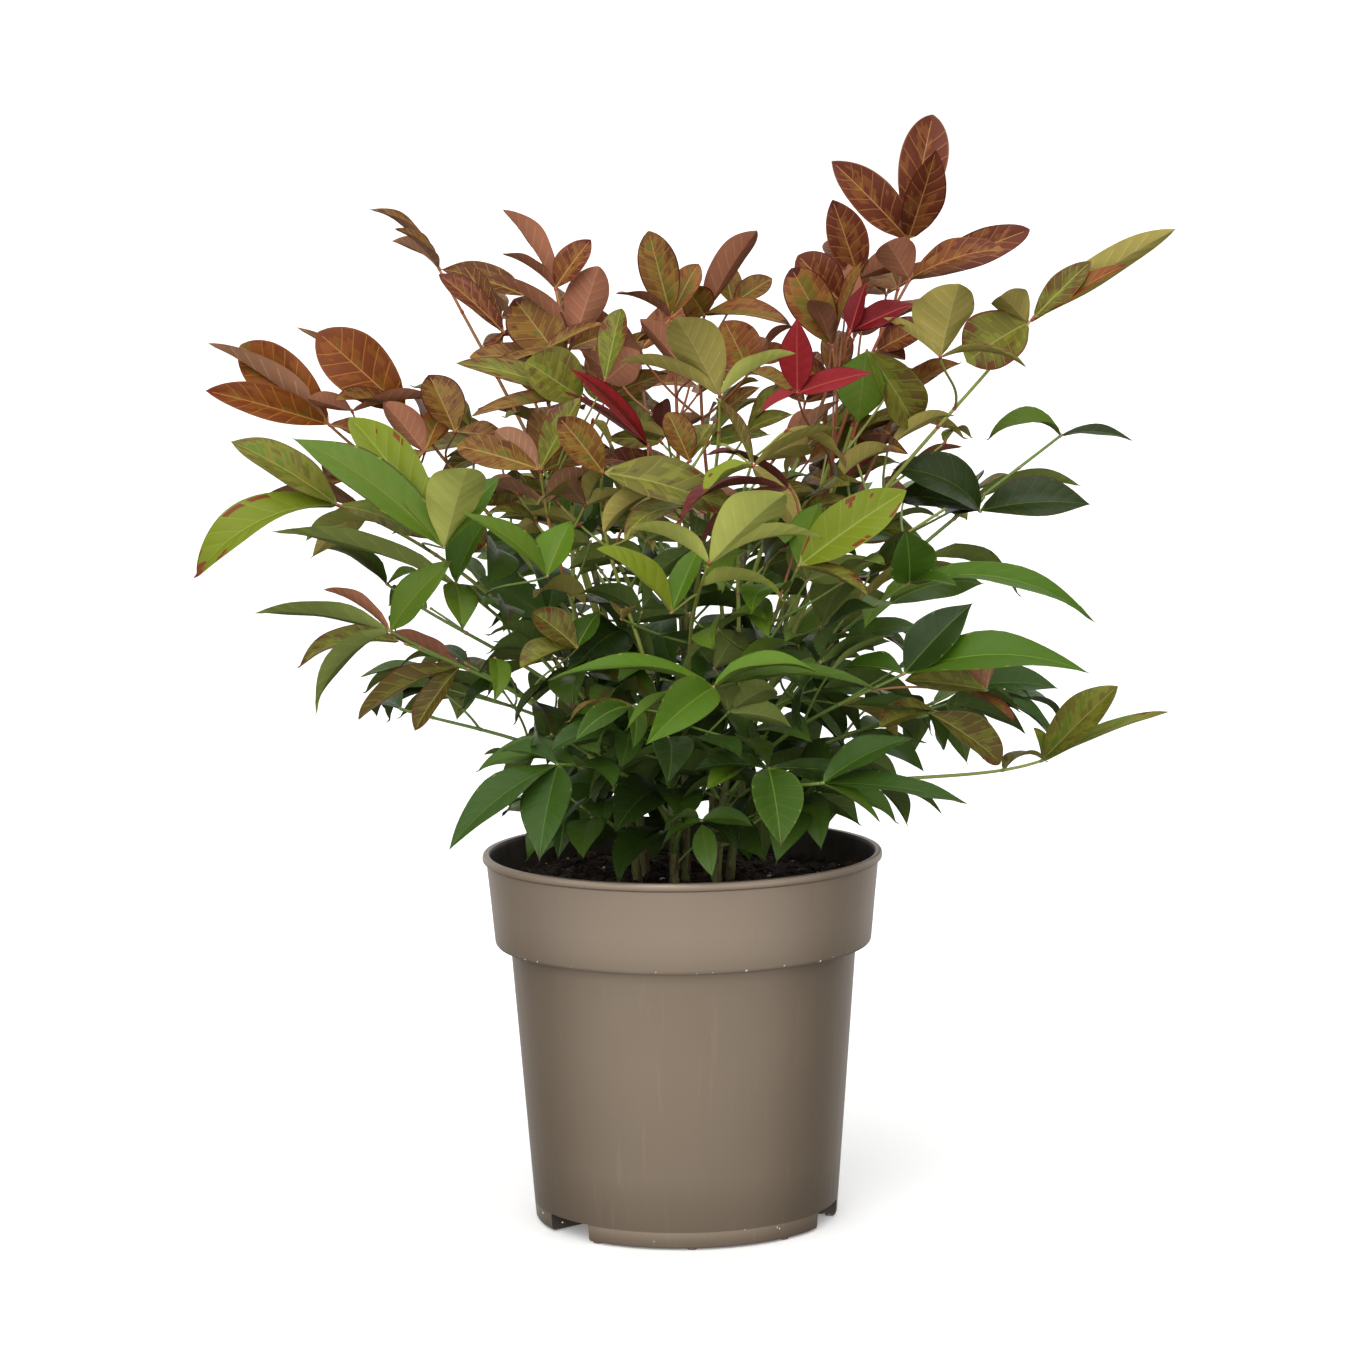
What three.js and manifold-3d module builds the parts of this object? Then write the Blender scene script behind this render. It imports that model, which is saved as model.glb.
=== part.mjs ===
// Heavenly bamboo (Nandina) in the round plastic pot that it is sold in.
//
// Millimetres, +Z up. The origin is the middle of the pot's flat underside, +X is the plant's
// right and +Y its back. A clump of thin canes stands in the soil. Each cane carries compound
// leaves, called fronds here: a slim stalk with pairs of side twigs and leaflets along it and
// three leaflets at its tip. Every frond is one solid, 0.3 mm clear of the cane that bears it.

import * as THREE from "three";
import { mergeVertices } from "three/addons/utils/BufferGeometryUtils.js";
import Module from "manifold-3d";

const wasm = await Module();
wasm.setup();

// ---------------------------------------------------------------- driving dimensions

const POT_HEIGHT = 158;
const RIM_RADIUS = 85;
const LIP_HEIGHT = 3.6; // rolled bead round the rim
const LIP_PROUD = 1.7; // how far the bead stands out of the collar
const COLLAR_HEIGHT = 39;
const COLLAR_FOOT_RADIUS = 80.1;
const BODY_TOP_RADIUS = 73.6;
const BASE_RADIUS = 64.6;
const WALL = 1.7;
const FLOOR = 2.2;
const POT_SIDES = 60;

const CHANNEL_BEARINGS = [-140.5, -20.5, 99.5]; // drainage channels under the floor
const CHANNEL_WIDTH = 25;
const CHANNEL_HEIGHT = 8;
const CHANNEL_START = 18; // distance from the axis to a channel's inner end
const DRAIN_RADIUS = 5;
const DRAIN_REACH = 46;

const SOIL_TOP = 145;
const GAP = 0.3; // between solids that touch

const CANE_FOOT_RADIUS = 2.2;
const CANE_TIP_RADIUS = 1.4;
const CANE_SIDES = 7;
const CANE_STEPS = 5;

const STALK_FOOT_RADIUS = 1.3;
const SPRAY_FOOT_RADIUS = 0.95;
const STALK_TIP_RADIUS = 0.8;
const TWIG_TIP_RADIUS = 0.7;
const TWIG_LENGTH = 34;
const JOINT_LENGTH = 1.8; // stretch of a stalk that a pair grows from
const LONGEST_STEP = 24; // between the rings of a stalk

const PAIR_PLACES = [0.86, 0.66, 0.46]; // where the pairs leave a stalk, tip pair first
const LARGEST_SIDE_LEAF = 48;
const LEAF_STALK = 3; // stalk of the end leaflet of three
const LEAF_WIDEST = 0.46; // place of the widest part, as a share of the length
const LEAF_FULLNESS = 1.08; // makes up for the straight edges of a faceted leaflet
const LEAF_THICKNESS = 1.0;
const LEAF_TWIST = 12; // turn of a side leaflet about its own midrib

const SEAT_HEIGHT = 0.42; // a frond leaves its cane at this share of its tip joint's height
const SEAT_SPACING = 9;
const CLEAR_OF_STALKS = 1.4; // wanted between two stalks, allowing for the sampling step
const SAMPLE_STEP = 2.5;
const LEAF_CLEARANCE = 0.4;
const NEAR_JOINT = 0.15; // leaflets of one frond may touch in this first share of their length
const FREE_OF_SEAT = 14; // a stalk may be near what bears it this far from its foot
const FREE_OF_TWIG = 8; // and a side twig this far

// A cane: bearing it leans to, distance of its foot from the axis, lean in degrees, length.
const CANES = [
  { bearing: -100, offset: 20, lean: 10, length: 74 },
  { bearing: -50, offset: 22, lean: 12, length: 96 },
  { bearing: -5, offset: 20, lean: 12, length: 122 },
  { bearing: 45, offset: 16, lean: 10, length: 140 },
  { bearing: 100, offset: 18, lean: 9, length: 132 },
  { bearing: 150, offset: 18, lean: 11, length: 150 },
  { bearing: -160, offset: 20, lean: 13, length: 116 },
  { bearing: -75, offset: 5, lean: 3, length: 168 },
];
const MIDDLE_CANE = 7;

// What a frond has unless its own row says otherwise: "l" is a pair of leaflets on the stalk
// and "t" a pair of side twigs with three leaflets each, counted from the tip; the width of a
// leaflet as a share of its length; and how far it arches over, in degrees.
const USUAL_FROND = { pairs: "ltt", wide: 0.36, arch: 32 };

// A frond: its tip joint [right, back, up], the [bearing, rise] of its end leaflet, the angle
// between that and its two neighbours, the roll of the three, the leaflet's length, its tint.
function frondRow(name, tip, aim, fan, roll, leaf, tint, own = {}) {
  return { ...USUAL_FROND, name, tip, aim, fan, roll, leaf, tint, ...own };
}

const FRONT_FRONDS = [
  frondRow("far_left_low", [-140, -40, 310], [-150, -20], 62, -55, 64, "lime"),
  frondRow("far_left_high", [-147, 10, 340], [180, 45], 44, -27, 60, "bronze"),
  frondRow("left_bronze", [-115, 15, 345], [160, 50], 35, 30, 58, "rust", { wide: 0.4 }),
  frondRow("top_left", [-100, 20, 405], [172, 58], 44, 17, 36, "bronze"),
  frondRow("top_left_mid", [-50, -10, 397], [150, 50], 55, 0, 42, "bronze", { arch: 15 }),
  frondRow("mid_left", [-56, -45, 323], [67, 57], 52, -36, 42, "bronze"),
  frondRow("left_dark", [-126, 40, 269], [150, 38], 45, -15, 38, "dark"),
  frondRow("left_mid_high", [-119, -50, 259], [-153, 32], 65, -42, 57, "green"),
  frondRow("left_mid_low", [-92, -20, 240], [-178, -20], 42, -60, 46, "olive", { pairs: "lt" }),
  frondRow("left_inner", [-92, -40, 277], [-120, 0], 52, -10, 42, "green", { pairs: "lt" }),
  frondRow("low_left_front", [-49, -115, 212], [-145, -18], 43, -39, 56, "deep", { pairs: "l" }),
  frondRow("top_mid_left", [-2, 0, 384], [180, 78], 45, 70, 42, "copper"),
  frondRow("top_mid_right", [12, 20, 384], [22, 58], 45, 53, 47, "copper"),
  frondRow("lime_heart", [17, -100, 357], [-112, 45], 55, -8, 50, "lime"),
  frondRow("mid_centre", [-30, -55, 326], [-30, 5], 68, -14, 56, "olive"),
  frondRow("centre_olive", [30, -60, 326], [-36, 27], 76, -52, 48, "olive"),
  frondRow("front_lime", [12, -130, 293], [-55, 32], 66, 6, 54, "lime"),
  frondRow("front_green", [13, -145, 246], [-109, -5], 85, -11, 70, "bright", { wide: 0.3 }),
  frondRow("low_mid", [-5, -100, 220], [-150, 16], 66, -23, 53, "deep"),
  frondRow("low_front", [8, -85, 184], [-87, -24], 95, 13, 34, "deep", { pairs: "l" }),
  frondRow("low_front_right", [35, -105, 208], [-62, -55], 110, 27, 36, "bright", { pairs: "l" }),
  frondRow("spire", [98, 10, 415], [150, 84], 34, -75, 54, "copper", { wide: 0.4, arch: 18 }),
  frondRow("top_right", [97, -20, 399], [16, 36], 44, 0, 52, "copper"),
  frondRow("upper_right_far", [77, 10, 399], [178, 73], 50, 69, 42, "copper"),
  frondRow("upper_right_near", [65, -10, 372], [187, 37], 58, 20, 50, "copper"),
  frondRow("right_hang", [83, -35, 369], [-94, -21], 42, -56, 48, "olive", { wide: 0.4 }),
  frondRow("long_right", [145, -30, 381], [6, 48], 33, 5, 69, "olive", { wide: 0.3 }),
  frondRow("right_high", [163, 20, 331], [45, 8], 80, 25, 44, "dark", { pairs: "tt" }),
  frondRow("right_centre", [48, -95, 288], [-48, 45], 51, 62, 56, "bright"),
  frondRow("right_mid", [94, -60, 277], [5, 0], 79, 46, 78, "green", { wide: 0.3 }),
  frondRow("right_low_near", [91, -70, 241], [-7, 13], 61, 47, 72, "green", { wide: 0.3 }),
  frondRow("right_low_far", [118, -10, 227], [0, 42], 43, 31, 48, "green"),
  frondRow("right_lowest", [154, 10, 193], [-18, 32], 34, 41, 54, "olive", { pairs: "l", wide: 0.3 }),
  frondRow("right_inner", [57, -70, 246], [-79, 54], 100, 30, 44, "deep", { pairs: "lt" }),
  frondRow("low_right_front", [56, -120, 204], [5, -5], 50, -10, 58, "deep", { pairs: "l", wide: 0.3 }),
  frondRow("low_inner_left", [-48, -38, 184], [-150, 8], 62, -20, 38, "deep", { pairs: "lt" }),
  frondRow("low_inner_right", [55, -38, 188], [-35, 8], 62, 20, 38, "deep", { pairs: "lt" }),
  frondRow("low_inner_back", [8, 52, 190], [95, 10], 62, 0, 40, "deep", { pairs: "lt" }),
];

// A smaller spray: three leaflets on a stalk that leaves another frond's stalk at the share "at".
function sprayRow(on, at, name, tip, aim, fan, roll, leaf, tint, wide = USUAL_FROND.wide) {
  return { ...frondRow(name, tip, aim, fan, roll, leaf, tint, { wide, pairs: "" }), on, at };
}

const SPRAYS = [
  sprayRow("top_left_mid", 0.6, "broad_olive", [-56, -25, 371], [-100, 47], 60, 13, 42, "olive", 0.4),
  sprayRow("low_left_front", 0.5, "low_left", [-52, -80, 219], [-124, 10], 70, 43, 42, "deep"),
  sprayRow("top_mid_left", 0.6, "upper_mid", [-24, 15, 357], [100, 68], 50, 90, 36, "copper"),
  sprayRow("mid_centre", 0.6, "crimson_left", [-12, -40, 333], [138, 52], 30, -23, 47, "crimson", 0.26),
  sprayRow("upper_right_near", 0.55, "crimson_mid", [49, -60, 355], [-89, 65], 62, -15, 38, "crimson", 0.28),
  sprayRow("right_hang", 0.75, "crimson_right", [71, -50, 379], [-13, 44], 40, 60, 32, "crimson", 0.28),
  sprayRow("long_right", 0.72, "blunt_olive", [107, -60, 369], [-95, 45], 80, 0, 38, "olive", 0.4),
  sprayRow("long_right", 0.4, "thin_olive", [76, 0, 334], [14, 23], 40, 2, 47, "olive"),
  sprayRow("right_high", 0.75, "dark_pair", [127, 0, 301], [35, 12], 90, -50, 56, "dark", 0.4),
  sprayRow("right_centre", 0.7, "wine_mid", [45, -75, 318], [-165, 8], 35, 14, 56, "wine", 0.22),
];

// The far side is filled in turn with high, middle and low fronds, spread by the golden ratio.
const BACK_FRONDS = 12;
const BACK_START = 8;
const BACK_SWEEP = 164;
const GOLDEN = 0.618034;
const BACK_TIERS = [
  { height: 368, reach: 95, rise: 52, tints: ["copper", "bronze", "rust"] },
  { height: 305, reach: 160, rise: 22, tints: ["olive", "bronze", "green"] },
  { height: 232, reach: 132, rise: 6, tints: ["green", "deep", "deep"] },
];

const PLASTIC_COLOUR = 0x8a7866;
const SOIL_COLOUR = 0x2a211b;
const CANE_COLOUR = 0x6f6a35;
const TINTS = {
  lime: 0x9db04a,
  bronze: 0x84502f,
  rust: 0xa05a2c,
  copper: 0x8a4c34,
  olive: 0x7d7a38,
  dark: 0x33502a,
  green: 0x4b7a32,
  deep: 0x2a4a24,
  bright: 0x5a9440,
  crimson: 0xa02c38,
  wine: 0x6c2430,
};
const GREENS = ["dark", "green", "deep", "bright"];

// ---------------------------------------------------------------- vectors and chance

const vec = (x, y, z) => new THREE.Vector3(x, y, z);
const UP = vec(0, 0, 1);
const radians = THREE.MathUtils.degToRad;
const degrees = THREE.MathUtils.radToDeg;

function heading(bearing, rise) {
  const level = Math.cos(radians(rise));
  return vec(level * Math.cos(radians(bearing)), level * Math.sin(radians(bearing)), Math.sin(radians(rise)));
}

// A fixed number from 0 to 1 for each set of whole-number keys.
function chance(...keys) {
  let phase = 12.9898;
  keys.forEach((key, place) => {
    phase += (key + 1) * (78.233 + place * 37.719);
  });
  const value = Math.sin(phase) * 43758.5453;
  return value - Math.floor(value);
}

const spread = (...keys) => 2 * chance(...keys) - 1;

// The direction that a leaflet's upper side faces: up, and a little in to the clump.
function upperSide(along, outward, roll) {
  const wanted = UP.clone().multiplyScalar(0.9).addScaledVector(outward, -0.4);
  wanted.addScaledVector(along, -wanted.dot(along)).normalize();
  return wanted.applyAxisAngle(along, radians(roll));
}

function blend(...pairs) {
  const sum = vec(0, 0, 0);
  for (const [direction, share] of pairs) sum.addScaledVector(direction, share);
  return sum.normalize();
}

// ---------------------------------------------------------------- solids from geometries

function toSolid(geometry) {
  geometry.deleteAttribute("normal");
  geometry.deleteAttribute("uv");
  const merged = mergeVertices(geometry, 1e-4);
  const vertProperties = new Float32Array(merged.attributes.position.array);
  const triVerts = new Uint32Array(merged.index.array);
  if (signedVolume(vertProperties, triVerts) < 0) triVerts.reverse();
  return new wasm.Manifold(new wasm.Mesh({ numProp: 3, vertProperties, triVerts }));
}

function signedVolume(points, corners) {
  let sum = 0;
  const [a, b, c] = [vec(), vec(), vec()];
  for (let i = 0; i < corners.length; i += 3) {
    a.fromArray(points, 3 * corners[i]);
    b.fromArray(points, 3 * corners[i + 1]);
    c.fromArray(points, 3 * corners[i + 2]);
    sum += a.dot(b.cross(c));
  }
  return sum / 6;
}

function toMesh(solid, name, material) {
  const { vertProperties, triVerts } = solid.getMesh();
  const geometry = new THREE.BufferGeometry();
  geometry.setAttribute("position", new THREE.BufferAttribute(vertProperties, 3));
  geometry.setIndex(new THREE.BufferAttribute(triVerts, 1));
  const mesh = new THREE.Mesh(geometry, material);
  mesh.name = name;
  return mesh;
}

function lathe(profile, sides) {
  const points = profile.map(([radius, height]) => new THREE.Vector2(radius, height));
  return toSolid(new THREE.LatheGeometry(points, sides).rotateX(Math.PI / 2));
}

// ---------------------------------------------------------------- pot and soil

const collarBottom = POT_HEIGHT - COLLAR_HEIGHT;
const collarTop = POT_HEIGHT - LIP_HEIGHT;
const collarTopRadius = RIM_RADIUS - LIP_PROUD;

// The inside of the wall, floor to rim, set in by a clearance.
function innerProfile(clearance) {
  const inset = WALL + clearance;
  return [
    [0, FLOOR + clearance],
    [BASE_RADIUS - inset + 0.1, FLOOR + clearance],
    [BODY_TOP_RADIUS - inset, collarBottom - 0.6 + clearance],
    [COLLAR_FOOT_RADIUS - inset - 0.6, collarBottom + WALL + clearance],
    [collarTopRadius - inset, collarTop],
  ];
}

function potShell() {
  const outside = [
    [0, 0],
    [BASE_RADIUS - 1.4, 0],
    [BASE_RADIUS, 1.6],
    [BODY_TOP_RADIUS, collarBottom],
    [COLLAR_FOOT_RADIUS - 1.5, collarBottom + 0.2],
    [COLLAR_FOOT_RADIUS, collarBottom + 1.8],
    [collarTopRadius, collarTop],
    [RIM_RADIUS - 0.3, collarTop + 0.5],
    [RIM_RADIUS, collarTop + 1.6],
    [RIM_RADIUS - 0.2, POT_HEIGHT - 0.6],
    [RIM_RADIUS - 1.2, POT_HEIGHT],
    [collarTopRadius - WALL + 0.6, POT_HEIGHT],
  ];
  return lathe([...outside, ...innerProfile(0).reverse()], POT_SIDES);
}

// The raised roof of a drainage channel, which meets the wall on an arc.
function channelRoof(bearing, clearance) {
  const half = CHANNEL_WIDTH / 2 + WALL + clearance;
  const start = CHANNEL_START - WALL - clearance;
  const end = BASE_RADIUS - 0.6;
  const turn = Math.asin(half / end);
  const outline = new THREE.Shape();
  outline.moveTo(start, half);
  outline.lineTo(start, -half);
  outline.absarc(0, 0, end, -turn, turn, false);
  outline.closePath();
  const depth = CHANNEL_HEIGHT + WALL - FLOOR / 2 + clearance;
  const geometry = new THREE.ExtrudeGeometry(outline, { depth, bevelEnabled: false, curveSegments: 4 });
  return toSolid(geometry.translate(0, 0, FLOOR / 2).rotateZ(radians(bearing)));
}

function channelCut(bearing) {
  const length = BASE_RADIUS + 10 - CHANNEL_START;
  const block = new THREE.BoxGeometry(length, CHANNEL_WIDTH, CHANNEL_HEIGHT + 2);
  block.translate(CHANNEL_START + length / 2, 0, CHANNEL_HEIGHT / 2 - 1);
  return toSolid(block.rotateZ(radians(bearing)));
}

function drainCut(bearing) {
  const hole = new THREE.CylinderGeometry(DRAIN_RADIUS, DRAIN_RADIUS, 3 * WALL, 12);
  hole.rotateX(Math.PI / 2).translate(DRAIN_REACH, 0, CHANNEL_HEIGHT + WALL / 2);
  return toSolid(hole.rotateZ(radians(bearing)));
}

function makePot() {
  let pot = potShell();
  for (const bearing of CHANNEL_BEARINGS) {
    pot = pot.add(channelRoof(bearing, 0)).subtract(channelCut(bearing)).subtract(drainCut(bearing));
  }
  return pot;
}

function makeSoil() {
  const sides = innerProfile(GAP);
  const [foot, top] = sides.slice(-2);
  const share = (SOIL_TOP - foot[1]) / (top[1] - foot[1]);
  sides[sides.length - 1] = [foot[0] + share * (top[0] - foot[0]), SOIL_TOP];
  let soil = lathe([...sides, [0, SOIL_TOP]], POT_SIDES);
  for (const bearing of CHANNEL_BEARINGS) soil = soil.subtract(channelRoof(bearing, GAP));
  return soil;
}

// ---------------------------------------------------------------- limbs and leaflets

// A closed tapering limb: a prism bent along a curve.
function limb(curve, footRadius, tipRadius, sides, steps) {
  const prism = new THREE.CylinderGeometry(1, 1, 1, sides, steps);
  const places = prism.attributes.position;
  const chord = curve.getPoint(1).sub(curve.getPoint(0)).normalize();
  const level = Math.abs(chord.z) > 0.8 ? vec(1, 0, 0) : UP;
  for (let i = 0; i < places.count; i += 1) {
    const share = places.getY(i) + 0.5;
    const along = curve.getTangent(share);
    const side = along.clone().cross(level).normalize();
    const lift = side.clone().cross(along);
    const radius = footRadius + (tipRadius - footRadius) * share;
    const point = curve.getPoint(share);
    point.addScaledVector(side, places.getX(i) * radius).addScaledVector(lift, places.getZ(i) * radius);
    places.setXYZ(i, point.x, point.y, point.z);
  }
  return prism;
}

// A point of the leaflet's arched midrib, and the upper side's direction there.
function midrib(leaflet, share) {
  const bend = radians(leaflet.arch);
  const turned = bend * share;
  const point = leaflet.root.clone();
  point.addScaledVector(leaflet.along, (leaflet.length / bend) * Math.sin(turned));
  point.addScaledVector(leaflet.upper, (leaflet.length / bend) * (Math.cos(turned) - 1));
  const upper = leaflet.upper.clone().multiplyScalar(Math.cos(turned));
  upper.addScaledVector(leaflet.along, Math.sin(turned));
  return { point, upper };
}

// The three corners of a leaflet at its widest: its two edges and the keel under its midrib.
function leafRing(leaflet, extra = 0) {
  const { point, upper } = midrib(leaflet, LEAF_WIDEST);
  const side = leaflet.upper.clone().cross(leaflet.along);
  const halfWidth = (leaflet.width * LEAF_FULLNESS) / 2 + extra;
  const thickness = Math.max(LEAF_THICKNESS, leaflet.length / 60);
  return [
    point.clone().addScaledVector(side, halfWidth).addScaledVector(upper, extra),
    point.clone().addScaledVector(side, -halfWidth).addScaledVector(upper, extra),
    point.clone().addScaledVector(upper, -thickness - extra),
  ];
}

// The three corners of a round-ish twig: two above, one below, counter-clockwise from its tip.
function twigRing(point, along, upper, radius) {
  const square = upper.clone().addScaledVector(along, -upper.dot(along)).normalize();
  const side = square.clone().cross(along);
  return [30, 150, 270].map((angle) => {
    const corner = point.clone().addScaledVector(side, radius * Math.cos(radians(angle)));
    return corner.addScaledVector(square, radius * Math.sin(radians(angle)));
  });
}

// A surface that grows ring by ring. Each ring has three corners, and a twig or leaflet grows
// out of a triangle of the limb that bears it, so that the whole frond is one closed skin.
class Growth {
  constructor(ring) {
    this.points = [];
    this.triangles = [];
    this.ring = ring.map((point) => this.addPoint(point));
    this.triangles.push([this.ring[0], this.ring[2], this.ring[1]]);
  }

  addPoint(point) {
    this.points.push(point);
    return this.points.length - 1;
  }

  // Turns the new ring's corners until they lie over the old ring's.
  matched(ring, points) {
    const centre = (list) => list.reduce((sum, point) => sum.add(point), vec(0, 0, 0)).divideScalar(3);
    const old = ring.map((id) => this.points[id]);
    const [oldCentre, newCentre] = [centre(old), centre(points)];
    const fit = (shift) =>
      old.reduce((sum, point, k) => {
        const arm = points[(k + shift) % 3].clone().sub(newCentre).normalize();
        return sum + arm.dot(point.clone().sub(oldCentre).normalize());
      }, 0);
    const shift = [0, 1, 2].reduce((best, next) => (fit(next) > fit(best) ? next : best), 0);
    return points.map((_, k) => points[(k + shift) % 3]);
  }

  // Joins a ring to the next; the sides' triangles are given back for others to grow from.
  extend(ring, points) {
    const next = this.matched(ring, points).map((point) => this.addPoint(point));
    const sides = [0, 1, 2].map((k) => {
      const pair = this.foldedOut(ring[k], ring[(k + 1) % 3], next[(k + 1) % 3], next[k]);
      this.triangles.push(...pair);
      return pair;
    });
    return { ring: next, sides };
  }

  // The two triangles of a four-cornered side, cut along the diagonal that stands out.
  foldedOut(a, b, c, d) {
    const [first, ...others] = [a, b, c, d].map((id) => this.points[id]);
    const [ab, ac, ad] = others.map((point) => point.clone().sub(first));
    const diagonalStandsOut = ab.cross(ac).dot(ad) <= 0;
    return diagonalStandsOut
      ? [
          [a, b, c],
          [a, c, d],
        ]
      : [
          [a, b, d],
          [b, c, d],
        ];
  }

  // Opens a triangle so that a twig or leaflet can grow out of it.
  open(triangle) {
    this.triangles.splice(this.triangles.indexOf(triangle), 1);
    return triangle;
  }

  close(ring) {
    const cap = [...ring];
    this.triangles.push(cap);
    return cap;
  }

  addLeaflet(ring, leaflet, extra = 0) {
    const { ring: widest } = this.extend(ring, leafRing(leaflet, extra));
    const tip = this.addPoint(midrib(leaflet, 1).point);
    [0, 1, 2].forEach((k) => this.triangles.push([widest[k], widest[(k + 1) % 3], tip]));
  }

  geometry() {
    const shape = new THREE.BufferGeometry().setFromPoints(this.points);
    return shape.setIndex(this.triangles.flat());
  }
}

// The triangle of a joint that faces a direction best.
function facing(growth, sides, direction) {
  let best = null;
  for (const triangle of sides.flat()) {
    if (!growth.triangles.includes(triangle)) continue;
    const [a, b, c] = triangle.map((id) => growth.points[id]);
    const normal = b.clone().sub(a).cross(c.clone().sub(a)).normalize();
    const fit = normal.dot(direction);
    if (!best || fit > best.fit + 1e-6) best = { triangle, fit };
  }
  return best.triangle;
}

// ---------------------------------------------------------------- canes

function makeCane(row, index) {
  const foot = heading(row.bearing, 0).multiplyScalar(row.offset).setZ(SOIL_TOP + GAP);
  const middle = foot.clone().addScaledVector(heading(row.bearing, 90 - row.lean / 2), row.length / 2);
  const top = middle.clone().addScaledVector(heading(row.bearing, 90 - row.lean * 1.5), row.length / 2);
  const curve = new THREE.QuadraticBezierCurve3(foot, middle, top);
  return { ...row, name: `cane_${index + 1}`, curve, top, index, seats: [] };
}

const caneRadius = (share) => CANE_FOOT_RADIUS + (CANE_TIP_RADIUS - CANE_FOOT_RADIUS) * share;

// A cane with its foot cut flat and level at the soil.
function caneShape(cane) {
  const shape = limb(cane.curve, CANE_FOOT_RADIUS, CANE_TIP_RADIUS, CANE_SIDES, CANE_STEPS);
  const places = shape.attributes.position;
  for (let i = 0; i < places.count; i += 1) {
    if (places.getZ(i) < SOIL_TOP + 3) places.setZ(i, SOIL_TOP + GAP);
  }
  return shape;
}

// ---------------------------------------------------------------- growing the fronds

function backFronds() {
  return Array.from({ length: BACK_FRONDS }, (_, i) => {
    const tier = BACK_TIERS[i % BACK_TIERS.length];
    const bearing = BACK_START + BACK_SWEEP * ((i * GOLDEN) % 1);
    const joint = heading(bearing, 0).multiplyScalar(tier.reach + 22 * spread(i, 92));
    const tip = [joint.x, joint.y, tier.height + 28 * spread(i, 91)];
    const aim = [bearing + 25 * spread(i, 94), tier.rise + 12 * spread(i, 93)];
    const fan = 50 + 10 * spread(i, 95);
    const leaf = 50 + 7 * spread(i, 97);
    const tint = tier.tints[Math.floor(i / 3) % 3];
    return frondRow(`back_${i + 1}`, tip, aim, fan, 30 * spread(i, 96), leaf, tint);
  });
}

// Every frond goes to the cane that leans its way, has the height and is least laden.
function chooseCane(frond, canes) {
  const bearing = degrees(Math.atan2(frond.tip.y, frond.tip.x));
  const reach = Math.hypot(frond.tip.x, frond.tip.y);
  const seatShare = (cane) => (SEAT_HEIGHT * (frond.tip.z - SOIL_TOP)) / (cane.top.z - SOIL_TOP);
  const costs = canes.map((cane) => {
    const apart = Math.abs(THREE.MathUtils.euclideanModulo(bearing - cane.bearing + 180, 360) - 180);
    const tooHigh = Math.max(0, seatShare(cane) - 1);
    const outOfMiddle = cane.index === MIDDLE_CANE && reach >= 60 ? 30 : 0;
    return apart * Math.min(1, reach / 60) + 60 * tooHigh + 9 * cane.seats.length + outOfMiddle;
  });
  const cane = canes[costs.indexOf(Math.min(...costs))];
  cane.seats.push({ frond, share: seatShare(cane) });
}

// Seats on one cane are kept a few millimetres apart, and the highest frond takes the tip.
function spaceSeats(cane) {
  const step = SEAT_SPACING / cane.length;
  cane.seats.sort((a, b) => a.share - b.share);
  let lowest = 0.16;
  for (const seat of cane.seats) {
    seat.share = Math.max(lowest, seat.share);
    lowest = seat.share + step;
  }
  let highest = 0.95;
  for (const seat of [...cane.seats].reverse()) {
    seat.share = Math.min(highest, seat.share);
    highest = seat.share - step;
  }
  for (const seat of cane.seats) Object.assign(seat.frond, { cane, share: seat.share });
}

// Ways to bend a stalk out of another's path: turn of the start, lowering of the start.
const STALK_BENDS = [0, 8, -8, 16, -16, 24, -24, 34, -34].flatMap((turn) => [
  [turn, 0],
  [turn, -7],
  [turn, -14],
]);

function stalkCurve(frond, [turn, lowering]) {
  const axis = frond.cane.curve.getPoint(frond.share);
  const chord = frond.tip.clone().sub(axis);
  const bearing = degrees(Math.atan2(chord.y, chord.x)) + turn;
  const rise = degrees(Math.asin(chord.z / chord.length()));
  const startRise = rise + 0.38 * (88 - rise) + lowering;
  const start = heading(bearing, startRise);
  const standOff = caneRadius(frond.share) + GAP + STALK_FOOT_RADIUS * Math.sin(radians(startRise));
  const foot = axis.clone().addScaledVector(heading(bearing, 0), standOff);
  const reach = frond.tip.clone().sub(foot);
  const end = blend([reach.clone().normalize(), 0.66], [heading(...frond.aim), 0.34]);
  return new THREE.CubicBezierCurve3(
    foot,
    foot.clone().addScaledVector(start, 0.36 * reach.length()),
    frond.tip.clone().addScaledVector(end, -0.3 * reach.length()),
    frond.tip,
  );
}

function sprayCurve(spray, parent, [turn, lowering]) {
  const foot = parent.curve.getPoint(spray.at);
  const reach = spray.tip.clone().sub(foot);
  const chord = reach.clone().normalize();
  const start = blend([chord, 1], [parent.curve.getTangent(spray.at), 0.6 + lowering / 30]);
  start.applyAxisAngle(UP, radians(turn));
  const end = blend([chord, 0.5], [heading(...spray.aim), 0.5]);
  return new THREE.CubicBezierCurve3(
    foot,
    foot.clone().addScaledVector(start, 0.33 * reach.length()),
    spray.tip.clone().addScaledVector(end, -0.33 * reach.length()),
    spray.tip,
  );
}

// Points along a limb with its radius, for telling how near two limbs come.
function samples(curve, footRadius, tipRadius, owner) {
  const count = Math.ceil(curve.getLength() / SAMPLE_STEP);
  return Array.from({ length: count + 1 }, (_, i) => ({
    point: curve.getPoint(i / count),
    radius: footRadius + ((tipRadius - footRadius) * i) / count,
    owner,
  }));
}

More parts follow.
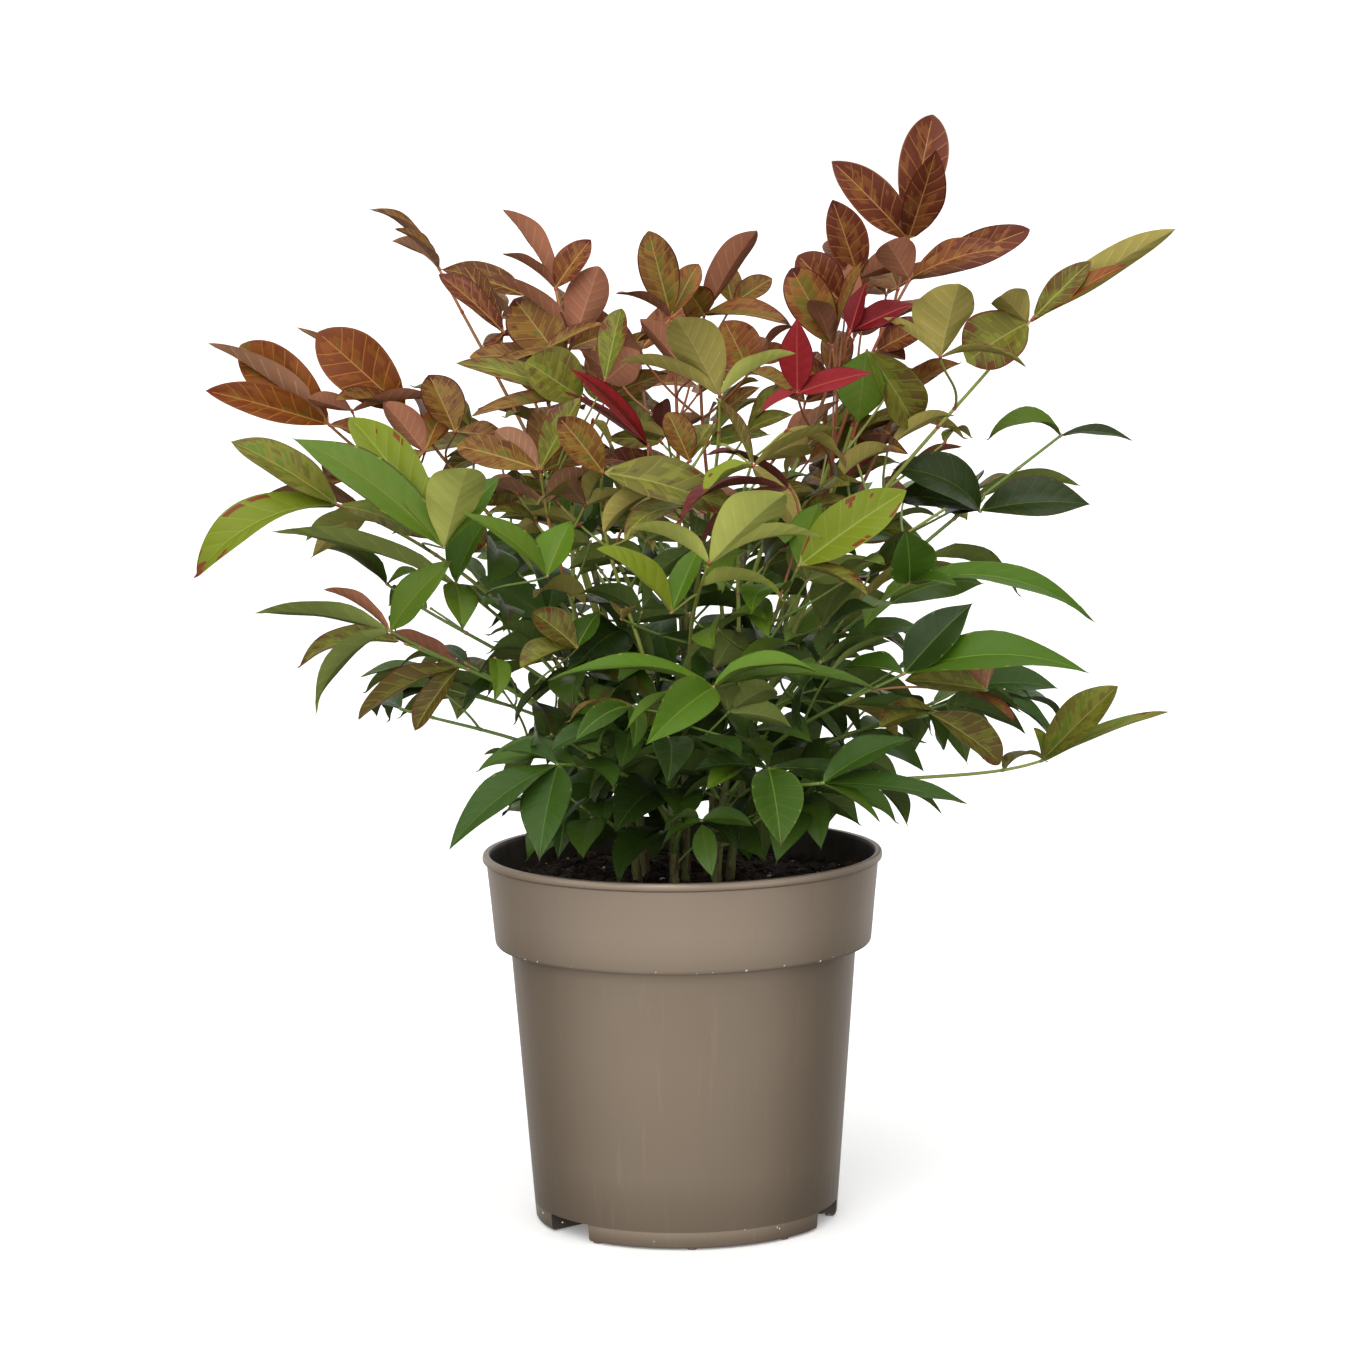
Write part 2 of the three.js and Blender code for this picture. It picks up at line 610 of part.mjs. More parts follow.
function roomBetween(own, others, skip) {
  let least = Infinity;
  for (const a of own) {
    for (const b of others) {
      if (skip(a, b)) continue;
      least = Math.min(least, a.point.distanceTo(b.point) - a.radius - b.radius);
    }
  }
  return least;
}

// The first of several curves that is clear of what stands already, or the clearest one.
function clearestCurve(curves, footRadius, tipRadius, owner, standing, skip) {
  let best = null;
  for (const curve of curves) {
    const own = samples(curve, footRadius, tipRadius, owner);
    const room = roomBetween(own, standing, skip);
    if (!best || room > best.room) best = { curve, own, room };
    if (room > CLEAR_OF_STALKS) break;
  }
  return best;
}

function growStalks(fronds, sprays, canes, standing) {
  for (const frond of fronds) {
    const curves = STALK_BENDS.map((bend) => stalkCurve(frond, bend));
    const { name: cane } = frond.cane;
    const nearSeat = (a, b) => b.owner === cane && a.point.distanceTo(curves[0].v0) < FREE_OF_SEAT;
    const best = clearestCurve(curves, STALK_FOOT_RADIUS, STALK_TIP_RADIUS, frond.name, standing, nearSeat);
    frond.curve = best.curve;
    frond.footRadius = STALK_FOOT_RADIUS;
    standing.push(...best.own);
  }
  for (const spray of sprays) {
    const parent = fronds.find((frond) => frond.name === spray.on);
    const curves = STALK_BENDS.map((bend) => sprayCurve(spray, parent, bend));
    const foot = curves[0].v0;
    const nearFoot = (a, b) => b.owner === spray.on && a.point.distanceTo(foot) < FREE_OF_SEAT;
    const best = clearestCurve(curves, SPRAY_FOOT_RADIUS, STALK_TIP_RADIUS, spray.on, standing, nearFoot);
    spray.curve = best.curve;
    spray.footRadius = SPRAY_FOOT_RADIUS;
    standing.push(...best.own);
  }
}

// Three leaflets at a joint: one straight on, one to each side.
function threeLeaflets(joint, along, outward, { fan, roll, length, wide, arch, tint, key }) {
  const upper = upperSide(along, outward, roll);
  const end = joint.clone().addScaledVector(along, LEAF_STALK);
  const shared = { arch, tint, key };
  const leaflets = [{ ...shared, root: end, along, upper, length, width: length * wide * 1.05, side: 0 }];
  for (const side of [1, -1]) {
    const turned = along.clone().applyAxisAngle(upper, radians(side * fan));
    const twisted = upper.clone().applyAxisAngle(turned, radians(-side * LEAF_TWIST));
    const size = { length: length * 0.86, width: length * wide * 0.92 };
    leaflets.push({ ...shared, ...size, root: joint, along: turned, upper: twisted, side });
  }
  return leaflets;
}

function sideLeaflet(frond, joint, along, upper, outward, side, key, length) {
  const turned = along.clone().applyAxisAngle(upper, radians(side * (58 + 10 * spread(frond.index, key, 2))));
  const raised = blend([turned, 1], [upper, 0.1 + 0.2 * spread(frond.index, key, 3)]);
  return {
    root: joint,
    side,
    along: raised,
    upper: upperSide(raised, outward, 25 * spread(frond.index, key, 6)),
    length: length * (0.85 + 0.1 * spread(frond.index, key, 7)),
    width: length * frond.wide,
    arch: frond.arch,
    tint: frond.tint,
    key,
  };
}

// Ways to shift a side twig: change of its spread, share of its length.
const TWIG_SHIFTS = [
  [0, 1],
  [10, 1],
  [-10, 1],
  [20, 0.85],
  [-20, 0.85],
  [0, 0.6],
  [15, 0.6],
];

function twigCurve(frond, joint, along, upper, side, key, [shift, share]) {
  const length = (TWIG_LENGTH + 8 * spread(frond.index, key, 1)) * share;
  const open = 55 + shift + 8 * spread(frond.index, key, 2);
  const turned = along.clone().applyAxisAngle(upper, radians(side * open));
  const start = blend([turned, 1], [upper, 0.18 + 0.22 * spread(frond.index, key, 3)]);
  const tip = joint.clone().addScaledVector(blend([start, 1], [along, 0.25]), length);
  const end = blend([start, 1], [along, 0.5]);
  const curve = new THREE.CubicBezierCurve3(
    joint,
    joint.clone().addScaledVector(start, 0.4 * length),
    tip.clone().addScaledVector(end, -0.3 * length),
    tip,
  );
  curve.start = start;
  return curve;
}

// Older, lower twigs of a coloured frond have turned green.
function tintAt(tint, height, pair) {
  if (pair === 0 || height > 345) return tint;
  if (height > 300) return GREENS.includes(tint) ? tint : "olive";
  return height > 225 ? "green" : "deep";
}

// The side twigs of one frond, and its leaflets by the limb and the place that they grow from.
// Twigs that find no room are left out.
function dress(frond, standing) {
  const { index, curve, tip, fan, roll, wide, arch, tint } = frond;
  const outward = vec(tip.x, tip.y, 0.001).normalize();
  const owner = frond.on ?? frond.name;
  const aim = heading(...frond.aim);
  const tipSet = { fan, roll, length: frond.leaf, wide, arch, tint, key: 0 };
  const stalk = {
    curve,
    footRadius: frond.footRadius,
    tipRadius: STALK_TIP_RADIUS,
    outward,
    aim,
    joints: [],
    leaflets: threeLeaflets(tip, aim, outward, tipSet),
  };
  const sideLength = Math.min(frond.leaf, LARGEST_SIDE_LEAF);
  [...frond.pairs].forEach((kind, pair) => {
    const place = PAIR_PLACES[pair];
    const joint = curve.getPoint(place);
    const along = curve.getTangent(place);
    const upper = upperSide(along, outward, 20 * spread(index, pair, 8));
    const borne = { place, twigs: [], leaflets: [] };
    stalk.joints.push(borne);
    for (const side of [1, -1]) {
      const key = 1 + 2 * pair + (side > 0 ? 1 : 0);
      if (kind === "l") {
        borne.leaflets.push(sideLeaflet(frond, joint, along, upper, outward, side, key, sideLength));
        continue;
      }
      const curves = TWIG_SHIFTS.map((shift) => twigCurve(frond, joint, along, upper, side, key, shift));
      const nearFoot = (a, b) => b.owner === owner && a.point.distanceTo(joint) < FREE_OF_TWIG;
      const best = clearestCurve(curves, SPRAY_FOOT_RADIUS, TWIG_TIP_RADIUS, owner, standing, nearFoot);
      if (best.room < CLEAR_OF_STALKS) continue;
      standing.push(...best.own);
      const end = best.curve.v3;
      const drop = -0.15 + 0.25 * spread(index, key, 4);
      const ahead = blend([best.curve.start, 0.8], [along, 0.5], [UP, drop]);
      const outAtEnd = vec(end.x, end.y, 0.001).normalize();
      const set = {
        fan: 46 + 8 * spread(index, key, 5),
        roll: 32 * spread(index, key, 6),
        length: sideLength * (0.88 - 0.05 * pair + 0.08 * spread(index, key, 7)),
        wide,
        arch,
        tint: tintAt(tint, end.z, pair),
        key,
      };
      borne.twigs.push({
        curve: best.curve,
        footRadius: SPRAY_FOOT_RADIUS,
        tipRadius: TWIG_TIP_RADIUS,
        outward: outAtEnd,
        aim: ahead,
        joints: [],
        leaflets: threeLeaflets(end, ahead, outAtEnd, set),
      });
    }
  });
  return stalk;
}

// ---------------------------------------------------------------- keeping leaflets apart

function boxOf(geometry) {
  geometry.computeBoundingBox();
  return geometry.boundingBox.clone();
}

// Small turns that a leaflet may take to find room: sideways, and up or down.
const LEAF_TURNS = [
  [0, 0],
  [14, 0],
  [-14, 0],
  [0, 12],
  [0, -12],
  [24, 8],
  [-24, 8],
  [0, -24],
  [30, -12],
  [-30, -12],
];

function turnedLeaflet(leaflet, [sideways, upward]) {
  const side = leaflet.upper.clone().cross(leaflet.along);
  const along = leaflet.along.clone().applyAxisAngle(leaflet.upper, radians(sideways));
  const tilt = radians(-upward);
  return {
    ...leaflet,
    along: along.applyAxisAngle(side, tilt),
    upper: leaflet.upper.clone().applyAxisAngle(side, tilt),
  };
}

function squared(leaflet) {
  const upper = leaflet.upper.clone();
  upper.addScaledVector(leaflet.along, -upper.dot(leaflet.along)).normalize();
  return { ...leaflet, upper };
}

// A leaflet as a loose closed solid, from a share of its length on, for telling what it touches.
function leafProbe(leaflet, from, extra) {
  const start = midrib(leaflet, from);
  const side = leaflet.upper.clone().cross(leaflet.along);
  const taper = (from * leaflet.width * LEAF_FULLNESS) / (2 * LEAF_WIDEST);
  const halfWidth = Math.max(JOINT_LENGTH / 2, taper) + extra;
  const points = [
    start.point.clone().addScaledVector(side, halfWidth).addScaledVector(start.upper, extra + 0.4),
    start.point.clone().addScaledVector(side, -halfWidth).addScaledVector(start.upper, extra + 0.4),
    start.point.clone().addScaledVector(start.upper, -STALK_TIP_RADIUS - extra),
  ];
  const probe = new Growth(points);
  probe.addLeaflet(probe.ring, leaflet, extra);
  return probe.geometry();
}

function addPiece(placed, owner, geometry, inner = null) {
  const solid = toSolid(geometry);
  placed.push({ owner, box: boxOf(geometry), solid, inner });
}

// Whether a leaflet's probe meets a piece of another frond, or the outer one a piece of its own.
function touches(whole, outer, owner, placed) {
  const box = boxOf(whole);
  const near = placed.filter((piece) => piece.box.intersectsBox(box));
  if (near.length === 0) return false;
  const [wholeSolid, outerSolid] = [toSolid(whole), toSolid(outer)];
  return near.some((piece) => {
    const probe = piece.owner === owner ? outerSolid : wholeSolid;
    const other = piece.owner === owner && piece.inner ? piece.inner : piece.solid;
    return !probe.intersect(other).isEmpty();
  });
}

// Adds a leaflet where it finds room, after a small turn if need be.
function placeLeaflet(growth, triangleFor, leaflet, owner, placed) {
  for (const turn of LEAF_TURNS) {
    const tried = squared(turnedLeaflet(leaflet, turn));
    const [whole, outer] = [0, NEAR_JOINT].map((from) => leafProbe(tried, from, LEAF_CLEARANCE));
    if (touches(whole, outer, owner, placed)) continue;
    addPiece(placed, owner, leafProbe(tried, 0, 0), toSolid(leafProbe(tried, NEAR_JOINT, 0)));
    growth.addLeaflet(growth.open(triangleFor(tried)), tried);
    return;
  }
}

// ---------------------------------------------------------------- assembly

// Rings along a stalk or twig: two at each joint, and others where the way between is long.
function ringShares(curve, places) {
  const length = curve.getLength();
  const half = JOINT_LENGTH / 2 / length;
  const set = [0, ...places.flatMap((place) => [place - half, place + half]), 1 - half];
  return set.flatMap((share, k) => {
    if (k === 0) return [];
    const count = Math.ceil(((share - set[k - 1]) * length) / LONGEST_STEP);
    const step = (share - set[k - 1]) / count;
    return Array.from({ length: count }, (_, i) => set[k - 1] + step * (i + 1));
  });
}

// Grows a stalk or twig with all its twigs out of a ring, and notes where its leaflets go.
function growLimb(growth, foot, limbPlan, slots) {
  const { curve, footRadius, tipRadius, outward, aim, leaflets } = limbPlan;
  const joints = [...limbPlan.joints].sort((a, b) => a.place - b.place);
  const places = joints.map((joint) => joint.place);
  let ring = foot;
  let before = 0;
  for (const share of ringShares(curve, places)) {
    const along = curve.getTangent(share);
    const radius = footRadius + (tipRadius - footRadius) * share;
    const points = twigRing(curve.getPoint(share), along, upperSide(along, outward, 0), radius);
    const step = growth.extend(ring, points);
    const joint = joints.find(({ place }) => before < place && place < share);
    if (joint) joint.sides = step.sides;
    ring = step.ring;
    before = share;
  }
  const end = curve.getPoint(1).addScaledVector(aim, JOINT_LENGTH / 2);
  const tip = growth.extend(ring, twigRing(end, aim, upperSide(aim, outward, 0), tipRadius));
  const cap = growth.close(tip.ring);
  for (const leaflet of leaflets) {
    slots.push({ leaflet, triangleFor: ({ along, side }) => (side ? facing(growth, tip.sides, along) : cap) });
  }
  for (const { sides, leaflets: single, twigs } of joints) {
    for (const twig of twigs) {
      const start = twig.curve.getTangent(0);
      growLimb(growth, growth.open(facing(growth, sides, start)), twig, slots);
    }
    for (const leaflet of single) {
      slots.push({ leaflet, triangleFor: ({ along }) => facing(growth, sides, along) });
    }
  }
}

// A frond's stalks and twigs as one skin, with its foot square to the stalk.
function growFrond(stalk) {
  const foot = stalk.curve.getPoint(0);
  const along = stalk.curve.getTangent(0);
  const growth = new Growth(twigRing(foot, along, stalk.outward, stalk.footRadius));
  const slots = [];
  growLimb(growth, growth.ring, stalk, slots);
  return { growth, slots };
}

function readRow(row, index) {
  return { ...row, index, tip: vec(...row.tip) };
}

const matt = (color, roughness) => new THREE.MeshStandardMaterial({ color, roughness, metalness: 0 });

function addPlant(group, pot, soil) {
  const rows = [...FRONT_FRONDS, ...backFronds(), ...SPRAYS].map(readRow);
  const fronds = rows.filter((row) => !row.on).sort((a, b) => a.tip.z - b.tip.z);
  const sprays = rows.filter((row) => row.on);
  const canes = CANES.map(makeCane);
  fronds.forEach((frond) => chooseCane(frond, canes));
  canes.forEach(spaceSeats);

  const standing = canes.flatMap((cane) => samples(cane.curve, CANE_FOOT_RADIUS, CANE_TIP_RADIUS, cane.name));
  growStalks(fronds, sprays, canes, standing);
  for (const row of rows) row.stalk = dress(row, standing);
  for (const spray of sprays) {
    const parent = fronds.find((frond) => frond.name === spray.on);
    parent.stalk.joints.push({ place: spray.at, twigs: [spray.stalk], leaflets: [] });
  }

  const placed = [];
  for (const [owner, solid] of [["pot", pot], ["soil", soil]]) {
    addPiece(placed, owner, toMesh(solid, owner).geometry);
  }
  for (const cane of canes) {
    const shape = caneShape(cane);
    addPiece(placed, cane.name, shape);
    group.add(toMesh(toSolid(shape), cane.name, matt(CANE_COLOUR, 0.6)));
  }
  for (const frond of fronds) {
    Object.assign(frond, growFrond(frond.stalk));
    addPiece(placed, frond.name, frond.growth.geometry());
  }
  for (const { name, growth, slots } of fronds) {
    for (const { leaflet, triangleFor } of slots) placeLeaflet(growth, triangleFor, leaflet, name, placed);
  }
  for (const { name, growth, tint } of fronds) {
    group.add(toMesh(toSolid(growth.geometry()), `frond_${name}`, matt(TINTS[tint], 0.5)));
  }
}

const group = new THREE.Group();
const pot = makePot();
const soil = makeSoil();
group.add(toMesh(pot, "pot", matt(PLASTIC_COLOUR, 0.42)));
group.add(toMesh(soil, "soil", matt(SOIL_COLOUR, 1)));
addPlant(group, pot, soil);

export default group;
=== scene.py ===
import math
import bpy
import numpy as np
from mathutils import Matrix, Quaternion, Vector
from mathutils.bvhtree import BVHTree
from mathutils.noise import noise as gradient_noise


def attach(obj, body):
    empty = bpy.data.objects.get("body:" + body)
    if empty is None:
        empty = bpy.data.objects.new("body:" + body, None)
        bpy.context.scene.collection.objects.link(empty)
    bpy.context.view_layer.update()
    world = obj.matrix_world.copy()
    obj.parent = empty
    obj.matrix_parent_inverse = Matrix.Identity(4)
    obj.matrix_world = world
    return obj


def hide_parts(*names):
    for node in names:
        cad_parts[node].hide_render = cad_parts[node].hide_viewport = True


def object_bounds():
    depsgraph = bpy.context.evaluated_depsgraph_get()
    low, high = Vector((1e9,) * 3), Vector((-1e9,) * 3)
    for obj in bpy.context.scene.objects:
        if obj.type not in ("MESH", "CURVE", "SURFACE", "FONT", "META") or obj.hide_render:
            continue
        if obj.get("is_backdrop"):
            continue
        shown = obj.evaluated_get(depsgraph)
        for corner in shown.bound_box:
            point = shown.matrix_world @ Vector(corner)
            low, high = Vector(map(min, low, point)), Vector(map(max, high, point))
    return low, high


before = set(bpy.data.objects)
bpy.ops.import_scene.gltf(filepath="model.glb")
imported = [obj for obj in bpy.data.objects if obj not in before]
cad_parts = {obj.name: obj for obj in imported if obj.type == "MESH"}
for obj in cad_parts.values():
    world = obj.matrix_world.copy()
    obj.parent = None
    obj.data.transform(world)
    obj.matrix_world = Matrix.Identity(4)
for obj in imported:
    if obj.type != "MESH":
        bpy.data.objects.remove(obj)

CAD_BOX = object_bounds()

# Heavenly bamboo in its nursery pot. Lengths are in millimetres until a mesh is made.
# The limbs and fronds follow the rule of the CAD source, which is written again here,
# and are then carried on to finer twigs and to leaflets with veins, margins and undersides.
MM = 0.001

# ------------------------------------------------------------ values shared with the source

SOIL_TOP = 145
GAP = 0.3
CANE_FOOT_RADIUS = 2.2
CANE_TIP_RADIUS = 1.4
STALK_FOOT_RADIUS = 1.3
SPRAY_FOOT_RADIUS = 0.95
STALK_TIP_RADIUS = 0.8
TWIG_TIP_RADIUS = 0.7
JOINT_LENGTH = 1.8
LONGEST_STEP = 24
PAIR_PLACES = (0.86, 0.66, 0.46)
LARGEST_SIDE_LEAF = 48
LEAF_STALK = 3
LEAF_WIDEST = 0.46
LEAF_FULLNESS = 1.08
LEAF_THICKNESS = 1.0
LEAF_TWIST = 12
SEAT_HEIGHT = 0.42
SEAT_SPACING = 9
CLEAR_OF_STALKS = 1.4
SAMPLE_STEP = 2.5
LEAF_CLEARANCE = 0.4
NEAR_JOINT = 0.15
FREE_OF_SEAT = 14
FREE_OF_TWIG = 8
FACE_UP, FACE_IN = 0.9, 0.4

# What counts against a cane for a frond: degrees of bearing, in full from a reach on, height
# over its tip, each frond that it bears already, and being the middle one.
FULL_REACH = 60
HEIGHT_COST = 60
LOAD_COST = 9
MIDDLE_COST = 30
LOWEST_SEAT, HIGHEST_SEAT = 0.16, 0.95

# How steeply a stalk sets off, how it ends, and how far its ends pull on its curve.
STEEPEST, STEEPENING = 88, 0.38
STALK_CHORD, STALK_AIM = 0.66, 0.34
START_PULL, END_PULL = 0.36, 0.3
SPRAY_PULL = 0.33
SPRAY_START = 0.6
TWIG_START_PULL = 0.4

# The leaflets of a joint beside the frond's own length and width.
END_WIDTH = 1.05
NEIGHBOUR_LENGTH, NEIGHBOUR_WIDTH = 0.86, 0.92

# What varies from limb to limb, as a middle value and how far it strays from it.
LEAF_OPENING = (58, 10)
LEAF_RAISED = (0.1, 0.2)
LEAF_SHARE = (0.85, 0.1)
TWIG_SPAN = (34, 8)
TWIG_OPENING, TWIG_OPENING_STRAY = 55, 8
TWIG_RAISED = (0.18, 0.22)
TWIG_END_RISE = (-0.15, 0.25)
TWIG_FAN = (46, 8)
TWIG_LEAF_SHARE, PAIR_LESS, TWIG_LEAF_STRAY = 0.88, 0.05, 0.08
LEAF_ROLL, TWIG_ROLL, PAIR_ROLL = 25, 32, 20

# Heights at which the older, lower twigs of a coloured frond turn olive, green and deep green.
OLIVE_BELOW, GREEN_BELOW, DEEP_LOW = 345, 300, 225

# A cane: bearing it leans to, distance of its foot from the axis, lean in degrees, length.
CANES = (
    (-100, 20, 10, 74),
    (-50, 22, 12, 96),
    (-5, 20, 12, 122),
    (45, 16, 10, 140),
    (100, 18, 9, 132),
    (150, 18, 11, 150),
    (-160, 20, 13, 116),
    (-75, 5, 3, 168),
)
MIDDLE_CANE = 7


# A frond: its tip joint (right, back, up), the (bearing, rise) of its end leaflet, the angle
# between that and its two neighbours, the roll of the three, the leaflet's length, its tint.
# Then its pairs from the tip on, "l" of leaflets and "t" of side twigs, and how wide and how
# arched its leaflets are.
def frond_row(name, tip, aim, fan, roll, leaf, tint, pairs="ltt", wide=0.36, arch=32):
    return dict(
        name=name, tip=Vector(tip), aim=aim, fan=fan, roll=roll, leaf=leaf, tint=tint,
        pairs=pairs, wide=wide, arch=arch, on=None,
    )


# A smaller spray: three leaflets on a stalk that leaves another frond's stalk at a share.
def spray_row(on, at, name, tip, aim, fan, roll, leaf, tint, wide=0.36):
    row = frond_row(name, tip, aim, fan, roll, leaf, tint, pairs="", wide=wide)
    row.update(on=on, at=at)
    return row


FRONT_FRONDS = [frond_row(*row) for row in (
    ("far_left_low", (-140, -40, 310), (-150, -20), 62, -55, 64, "lime"),
    ("far_left_high", (-147, 10, 340), (180, 45), 44, -27, 60, "bronze"),
    ("left_bronze", (-115, 15, 345), (160, 50), 35, 30, 58, "rust", "ltt", 0.4),
    ("top_left", (-100, 20, 405), (172, 58), 44, 17, 36, "bronze"),
    ("top_left_mid", (-50, -10, 397), (150, 50), 55, 0, 42, "bronze", "ltt", 0.36, 15),
    ("mid_left", (-56, -45, 323), (67, 57), 52, -36, 42, "bronze"),
    ("left_dark", (-126, 40, 269), (150, 38), 45, -15, 38, "dark"),
    ("left_mid_high", (-119, -50, 259), (-153, 32), 65, -42, 57, "green"),
    ("left_mid_low", (-92, -20, 240), (-178, -20), 42, -60, 46, "olive", "lt"),
    ("left_inner", (-92, -40, 277), (-120, 0), 52, -10, 42, "green", "lt"),
    ("low_left_front", (-49, -115, 212), (-145, -18), 43, -39, 56, "deep", "l"),
    ("top_mid_left", (-2, 0, 384), (180, 78), 45, 70, 42, "copper"),
    ("top_mid_right", (12, 20, 384), (22, 58), 45, 53, 47, "copper"),
    ("lime_heart", (17, -100, 357), (-112, 45), 55, -8, 50, "lime"),
    ("mid_centre", (-30, -55, 326), (-30, 5), 68, -14, 56, "olive"),
    ("centre_olive", (30, -60, 326), (-36, 27), 76, -52, 48, "olive"),
    ("front_lime", (12, -130, 293), (-55, 32), 66, 6, 54, "lime"),
    ("front_green", (13, -145, 246), (-109, -5), 85, -11, 70, "bright", "ltt", 0.3),
    ("low_mid", (-5, -100, 220), (-150, 16), 66, -23, 53, "deep"),
    ("low_front", (8, -85, 184), (-87, -24), 95, 13, 34, "deep", "l"),
    ("low_front_right", (35, -105, 208), (-62, -55), 110, 27, 36, "bright", "l"),
    ("spire", (98, 10, 415), (150, 84), 34, -75, 54, "copper", "ltt", 0.4, 18),
    ("top_right", (97, -20, 399), (16, 36), 44, 0, 52, "copper"),
    ("upper_right_far", (77, 10, 399), (178, 73), 50, 69, 42, "copper"),
    ("upper_right_near", (65, -10, 372), (187, 37), 58, 20, 50, "copper"),
    ("right_hang", (83, -35, 369), (-94, -21), 42, -56, 48, "olive", "ltt", 0.4),
    ("long_right", (145, -30, 381), (6, 48), 33, 5, 69, "olive", "ltt", 0.3),
    ("right_high", (163, 20, 331), (45, 8), 80, 25, 44, "dark", "tt"),
    ("right_centre", (48, -95, 288), (-48, 45), 51, 62, 56, "bright"),
    ("right_mid", (94, -60, 277), (5, 0), 79, 46, 78, "green", "ltt", 0.3),
    ("right_low_near", (91, -70, 241), (-7, 13), 61, 47, 72, "green", "ltt", 0.3),
    ("right_low_far", (118, -10, 227), (0, 42), 43, 31, 48, "green"),
    ("right_lowest", (154, 10, 193), (-18, 32), 34, 41, 54, "olive", "l", 0.3),
    ("right_inner", (57, -70, 246), (-79, 54), 100, 30, 44, "deep", "lt"),
    ("low_right_front", (56, -120, 204), (5, -5), 50, -10, 58, "deep", "l", 0.3),
    ("low_inner_left", (-48, -38, 184), (-150, 8), 62, -20, 38, "deep", "lt"),
    ("low_inner_right", (55, -38, 188), (-35, 8), 62, 20, 38, "deep", "lt"),
    ("low_inner_back", (8, 52, 190), (95, 10), 62, 0, 40, "deep", "lt"),
)]
SPRAYS = [spray_row(*row) for row in (
    ("top_left_mid", 0.6, "broad_olive", (-56, -25, 371), (-100, 47), 60, 13, 42, "olive", 0.4),
    ("low_left_front", 0.5, "low_left", (-52, -80, 219), (-124, 10), 70, 43, 42, "deep"),
    ("top_mid_left", 0.6, "upper_mid", (-24, 15, 357), (100, 68), 50, 90, 36, "copper"),
    ("mid_centre", 0.6, "crimson_left", (-12, -40, 333), (138, 52), 30, -23, 47, "crimson", 0.26),
    ("upper_right_near", 0.55, "crimson_mid",
     (49, -60, 355), (-89, 65), 62, -15, 38, "crimson", 0.28),
    ("right_hang", 0.75, "crimson_right", (71, -50, 379), (-13, 44), 40, 60, 32, "crimson", 0.28),
    ("long_right", 0.72, "blunt_olive", (107, -60, 369), (-95, 45), 80, 0, 38, "olive", 0.4),
    ("long_right", 0.4, "thin_olive", (76, 0, 334), (14, 23), 40, 2, 47, "olive"),
    ("right_high", 0.75, "dark_pair", (127, 0, 301), (35, 12), 90, -50, 56, "dark", 0.4),
    ("right_centre", 0.7, "wine_mid", (45, -75, 318), (-165, 8), 35, 14, 56, "wine", 0.22),
)]

# The far side is filled in turn with high, middle and low fronds: height, reach, rise, tints.
# They stray from that in height, reach, rise, bearing, fan, roll and their leaflets' length.
BACK_FRONDS = 12
BACK_START = 8
BACK_SWEEP = 164
GOLDEN = 0.618034
BACK_TIERS = (
    (368, 95, 52, ("copper", "bronze", "rust")),
    (305, 160, 22, ("olive", "bronze", "green")),
    (232, 132, 6, ("green", "deep", "deep")),
)
BACK_FAN, BACK_LEAF = 50, 50
BACK_STRAY = (28, 22, 12, 25, 10, 30, 7)
BACK_SEED = 91
GREENS = ("dark", "green", "deep", "bright")

# ------------------------------------------------------------ vectors, chance and curves

UP = Vector((0, 0, 1))
RIGHT = Vector((1, 0, 0))


def heading(bearing, rise):
    level = math.cos(math.radians(rise))
    turn = math.radians(bearing)
    return Vector((level * math.cos(turn), level * math.sin(turn), math.sin(math.radians(rise))))


# A fixed number from 0 to 1 for each set of whole-number keys.
def chance(*keys):
    phase = 12.9898
    for place, key in enumerate(keys):
        phase += (key + 1) * (78.233 + place * 37.719)
    value = math.sin(phase) * 43758.5453
    return value - math.floor(value)


def spread(*keys):
    return 2 * chance(*keys) - 1


# A value that strays both ways from its middle.
def about(middle, stray, *keys):
    return middle + stray * spread(*keys)


# A value from the least one up, by as much as a further amount.
def upward(least, more, *keys):
    return least + more * chance(*keys)


def between(start, end, share):
    return start + (end - start) * share


def turned(vector, axis, angle):
    return Quaternion(axis, math.radians(angle)) @ vector


# The direction that a leaflet's upper side faces: up, and a little in to the clump.
def upper_side(along, outward, roll):
    wanted = UP * FACE_UP - outward * FACE_IN
    wanted = (wanted - along * wanted.dot(along)).normalized()
    return turned(wanted, along, roll)


def blend(*pairs):
    return sum((direction * share for direction, share in pairs), Vector((0, 0, 0))).normalized()


def outward_of(point):
    return Vector((point.x, point.y, 0.001)).normalized()


class Curve:
    """A cubic Bezier curve."""

    def __init__(self, *points):
        self.start, self.end = points[0].copy(), points[-1].copy()
        self.hull = np.array(points, float)

    def many(self, shares):
        t = np.asarray(shares, float)[:, None]
        u = 1 - t
        a, b, c, d = self.hull
        return u**3 * a + 3 * u * u * t * b + 3 * u * t * t * c + t**3 * d

    def slopes(self, shares):
        t = np.asarray(shares, float)[:, None]
        u = 1 - t
        a, b, c, d = self.hull
        slope = u * u * (b - a) + 2 * u * t * (c - b) + t * t * (d - c)
        return slope / np.linalg.norm(slope, axis=1, keepdims=True)

    def point(self, share):
        return Vector(self.many([share])[0])

    def tangent(self, share):
        return Vector(self.slopes([share])[0])

    def length(self):
        steps = np.diff(self.many(np.linspace(0, 1, 201)), axis=0)
        return float(np.linalg.norm(steps, axis=1).sum())


# ------------------------------------------------------------ what stands already

SEARCH_REACH = 6.0


